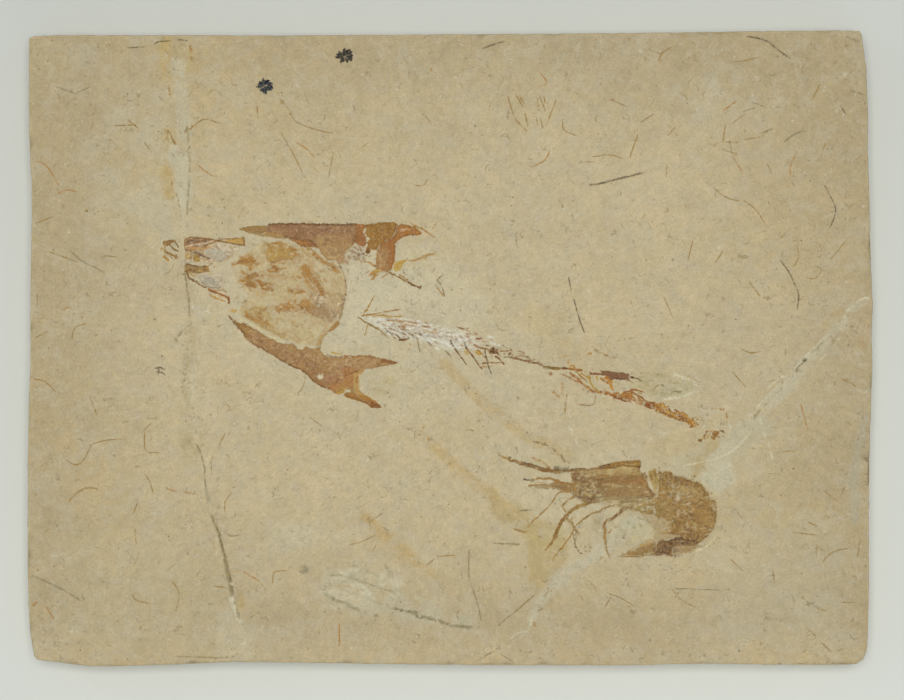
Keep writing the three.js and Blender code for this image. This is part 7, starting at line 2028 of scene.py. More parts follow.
def paint_upper_plate(face):
    face.height = 0.85
    face.area("-63.5,35.4 -62.2,36.1 -60.5,36.4 -58,36.5 -55.4,36.6 -54.6,36.6 -54.3,35.6 -54.8,34.8"
              " -56,34.3 -57.5,33.9 -59.3,34.1 -61.5,34.7", (150, 118, 66), 0.7)
    face.tint("-63.6,35.8 -58,35.6 -55,35.2 -57,33.8 -62,34.4", (130, 99, 47), 0.7, 0.4, 0.8, 0.0, 4, 2.4)
    face.area("-54.5,37.2 -54.9,36.2 -54.4,35.2 -54.2,34.8 -55.6,34.2 -57,33.6 -55.6,33.3 -53.6,33.3"
              " -52.4,32.7 -50.2,32.9 -48,32.5 -46,31.5 -44.6,30.5 -42,30.3 -40,29.9 -39.4,29.5"
              " -38.7,28.2 -38,27.4 -37,26.2 -36,26.2 -34,26.4 -32,27.5 -31.4,28.4 -31,29.6 -29.5,30.2"
              " -28.4,31.4 -28.1,37.2 -30,37.1 -34,37 -38,37.1 -42,37.2 -50,37.3",
              PLUM)
    main = "-54.6,37.4 -28,37.4 -28,31 -32,29 -38,29 -44,31 -50,33.4 -56,34"
    face.tint(main, (128, 88, 50), 0.65, 0.5, 1.3, 0.0, 4, 2)
    face.tint(main, (164, 128, 92), 0.45, 0.4, 1.0, 0.2, 4, 1.6)
    face.tint("-50,37 -36,36.6 -33,32 -40,33.4 -47,35", (134, 94, 64), 0.6, 1.6)
    face.crumbs("-54,35.6 -42,35 -30,34.6", 3.0, 110, 0.6, (172, 138, 102), 0.45)
    face.crumbs("-54,35.6 -42,35 -30,34.6", 3.0, 90, 0.7, (116, 78, 48), 0.45, 0, 4)
    face.tint("-40,34 -30,34 -29,30 -33,26 -38,26.4 -40,30", (172, 140, 89), 0.7, 2.0, 2.0, -0.3)
    face.tint("-39,30 -30,30 -32,26 -37,26", (192, 164, 111), 0.6, 1.0, 0.9, 0.1)
    face.tint("-56,34.6 -51,34.4 -50,32.8 -56,33.2", (178, 137, 73), 0.7, 0.6)
    face.line("-60.4,34.5 -57.4,33.9 -54,33.5 -50,33", 1.0, (160, 132, 86), height=0.4, cover=0.8, soft=0.8)
    face.crumbs("-53,36 -44,35 -34,34 -30,33", 2.6, 90, 1.0, (150, 102, 66), 0.7, 0, 12)
    face.crumbs("-36,31 -33,29 -31,28", 2.6, 60, 0.9, (150, 112, 70), 0.7, 0, 60)
    face.crumbs("-28,36 -26.6,33 -26,31", 1.2, 30, 0.8, (120, 70, 34), 0.7, 0, 80)
    face.area("-48.2,32.3 -46,31.3 -44.6,30.3 -42,30.1 -40,29.9 -39.7,30.4 -41,31.6 -43,32.2 -46,32.5",
              (140, 91, 39), 0.95)
    face.tint("-48,32.6 -40,31 -40,30 -46,31", (180, 129, 63), 0.6, 0.3, 0.6, 0.1, -14, 2)
    face.line("-49.6,33.3 -47,32.9 -44,32.5 -42,32.2 -40.4,31", 0.3, (112, 75, 37), height=0.9)
    # The toothed upper edge.
    face.line("-54.4,37 -50,37.1 -42,37 -38,36.9 -34,36.8 -30,36.9 -28.4,37.1", 0.5, (104, 72, 39),
              height=0.9)
    for k in range(34):
        x = -54 + 0.77 * k
        y = 37.12 + 0.1 * math.sin(1.3 * k)
        face.line(f"{x},{y - 0.1} {x + 0.24},{y + 0.12}", 0.34, (112, 78, 43), 0.2)
    face.line("-54.6,37 -54.2,36 -54.6,35.4 -53.8,34.6", 0.3, (112, 81, 45), height=0.9)
    face.line("-44,36.2 -40,36 -36.4,36.2", 0.35, (166, 132, 97), height=0.9, cover=0.8)
    for place in (
        "-37.8,35.6", "-35.4,35.2", "-33.8,36", "-46,35.4", "-39.4,33.6", "-36,33.2", "-31.6,34.8",
        "-42.6,34.2",
    ):
        face.dot(place, (0.6, 0.5), (186, 155, 121), 0.9, 0.8)
    # The red-brown and the golden ends.
    face.height = 0.65
    face.area("-28.3,37.2 -26.5,37 -25.3,36.8 -25,36 -25.9,35.3 -26,34.2 -25.3,33.3 -25.1,31.4"
              " -25.3,30.6 -26.4,30.4 -27.5,30.7 -28.5,31.4", (160, 106, 54))
    face.tint("-28.4,37.2 -25.2,36.8 -25.4,30.6 -28.4,31.2", (140, 91, 43), 0.6, 0.4, 0.9, 0.0, 80, 1.6)
    face.area("-25.8,37 -24,36.9 -22,37.2 -20,37.5 -18,37.5 -16.3,37.4 -16.1,36.8 -16.3,35.8 -16.6,34.9"
              " -17,33.9 -18,32.8 -19.6,31.8 -21,30.8 -21.9,29.8 -22.6,29.1 -24,29.5 -24,28.6 -24.6,27.9"
              " -25.3,28.4 -25.1,29.6 -24.7,30.4 -24.7,31.5 -24.1,32.3 -24,33 -25,33.6 -25.3,34.5"
              " -25.1,35.8", (154, 112, 46))
    gold = "-25.6,37.4 -16,37.6 -17,34 -22,30 -25,31 -24.6,34"
    face.tint(gold, (136, 94, 30), 0.7, 0.5, 1.2, 0.0)
    face.tint(gold, (170, 132, 66), 0.35, 0.4, 1.0, 0.2)
    face.crumbs("-24,36 -20,35 -19,33", 3.4, 50, 0.7, (126, 86, 40), 0.5)
    face.crumbs("-24,36 -20,35 -19,33", 3.4, 26, 0.6, (176, 142, 84), 0.5)
    face.tint("-25.4,30.4 -23.6,30 -24,28 -25.4,28", (132, 85, 31), 0.7, 0.4)
    face.dot("-24.6,28.7", 1.2, (110, 71, 27), 0.7)
    face.line("-22.4,29.4 -20.6,31 -18.6,32.2 -17.2,33.6 -16.6,35", 0.35, (140, 93, 31), height=0.7)
    face.line("-16.2,37.2 -16.3,36 -16.6,35", 0.4, (116, 75, 27), height=0.7)
    face.line("-25.5,36.8 -22,37.2 -18,37.5 -16.4,37.4", 0.32, (138, 101, 35), height=0.7)
    face.line("-24.3,36.2 -24.4,34.6", 0.4, (146, 114, 43), height=0.7)
    face.line("-28.2,31 -28.2,34 -28,37", 0.3, (120, 81, 41), height=0.75)
    for mark, colour in (
        ("-29.3,28.9 -27.8,28.2 -26.2,27.9 -25,27.7", (124, 92, 49)),
        ("-27.8,26.6 -26.6,25.9 -25,25.6", (170, 138, 81)),
        ("-28.6,30.2 -27.4,29.4 -26.4,29.2", (150, 119, 71)), ("-29.4,27.4 -28,27.2", (140, 114, 75)),
    ):
        face.line(mark, 0.45, colour, 0.3, height=0.4)
    face.roughen(0.8, 0.12)
    face.roughen(4, 0.16)


def paint_upper_spine(face):
    face.height = 0.85
    face.area("-15.4,36.9 -14.6,37.1 -13.4,36.6 -12,36.4 -10.8,36.3 -10.3,35.8 -9.7,35.3 -8.6,34.7"
              " -8.4,34.1 -9.3,33.6 -10.4,33.5 -12,33.7 -13.3,33.4 -14.5,32.8 -15.6,32.2 -16.2,31.4"
              " -16.5,30.4 -16.6,29 -16.5,27.6 -16.6,26.4 -16.9,25.2 -17.6,23.2 -18.5,22.6 -19.8,22.8"
              " -21,23.4 -22.4,24.4 -22.2,27 -22,28.6 -21.3,29.6 -20.8,30.4 -19.8,31.3 -18.3,32"
              " -17.2,32.8 -16.6,33.7 -16.2,34.3 -15.8,35.2", (156, 106, 50))
    fan = "-22.4,28 -17,32 -16.4,26 -18,22.6 -22.4,24.4"
    face.tint(fan, (172, 136, 90), 0.6, 1.0, 2.0, -0.2)
    face.crumbs("-20,31 -19.4,27 -19.6,24", 3.4, 60, 0.8, (136, 98, 54), 0.5, 0, 75)
    face.crumbs("-20,31 -19.4,27 -19.6,24", 3.4, 40, 0.8, (190, 158, 112), 0.45, 0, 75)
    face.tint(fan, (142, 101, 59), 0.55, 0.4, 0.9, 0.15, 60, 2)
    face.tint("-18.6,32.4 -16.4,33.6 -16.2,26 -17.4,23 -18.4,27", (152, 93, 33), 0.75, 0.8)
    face.tint("-16,37 -9,36.4 -9,33.4 -15,33", (164, 108, 46), 0.6, 0.6, 1.2, -0.1)
    face.line("-15.9,36.8 -16,35 -16.5,33.6 -17.6,32.6 -19.4,31.5 -20.9,30.3 -21.8,29", 0.45, (124, 75, 25),
              height=0.95)
    face.line("-16.5,31.4 -16.6,29.6 -16.5,27.4 -16.8,25.4", 0.4, (146, 93, 35), height=0.95)
    face.line("-14.6,32.9 -13.2,33.5 -11.8,33.8 -10.2,33.7", 0.35, (136, 83, 29), height=0.95)
    face.line("-14.6,37 -12.8,36.5 -10.8,36.3 -9.4,35.3", 0.32, (150, 101, 37), height=0.95)
    face.dot("-14.2,35.3", (1.8, 0.8), (204, 178, 140), 0.85, 0.8, 0.5)
    face.line("-13.2,35.7 -12.2,35.3", 0.4, (208, 179, 123), height=0.95)
    face.line("-21.6,28.4 -20.6,26.4 -20.8,24.2", 0.4, (196, 165, 121), height=0.9, cover=0.85)
    face.line("-19.4,30.4 -18.6,28 -18.8,25", 0.35, (140, 97, 53), height=0.9, cover=0.85)
    face.line("-10.4,36.2 -8.8,35.8 -7.4,34.9 -6.2,34.3 -5,33.3", 0.4, (148, 124, 59), 0.3, height=0.35)
    # The thin ochre flap behind the spine.
    face.area("-16.8,25.4 -15.2,25.9 -12.7,26.7 -13.5,25.6 -14.4,24.4 -15,23.2 -16.4,22.6 -17,23.6",
              (190, 156, 69), 0.5, 0.95)
    face.tint("-16.8,26 -12.6,26.8 -15,23 -16.8,23", (168, 127, 47), 0.6, 0.3, 0.7, 0.1)
    face.line("-14,22.6 -12.9,21.6", 0.4, (150, 107, 47), height=0.3)
    face.roughen(0.8, 0.12)
    face.roughen(3.4, 0.14)


def paint_fin_ray(face):
    face.height = 0.5
    face.line("-22.8,24.6 -21,23.8 -19,22.8 -17,21.9 -15.3,21.1 -13.6,20.1 -12,19.4 -10.4,18.5 -9,17.8", 0.55,
              (136, 100, 47), 0.5)
    face.line("-12.6,19.6 -10.4,18.4 -8.9,17.9", 0.75, (112, 76, 29), 0.5)
    face.line("-15.1,21.9 -13.8,21 -12.8,20.2", 0.42, (156, 117, 53))
    face.line("-9.4,17.3 -9,17.9 -8.7,18.3", 0.4, (120, 84, 37))
    face.line("-24.6,21.9 -23.4,22.7 -22,23.1 -20.6,22.8", 0.8, (184, 150, 71), 0.6)
    face.line("-24.1,21.5 -22.9,20.6", 0.5, (180, 146, 73))
    face.line("-23.6,22.4 -22.4,21.6 -21.4,22", 0.45, (160, 126, 55))


def paint_lower_plate(face):
    face.height = 0.85
    face.area("-66.5,9.6 -65.6,8.6 -64.8,8 -63.6,7.4 -61.5,7 -60,6.2 -58.4,5.4 -57,4.5 -55.8,3.6"
              " -54.6,2.9 -53,2.5 -52,1.7 -50.6,1.2 -49,.9 -47.6,1.4 -46.3,.4 -45.8,-.4 -44.2,-.6"
              " -43.3,.3 -42,-.1 -40.6,-.4 -39.4,.2 -38.9,-.6 -37.8,-2 -36.6,-2.8 -35,-3.2 -33.3,-3.2"
              " -32.3,-3.1 -31.6,-2.5 -30.8,-2.6 -30,-2.9 -28.4,-2.7 -27,-2.1 -25.5,-2.4 -24,-2.2"
              " -23,-2.6 -21.5,-3.1 -20,-3.4 -18.6,-3.7 -17.3,-3.9 -16.3,-4.2 -15.2,-4.6 -16.6,-4.8"
              " -17.6,-5.1 -18.8,-5.4 -20.6,-5.8 -22.2,-6 -23.6,-6.3 -25,-6.6 -26.4,-6.9 -27.7,-7.3"
              " -26.4,-7.7 -25.2,-8 -25.6,-9 -26.2,-10.4 -26.7,-11.6 -27.1,-12.5 -26.6,-13.6 -24.8,-14.6"
              " -23.6,-15.4 -22.6,-16 -21.4,-16.8 -20.6,-17.6 -20.2,-18.1 -21.6,-18.3 -22.6,-18.3"
              " -24,-17.9 -25,-16.9 -26.4,-16.4 -28.4,-15.9 -30,-15.3 -31.5,-14.7 -31.8,-14 -31.4,-13.4"
              " -33,-14.1 -34.2,-13.9 -35.2,-13.2 -36.4,-12.4 -38,-11.9 -39.4,-11.4 -41,-10.1 -41.9,-9.2"
              " -42.8,-8.2 -43.8,-7.3 -45,-6.7 -46.4,-6.3 -47.8,-5.6 -49,-4.6 -50.6,-3.9 -52.2,-3.1"
              " -53.6,-2 -54.8,-1.2 -56,-.6 -57.6,-.1 -58.8,.7 -60,1.4 -60.8,2.3 -62,3.4 -62.2,4.6"
              " -62.8,5 -63.6,5.9 -64.4,6.8 -65.3,7.9 -66,8.9", (158, 122, 73))
    plate = ("-66,9 -60,6.4 -54,3 -48,1.4 -44,0 -38,-1 -34,-4 -27,-2 -16,-4.6 -27,-8 -26,-12 -21,-18"
             " -32,-14 -36,-12.6 -42,-9.4 -48,-5.4 -56,-0.6 -62,3.4")
    face.tint(plate, (134, 97, 55), 0.6, 0.5, 1.3, 0.05, -35, 2)
    face.tint(plate, (180, 146, 101), 0.5, 0.4, 1.0, 0.2, -35, 1.6)
    face.tint("-52,3 -44,1 -38,-1 -36,-4 -42,-4 -50,-1", (170, 139, 89), 0.55, 1.6, 1.4, -0.2)
    face.tint("-66,9.6 -61.5,7.2 -60,2.4 -63,5", (124, 93, 43), 0.7, 1.0)
    face.tint("-63.5,7.2 -59.5,6.2 -58,3.4 -61,3.6", (160, 117, 53), 0.6, 0.8)
    face.tint("-36,-4 -27,-2.6 -17,-4.6 -27,-7 -34,-8", (174, 140, 94), 0.7, 1.2, 1.6, -0.3)
    face.tint("-38,-8 -32,-8 -31.6,-10.6 -34,-11.8 -38,-11.4", (156, 110, 80), 0.7, 1.0, 1.0, -0.2)
    face.tint("-32.6,-5.8 -29.6,-5.8 -28.2,-6.5 -28.4,-9 -29.2,-11.4 -32.4,-11.4 -35.1,-13.2 -37,-12.4"
              " -35.5,-11 -32.4,-10.3 -31.7,-8.2", (172, 119, 62), 0.75, 0.9)
    face.tint("-29,-7.4 -25,-7.4 -26.4,-12.8 -28.6,-13.4", (190, 160, 98), 0.85, 0.8)
    face.line("-26,-7 -27.6,-7.7 -28.2,-8.9 -28,-10.4 -28.1,-12.4 -27.4,-13.7 -25,-15.2", 0.9,
              (184, 146, 80), 0.6, height=0.9)
    face.line("-27.6,-8.4 -28.1,-9.6 -27.9,-11.2 -28.1,-12.8", 0.35, (164, 118, 56), height=0.9)
    face.tint("-34.8,-14 -33.7,-14.8 -31.6,-14.4 -31.3,-13 -30.4,-12 -32.4,-11.5 -33.7,-12.5",
              (182, 138, 62), 0.85, 0.4)
    face.tint("-30.6,-13.4 -24,-14.8 -20.6,-17.6 -24,-18 -31.4,-15.2", (158, 110, 46), 0.85, 0.6)
    face.tint("-23.8,-15.8 -20.4,-17.5 -21,-18.4 -23.8,-17.9", (124, 74, 30), 0.85, 0.7)
    face.wear("-27.4,-7.9 -25,-7.8 -26.2,-12.6 -27.3,-12.6", 0.7, 0.6, 1.2, -0.9)
    face.wear("-31.9,-12.6 -30.2,-12.4 -29.8,-13.4 -31.4,-13.6", 0.85, 0.4, 1.2, -0.9)
    face.tint("-48,-5 -38,-9.6 -38,-12 -44,-8 -50,-4.4", (138, 93, 49), 0.55, 0.8)
    # The dark grain along both edges, and the bony lumps of the keel.
    face.line("-66.3,9.5 -65,7.6 -63.4,5.7 -62.1,4.4 -60.8,2.4 -58.8,.8 -56,-.5 -53.6,-1.9 -50.6,-3.8"
              " -47.8,-5.4 -45,-6.6 -42.8,-8 -41,-10 -39.4,-11.2 -36.4,-12.3", 0.42, (112, 76, 35),
              height=0.95)
    face.line("-62.4,3.6 -61.4,2.8 -60.4,2", 0.4, (206, 184, 148), height=0.9, cover=0.85)
    face.line("-65.4,8.7 -63.6,7.4 -61.5,6.9 -58.4,5.3 -55.8,3.5", 0.35, (140, 104, 49), height=0.95)
    face.line("-61.8,5.6 -60.4,4.8 -59,4.8 -57.4,3.4", 0.4, (186, 157, 103), height=0.95, cover=0.85)
    face.line("-60.6,4 -58.4,2.4 -56.6,2", 0.4, (116, 84, 45), height=0.95, cover=0.9)
    face.line("-37,-2.4 -35,-3.1 -33.3,-3.1 -31.6,-2.5 -28.4,-2.7 -25.5,-2.3 -22,-2.9 -18.6,-3.8 -15.6,-4.6",
              0.4, (140, 93, 39), 0.3, height=0.95)
    face.line("-20.4,-4.2 -18,-4.4 -15.6,-4.6", 0.8, (132, 81, 31), 0.3, height=0.9)
    face.line("-27.6,-7.2 -30,-7.8 -32.4,-8.8 -34.2,-10.2", 0.6, (140, 87, 37), 0.4, height=0.95)
    face.line("-31.4,-14.2 -28.4,-15.2 -25.4,-16.4 -22.6,-18", 0.45, (134, 88, 36), height=0.95)
    face.line("-26.4,-13.8 -24,-15.2 -21.6,-16.8", 0.4, (176, 128, 58), height=0.95)
    face.line("-34.8,-13.6 -33,-12.8 -31.6,-13", 0.35, (146, 107, 33), height=0.9)
    face.line("-30.6,-3 -31.2,-4.2 -31,-5.4", 0.3, (212, 196, 156), height=0.9)
    face.line("-33,-8 -32.2,-8.4 -32.4,-9.2 -33.2,-9 -33,-8.2", 0.3, (206, 175, 127), height=0.95)
    face.dot("-38.9,-8.8", (1.6, 1.5), (222, 212, 188), 1.0, 0.95, 0.8)
    face.dot("-37.4,-4.2", (0.9, 0.7), (204, 178, 142), 0.95)
    face.dot("-34.6,-4.8", (0.8, 1.4), (200, 172, 125), 0.95, 0.8)
    for place in (
        "-47.6,-2.4", "-44.4,-3.6", "-41.2,-5.6", "-45.6,-1.2", "-51,-0.4", "-40,-3", "-36.2,-6.6",
        "-53.8,1", "-42.8,-1.8", "-35.4,-10.2", "-29.6,-5", "-25.8,-4.6", "-22.6,-4.4", "-48.4,-4",
    ):
        face.dot(place, (0.8, 0.6), (186, 155, 115), 0, 0.6, 0.6)
    ridge = "-62,5.6 -54,0.4 -46,-3.4 -38,-6.6 -30,-7"
    face.crumbs(ridge, 3.6, 160, 0.7, (186, 154, 118), 0.65)
    face.crumbs(ridge, 3.6, 150, 0.7, (126, 84, 58), 0.6)
    face.crumbs(ridge, 3.6, 90, 0.9, (160, 108, 70), 0.6, 0, -24)
    face.crumbs("-36,-4.4 -28,-4.6 -19,-4.8", 2, 60, 0.8, (136, 92, 56), 0.5, 0, 0)
    face.crumbs("-36,-10.6 -31,-11 -27,-11", 3, 50, 0.8, (140, 92, 42), 0.5)
    for place in (
        "-46.4,-3.6", "-43,-5", "-49.4,-1.6", "-38.6,-6.6", "-33.6,-6", "-27.4,-4", "-55.4,1.8",
        "-40.8,-7.6",
    ):
        face.dot(place, (1, 0.7), (124, 88, 54), 0, 0.6, 0.7)
    face.line("-35.6,-1.4 -34.4,-1.8 -33,-1.9", 0.5, (184, 153, 71), height=0.4)
    face.line("-36.8,-1.9 -34.8,-2.7 -33.2,-2.9", 0.3, (146, 136, 112), height=0.3)
    face.roughen(0.8, 0.13)
    face.roughen(4, 0.16)


# ---------------------------------------------------------------- the fish: backbone and tail


def strokes(face, marks):
    """Several thin bones: width, colour and where each runs. A fourth value is its end width."""
    for width, colour, path, *end in marks:
        face.line(path, width, colour, end[0] if end else width * 0.75)


def paint_neck_bones(face):
    face.height = 0.45
    strokes(face, (
        (0.5, (168, 129, 53), "-25.9,10.3 -25.1,11.2 -24.1,12.9 -23.4,14.3 -22.7,15.4"),
        (0.5, (156, 117, 59), "-26.6,9.4 -24,9.9 -21,10.3 -18,10.9 -14.9,11.5"),
        (0.5, (170, 134, 61), "-23,9.4 -21,9.7 -19,9.5 -17,9.2 -14.7,9.4", 0.6),
        (0.35, (186, 152, 79), "-20.4,9.1 -17.6,8.9 -15.4,8.9"),
        (0.5, (150, 122, 69), "-27.9,9.2 -25.8,7.8 -23.6,6.5 -21.8,5.6 -20,4.5 -18.6,2.9"),
        (0.45, (170, 139, 75), "-24.7,6.4 -25.2,4.9 -25.6,3.6"),
        (0.4, (132, 100, 57), "-24.8,7.4 -23,6.4 -21.6,5.8"),
    ))


def paint_back_bones(face):
    face.height = 0.45
    strokes(face, (
        (0.6, (156, 107, 35), "-18.9,8.2 -16,8 -13,7.8 -10,7.5 -8.9,7.5", 0.35),
        (0.55, (158, 105, 33), "-15,6.4 -13.4,6.8 -12,6.6 -10,6.4"),
        (0.5, (148, 105, 53), "-14.6,5.5 -13.2,5.1"),
        (0.4, (122, 98, 61), "-22,5.9 -19.9,5.9 -18.6,4.9 -17.6,3.9 -17,3.2 -16.2,2.7"),
        (0.45, (134, 102, 57), "-18,5.8 -16.8,5.2 -15.5,4.8 -14.2,4.3 -13,3.6 -12.2,2.9"),
        (0.85, (112, 73, 29), "-14.9,2.4 -13.6,2.3 -12.3,2.8", 0.5),
        (0.4, (108, 84, 66), "-16.3,3.7 -15.4,3.1 -14.6,2.5"),
        (0.45, (140, 106, 59), "-13,4.5 -11.5,3.9 -10.3,3.2 -9.3,2.3"),
        (0.4, (130, 104, 67), "-10.6,4.4 -9.4,4 -8,3.3"),
    ))


def paint_front_rib(face):
    face.height = 0.5
    strokes(face, (
        (0.55, (70, 52, 44), "0,2.2 .4,1.4 .9,.4", 0.5),
        (0.45, (122, 81, 31), "1.3,-.2 2.6,-2 4,-3.9 4.9,-5.1", 0.4),
    ))


def paint_second_rib(face):
    face.height = 0.5
    strokes(face, (
        (0.5, (76, 56, 46), "4.4,1.3 4.6,.6 4.9,-.2", 0.45),
        (0.45, (128, 85, 33), "5,-.3 6.4,-2 7.3,-3.3 8.6,-5.2 9.7,-6.6", 0.45),
    ))
    face.area("4.2,-.8 5.4,-.8 5.6,-2 4.8,-2.6 4.1,-1.8", (186, 150, 85), 0.35, 0.8)


def paint_middle_vertebrae(face):
    face.height = 0.5
    face.area("7.2,-1 8.2,-.4 9,-1 9.7,-1.8 9.4,-2.5 8,-2.3", (180, 143, 71), 0.4)
    strokes(face, (
        (0.55, (136, 87, 37), "7.2,.8 8.2,.2 9.8,-.3 11,-.4 12,-.9"),
        (0.5, (150, 105, 45), "8.6,-.8 10,-2.4 11.4,-4"),
        (0.5, (140, 99, 41), "9.8,-4.7 12,-4.4 15.6,-4.7"),
        (0.3, (170, 136, 73), "9.9,-5.6 12.8,-5.6"),
        (0.5, (118, 77, 37), "13,-.2 14,-.7 14.4,-2"),
        (0.55, (128, 81, 31), "13.7,-2.6 14.8,-3.3 15.6,-4.4 16.1,-5.1"),
        (0.5, (150, 105, 49), "14.6,-1 17,-1.1 18.3,-.8"),
        (0.3, (110, 84, 62), "15.8,.8 17,0 18.5,-.5"),
        (0.4, (110, 86, 55), "16.2,-2.8 17.4,-2.8 18.6,-3.3"),
        (0.45, (168, 129, 63), "11.4,-.4 12,-1.8 12.8,-3"),
    ))
    face.dot("12.6,-1", (2, 1.8), (98, 62, 31), 0.6)
    face.dot("13.6,-1.5", (1.4, 1), (112, 73, 39), 0.6)
    face.dot("12.2,-.8", (0.5, 0.4), (166, 129, 81), 0.6)
    face.dot("18,-1.9", (1.1, 0.8), (124, 92, 53))
    face.dot("16.4,-1.9", (0.8, 0.5), (142, 106, 59))


def paint_backbone(face):
    face.height = 0.5
    strokes(face, (
        (0.4, (132, 110, 84), "18.5,-1.4 21,-1.8 23,-2.8 24,-3.8"),
        (0.35, (156, 133, 93), "19.6,-2.6 21.6,-2.6 23.4,-3.4"),
        (0.6, (136, 97, 59), "19,-3.2 21,-3.5 22.4,-4 24,-4.1 25,-4.6", 0.7),
        (0.6, (126, 92, 53), "24.6,-4.5 26.5,-4.9 28,-5.5 28.6,-5.8"),
        (0.55, (122, 98, 47), "28.4,-5.7 29.6,-5.8 30.2,-6.2 31.4,-6.3 32.2,-6.3", 0.9),
        (0.8, (138, 101, 37), "31.6,-6.2 32.6,-6.4 33.2,-6.2", 0.5),
        (0.85, (112, 71, 21), "33.9,-6.2 35.2,-6.3"),
        (0.75, (152, 101, 33), "35.8,-6.4 37.2,-6.5 38.2,-6.7 39.5,-6.9", 0.6),
        (0.4, (166, 117, 45), "40.2,-7.1 41.6,-7.4"),
        (0.8, (128, 75, 27), "42.3,-7.7 44,-7.9 45.5,-8 46.8,-8.3 47.6,-8.6", 0.7),
    ))
    # The ribs below the tail end of the backbone.
    strokes(face, (
        (0.32, (162, 128, 63), "33,-7.9 34.4,-8.4 35.4,-8.9 36.2,-9.3 37,-9.8"),
        (0.5, (152, 103, 41), "36,-7.6 37,-8.2 38,-8.9 38.9,-9.5 39.6,-10.3 39.9,-10.9"),
        (0.4, (160, 117, 51), "40.2,-10.8 41.2,-11.6 42,-12.4"),
        (0.65, (156, 113, 43), "38.8,-8.3 39.6,-8.9 40.3,-9.5 40.8,-10", 0.4),
        (0.8, (176, 139, 59), "41.6,-8.7 42,-10.2 42.4,-11 43,-11.8 43.8,-12.6 44.9,-13.5", 0.45),
        (0.6, (182, 143, 63), "43.9,-8.9 44.3,-9.8"),
        (0.4, (170, 131, 59), "39.4,-7.6 40.4,-8.4 41.2,-9"),
        (0.35, (168, 129, 57), "37.8,-7.2 39,-8"),
    ))
    # The plum plate and the spikes behind it.
    face.area("45.2,-6.8 46.5,-7 48,-7.2 49.5,-7.3 51,-7.5 52.5,-7.7 53.9,-7.9 54.1,-8.3 53.8,-8.8"
              " 54,-9.6 52.6,-9.9 51,-9.6 49.6,-9.6 48,-9.9 47.4,-9.7 47.1,-9 46.8,-8.4 45.5,-8.1",
              (124, 86, 58), 0.6)
    face.tint("46,-7 54,-8 53.6,-9.8 48,-9.6", (116, 84, 57), 0.6, 0.4, 0.7, 0.05, -6, 2.4)
    face.tint("46,-7 54,-8 53.6,-9.8 48,-9.6", (160, 126, 90), 0.5, 0.3, 0.6, 0.2, -6, 2.4)
    face.line("49.8,-9.4 51.6,-9.6 53.7,-9.6", 0.4, (92, 61, 33), height=0.7)
    face.line("45.2,-7 48,-7.3 51,-7.6 53.8,-8", 0.3, (122, 88, 49), height=0.75)
    strokes(face, (
        (0.6, (98, 59, 21), "54,-8.8 55.2,-9.1 56.4,-9.4 57.1,-10", 0.35),
        (0.55, (150, 91, 33), "52.5,-9.7 53.8,-10 54.8,-10.5", 0.35),
        (0.9, (176, 121, 41), "46.8,-9 47.6,-9.7 48.3,-10.6", 1.1),
        (1.1, (188, 135, 49), "48.2,-10.5 48.4,-11.6 48.8,-12.6", 0.8),
        (0.65, (160, 107, 37), "45.3,-9.2 46.2,-10 47,-10.5 47.8,-11.1"),
    ))
    # Thin bones above, in a loop.
    face.line("36,-6.1 35.9,-5.6 36.7,-5.3 37.3,-5.6 37.3,-6.3", 0.4, (178, 131, 49), height=0.35)
    face.roughen(0.7, 0.1)


def paint_tail_rays(face):
    face.height = 0.5
    face.area("51.4,-13.6 53.4,-13.5 55,-13.9 54.7,-14.8 53.6,-15.3 52,-15.1 51,-14.4", (172, 116, 40), 0.45)
    strokes(face, (
        (0.55, (124, 73, 23), "41.7,-13 42.8,-13.1 44,-13.4 45.2,-13.3 46.2,-13.6 47.4,-14 48.4,-14.5"
                              " 49.6,-15 50.6,-15.4 51.8,-15.8 52.7,-16.1", 0.5),
        (0.55, (158, 99, 33), "47.5,-13 48.4,-13.7 49.4,-14.3 50.6,-14.8 52,-15.2 54,-15.4 55.4,-15.9"
                              " 56.6,-16.6 57.5,-16.9"),
        (0.5, (172, 119, 43), "50,-13.4 51,-14 51.8,-14.5 52.8,-15"),
        (0.6, (142, 87, 25), "52.2,-13.4 53.6,-13.2 55,-13.6 56.4,-14.4 57.4,-15 58.5,-15.9", 0.5),
        (0.65, (154, 93, 27), "54.2,-12.9 55.2,-12.6 56.4,-12.9 57.4,-13.2 58.4,-13.5", 0.45),
        (0.4, (184, 137, 57), "45.4,-13 46.6,-13.4 47.6,-13.6"),
        (0.5, (176, 129, 51), "53,-14.4 54.6,-15 56,-15.6"),
        (0.4, (112, 69, 21), "49.2,-14.6 51,-15.2 52.4,-15.4"),
    ))
    face.crumbs("46,-13.4 50,-14.4 54,-14.6 57.4,-16", 1.2, 70, 0.9, (150, 96, 34), 0.85, 0.3, -22)
    face.dot("53.1,-13.1", (0.6, 0.5), (140, 89, 29))
    face.dot("46.2,-12.6", (1.1, 0.8), (186, 150, 75), 0.35)


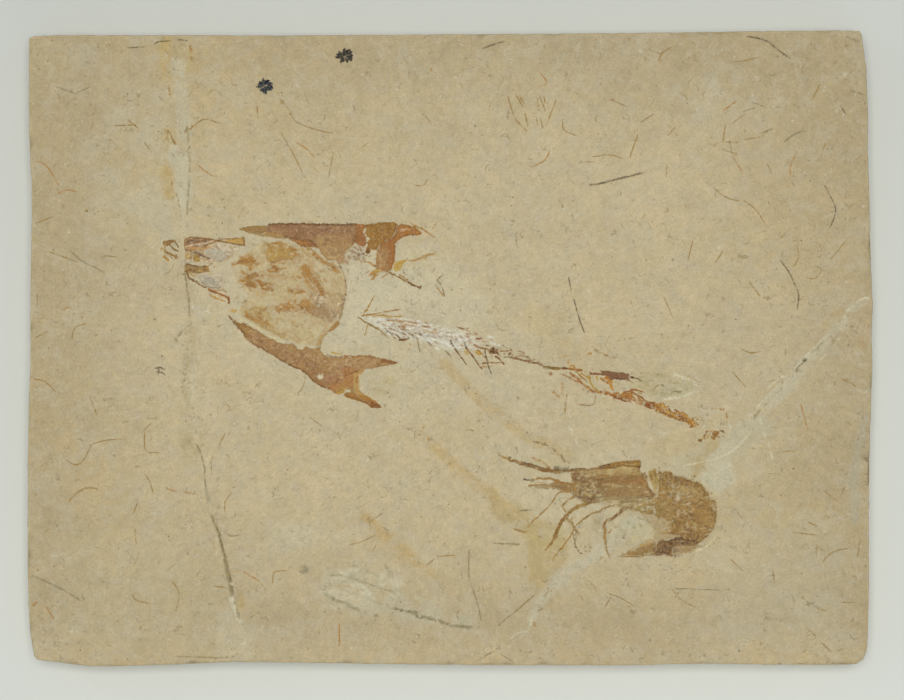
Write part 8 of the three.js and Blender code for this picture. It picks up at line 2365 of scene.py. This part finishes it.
def paint_tail_stem(face):
    face.height = 0.65
    face.area("59,-16 60,-16.1 61.2,-16.4 62.6,-16.7 63.4,-16.3 64.2,-16.6 64.6,-17.5 64.9,-18.1"
              " 65,-17.6 65.5,-17.5 65.8,-18.3 66.4,-19.1 67.2,-19.3 67.2,-18.9 66.8,-18.6 67.4,-18.5"
              " 68.6,-19 69.8,-19.4 70.8,-19.7 71.3,-20.2 71.4,-20.8 72,-21.3 72.8,-21.2 73.4,-21.8"
              " 73.9,-22.6 74.8,-22.9 74.6,-23.3 73.8,-23.2 73.4,-23.8 72.8,-24.2 72,-24.3 71.7,-23.9"
              " 72.1,-23.5 71.6,-23.1 71.1,-22.5 70.2,-22.3 69.4,-22.1 68.6,-21.9 67.8,-21.7 67.2,-21.4"
              " 66.4,-21.1 65.4,-20.9 64.6,-20.5 63.9,-20 62.8,-19.7 61.8,-19.4 61.5,-18.9 61.4,-18.4"
              " 60.4,-18.6 59.4,-18.3 58.6,-17.8 58.1,-17.4", (172, 119, 43))
    stem = "58,-16 64,-16.4 68,-18.6 74.6,-22.8 72.4,-24.2 66,-21 60,-18.6"
    face.tint(stem, (130, 77, 23), 0.75, 0.4, 0.8, 0.0, -30, 2)
    face.tint(stem, (206, 165, 81), 0.6, 0.3, 0.6, 0.2, -30, 1.8)
    face.tint("58,-16 61.6,-16.3 61.4,-18.6 58,-17.8", (124, 65, 19), 0.8, 0.5)
    face.tint("58.6,-16.2 60,-16.2 59.6,-17", (176, 113, 47), 0.5, 0.3)
    face.line("65.3,-17.8 66.4,-19.3 68,-19.9 69.4,-20.8 71.4,-21.8", 0.4, (118, 71, 23), height=0.75)
    face.line("62,-18.8 63.6,-19.4 65.6,-20.4 67.8,-21.2", 0.35, (140, 87, 29), height=0.7)
    face.line("63.8,-17.2 64.6,-18.8", 0.35, (214, 185, 113), height=0.6)
    face.line("65.8,-19.6 67.4,-20.4 69,-21.2", 0.3, (214, 173, 91), height=0.6)
    face.line("69,-19.6 70.8,-20.6 72.4,-21.8", 0.35, (196, 143, 57), height=0.65)
    for place in ("72.6,-23.6", "62.5,-17.9", "63.6,-19.6", "68,-18.9", "70.4,-21.6", "73.6,-22.6"):
        face.dot(place, (0.8, 0.6), (108, 63, 19), 0.75)
    face.dot("74.2,-21.7", 0.8, (172, 117, 47), 0.4)
    face.line("73.6,-23.8 74.4,-23.4", 0.35, (182, 129, 53), height=0.4)
    face.wear(stem, 0.6, 0.3, 0.6, 0.35)
    face.crumbs("61,-17.4 67,-20.2 73.6,-23.4", 1.2, 50, 0.6, (140, 88, 34), 0.6, 0.5)
    face.roughen(0.6, 0.16)


def paint_tail_end_front(face):
    face.height = 0.45
    face.dot("75,-27.8", (1.2, 1), (124, 88, 27))
    face.line("76.3,-27 76.5,-26.1 77,-25.3", 0.6, (138, 93, 31))
    face.line("77,-26.8 77.5,-26.3", 0.5, (182, 145, 73), height=0.3)
    face.line("76.6,-27.4 77.4,-27", 0.35, (170, 129, 63), height=0.3)
    face.line("75.8,-27 76.4,-27.6", 0.35, (188, 154, 87), height=0.3)


def paint_tail_end_rear(face):
    face.height = 0.45
    face.line("78.6,-27 79.1,-27.3 79.4,-26.6 79.7,-26 79.9,-25.4 80.4,-25.6", 0.9, (158, 113, 53))
    face.dot("79.6,-25.9", (2, 1.9), (168, 127, 67))
    face.tint("78.4,-27.4 80.8,-27 80.8,-25 78.6,-25", (116, 80, 35), 0.7, 0.3, 0.5, 0.05)
    face.line("81,-24.9 82,-25.1 82.4,-25.6", 0.4, (116, 90, 52))
    face.line("78,-25.4 78.8,-25", 0.5, (182, 146, 101), height=0.3)
    face.line("80.2,-26.6 80.8,-27", 0.35, (150, 113, 57), height=0.35)


FOSSILS = [
    ("shrimp", "shrimp_shell", 0.17, paint_shrimp),
    ("fish_snout_tip", "dark_bone", 0.13, paint_snout_tip),
    ("fish_snout", "plum_bone", 0.15, paint_snout),
    ("fish_upper_eye", "grey_bone", 0.15, paint_upper_eye),
    ("fish_lower_eye", "grey_bone", 0.15, paint_lower_eye),
    ("fish_jaw_plate", "dark_bone", 0.14, paint_jaw_plate),
    ("fish_chin_bone", "dark_bone", 0.13, paint_chin_bone),
    ("fish_skull", "ochre_bone", 0.19, paint_skull),
    ("fish_upper_plate", "plum_bone", 0.17, paint_upper_plate),
    ("fish_upper_spine", "ochre_bone", 0.16, paint_upper_spine),
    ("fish_lower_plate", "plum_bone", 0.18, paint_lower_plate),
    ("fish_fin_ray", "dark_bone", 0.13, paint_fin_ray),
    ("fish_neck_bones", "dark_bone", 0.13, paint_neck_bones),
    ("fish_back_bones", "dark_bone", 0.13, paint_back_bones),
    ("fish_front_rib", "dark_bone", 0.12, paint_front_rib),
    ("fish_second_rib", "dark_bone", 0.12, paint_second_rib),
    ("fish_middle_vertebrae", "dark_bone", 0.13, paint_middle_vertebrae),
    ("fish_backbone", "dark_bone", 0.14, paint_backbone),
    ("fish_tail_rays", "ochre_bone", 0.13, paint_tail_rays),
    ("fish_tail_stem", "ochre_bone", 0.13, paint_tail_stem),
    ("fish_tail_end_front", "ochre_bone", 0.12, paint_tail_end_front),
    ("fish_tail_end_rear", "ochre_bone", 0.12, paint_tail_end_rear),
]


# ---------------------------------------------------------------- loose grains on the stone


class Tree:
    """A geometry node tree under construction."""

    def __init__(self, name):
        self.group = bpy.data.node_groups.new(name, "GeometryNodeTree")
        self.names = {}

    def socket(self, name, kind, direction="INPUT"):
        made = self.group.interface.new_socket(name=name, in_out=direction, socket_type=kind)
        self.names[name] = made.identifier

    def add(self, kind, settings, inputs):
        node = self.group.nodes.new(kind)
        for name, value in settings.items():
            setattr(node, name, value)
        for name, value in inputs.items():
            if isinstance(value, bpy.types.NodeSocket):
                self.group.links.new(value, node.inputs[name])
            else:
                node.inputs[name].default_value = value
        return node


def grain_tree(finish):
    """Strews small flattened grains over the faces that look up."""
    tree = Tree("calcite_grains")
    tree.socket("Slab", "NodeSocketGeometry")
    tree.socket("Grains", "NodeSocketGeometry", "OUTPUT")
    tree.socket("Per square metre", "NodeSocketFloat")
    tree.socket("Smallest", "NodeSocketFloat")
    tree.socket("Largest", "NodeSocketFloat")
    tree.socket("Seed", "NodeSocketInt")
    given = tree.add("NodeGroupInput", {}, {}).outputs
    facing = tree.add("GeometryNodeInputNormal", {}, {})
    split = tree.add("ShaderNodeSeparateXYZ", {}, {0: facing.outputs[0]})
    upward = tree.add("ShaderNodeMath", {"operation": "GREATER_THAN"}, {0: split.outputs["Z"], 1: 0.9})
    places = tree.add("GeometryNodeDistributePointsOnFaces", {}, {
        "Mesh": given["Slab"],
        "Selection": upward.outputs[0],
        "Density": given["Per square metre"],
        "Seed": given["Seed"],
    })
    ball = tree.add("GeometryNodeMeshIcoSphere", {}, {"Radius": 1.0, "Subdivisions": 1})
    flat = tree.add("GeometryNodeTransform", {}, {0: ball.outputs["Mesh"], "Scale": (1.0, 0.7, 0.4)})
    size = tree.add("FunctionNodeRandomValue", {"data_type": "FLOAT"}, {
        2: given["Smallest"],
        3: given["Largest"],
        "Seed": given["Seed"],
    })
    turn = tree.add("FunctionNodeRandomValue", {"data_type": "FLOAT_VECTOR"}, {
        "Min": (-0.2, -0.2, 0.0),
        "Max": (0.2, 0.2, 6.28),
        "Seed": given["Seed"],
    })
    grains = tree.add("GeometryNodeInstanceOnPoints", {}, {
        "Points": places.outputs["Points"],
        "Instance": flat.outputs[0],
        "Rotation": turn.outputs["Value"],
        "Scale": size.outputs[1],
    })
    loose = tree.add("GeometryNodeRealizeInstances", {}, {0: grains.outputs["Instances"]})
    dressed = tree.add("GeometryNodeSetMaterial", {}, {0: loose.outputs[0], "Material": finish})
    tree.add("NodeGroupOutput", {}, {0: dressed.outputs[0]})
    return tree


# The sizes are in metres.
GRAIN_SETTINGS = {"Per square metre": 24000.0, "Smallest": 0.0001, "Largest": 0.00034, "Seed": 11}


def build_grains(slab, finish):
    tree = grain_tree(finish)
    grains = bpy.data.objects.new("calcite_grains", slab.data.copy())
    bpy.context.scene.collection.objects.link(grains)
    strew = grains.modifiers.new("strew", "NODES")
    strew.node_group = tree.group
    for name, value in GRAIN_SETTINGS.items():
        strew[tree.names[name]] = value
    bpy.context.view_layer.update()
    ready = grains.evaluated_get(bpy.context.evaluated_depsgraph_get())
    plain = bpy.data.meshes.new_from_object(ready)
    grains.modifiers.remove(strew)
    plain.materials.clear()
    plain.materials.append(finish)
    grains.data = plain
    return grains


CALCITE = (0.56, 0.52, 0.39, 1.0)
RUSTY_CALCITE = (0.30, 0.19, 0.08, 1.0)


def grain_finish():
    """Pale calcite with a rusty grain here and there."""
    f = Finish("calcite")
    mm = f.millimetres()
    rusty = (f.noise(mm, 0.7, 2.0, 0.5) - 0.5).ramp(0.0, 0.05)
    colour = f.blend(rusty, CALCITE, RUSTY_CALCITE)
    colour = f.scale(colour, 0.8 + 0.4 * f.noise(mm, 5.0, 3.0, 0.6))
    return f.finish({"Base Color": colour, "Roughness": 0.7 - 0.1 * rusty, "Specular IOR Level": 0.3})


# ---------------------------------------------------------------- the object

limestone = fossil_stone("limestone", 0.8, 0.9, 0.9, 0.5, 0.4)

slab = build_slab(limestone)
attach(slab, "root")
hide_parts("slab")

grains = build_grains(slab, grain_finish())
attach(grains, "root")

FINISHES = {
    "shrimp_shell": fossil_stone("shrimp_shell", 0.7, 0.84, 0.9, 0.9, 0.4),
    "plum_bone": fossil_stone("plum_bone", 0.6, 0.92, 0.8, 0.9, 0.35),
    "ochre_bone": fossil_stone("ochre_bone", 0.64, 0.84, 0.9, 0.9, 0.35),
    "grey_bone": fossil_stone("grey_bone", 0.6, 0.76, 0.8, 0.6, 0.3),
    "dark_bone": fossil_stone("dark_bone", 0.66, 0.88, 1.0, 0.9, 0.35),
}

for number, (node, slot, pace, paint) in enumerate(FOSSILS):
    relief = build_fossil(node, pace, paint, FINISHES[slot], 200 + 10 * number)
    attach(relief, "root")
    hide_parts(node)

for node in frame["nodes"].values():
    slot_name = next(s["material_slot"] for s in frame["record"]["subparts"] if s["node"] == node.name)
    node.data.materials.clear()
    node.data.materials.append(FINISHES.get(slot_name, limestone))

# ---------------------------------------------------------------- floor, light and camera


FLOOR_REACH = 2  # metres, each way from the middle
FLOOR_COLOUR = (0.735, 0.752, 0.700)


def make_floor():
    mesh = bpy.data.meshes.new("pale_floor")
    r = FLOOR_REACH
    mesh.from_pydata([(-r, -r, 0), (r, -r, 0), (r, r, 0), (-r, r, 0)], [], [[0, 1, 2, 3]])
    f = Finish("pale_floor")
    where = f.place()
    grain = f.noise(where, 60.0, 3.0, 0.5)
    down = f.add("ShaderNodeSeparateXYZ", {}, {0: where}, "Y")
    along = f.add("ShaderNodeSeparateXYZ", {}, {0: where}, "X")
    # painted light: the floor is brighter towards the front and a little towards the right
    colour = f.scale(FLOOR_COLOUR, 0.995 + 0.02 * grain - 0.62 * down + 0.2 * along)
    mesh.materials.append(f.finish({"Base Color": colour, "Roughness": 0.9, "Specular IOR Level": 0.1}))
    floor = bpy.data.objects.new("pale_floor", mesh)
    bpy.context.scene.collection.objects.link(floor)


def add_panel(name, place, size, power):
    """A soft rectangular light that looks at the middle of the slab."""
    light = bpy.data.lights.new(name, "AREA")
    light.shape = "RECTANGLE"
    light.size, light.size_y = size
    light.energy = power
    panel = bpy.data.objects.new(name, light)
    panel.location = place
    panel.rotation_euler = (Vector() - Vector(place)).to_track_quat("-Z", "Y").to_euler()
    bpy.context.scene.collection.objects.link(panel)


make_floor()
add_panel("overhead_panel", (0.0, 0.06, 1.15), (0.5, 0.45), 7.8)
add_panel("side_fill", (-1.1, 0.3, 0.5), (0.7, 0.7), 1.3)
add_panel("front_fill", (0.3, -1.1, 0.5), (0.7, 0.7), 1.0)

world = bpy.data.worlds.new("soft_room")
world.use_nodes = True
glow = world.node_tree.nodes["Background"]
glow.inputs["Color"].default_value = (0.95, 1.0, 0.98, 1)
glow.inputs["Strength"].default_value = 0.26
bpy.context.scene.world = world
bpy.context.scene.view_settings.view_transform = "Standard"
bpy.context.scene.view_settings.look = "None"

FAR = 0.70  # metres from the camera to the slab's face
VIEW_WIDTH = 0.2712  # metres that the picture shows from side to side
view = bpy.data.cameras.new("straight_down")
view.sensor_fit = "HORIZONTAL"
view.sensor_width = 36.0
view.lens = view.sensor_width * FAR / VIEW_WIDTH
view.clip_start = 0.05
view.clip_end = 10.0
camera = bpy.data.objects.new("straight_down", view)
camera.location = (0.6 * MM, -0.75 * MM, FACE * MM + FAR)
bpy.context.scene.collection.objects.link(camera)
bpy.context.scene.camera = camera
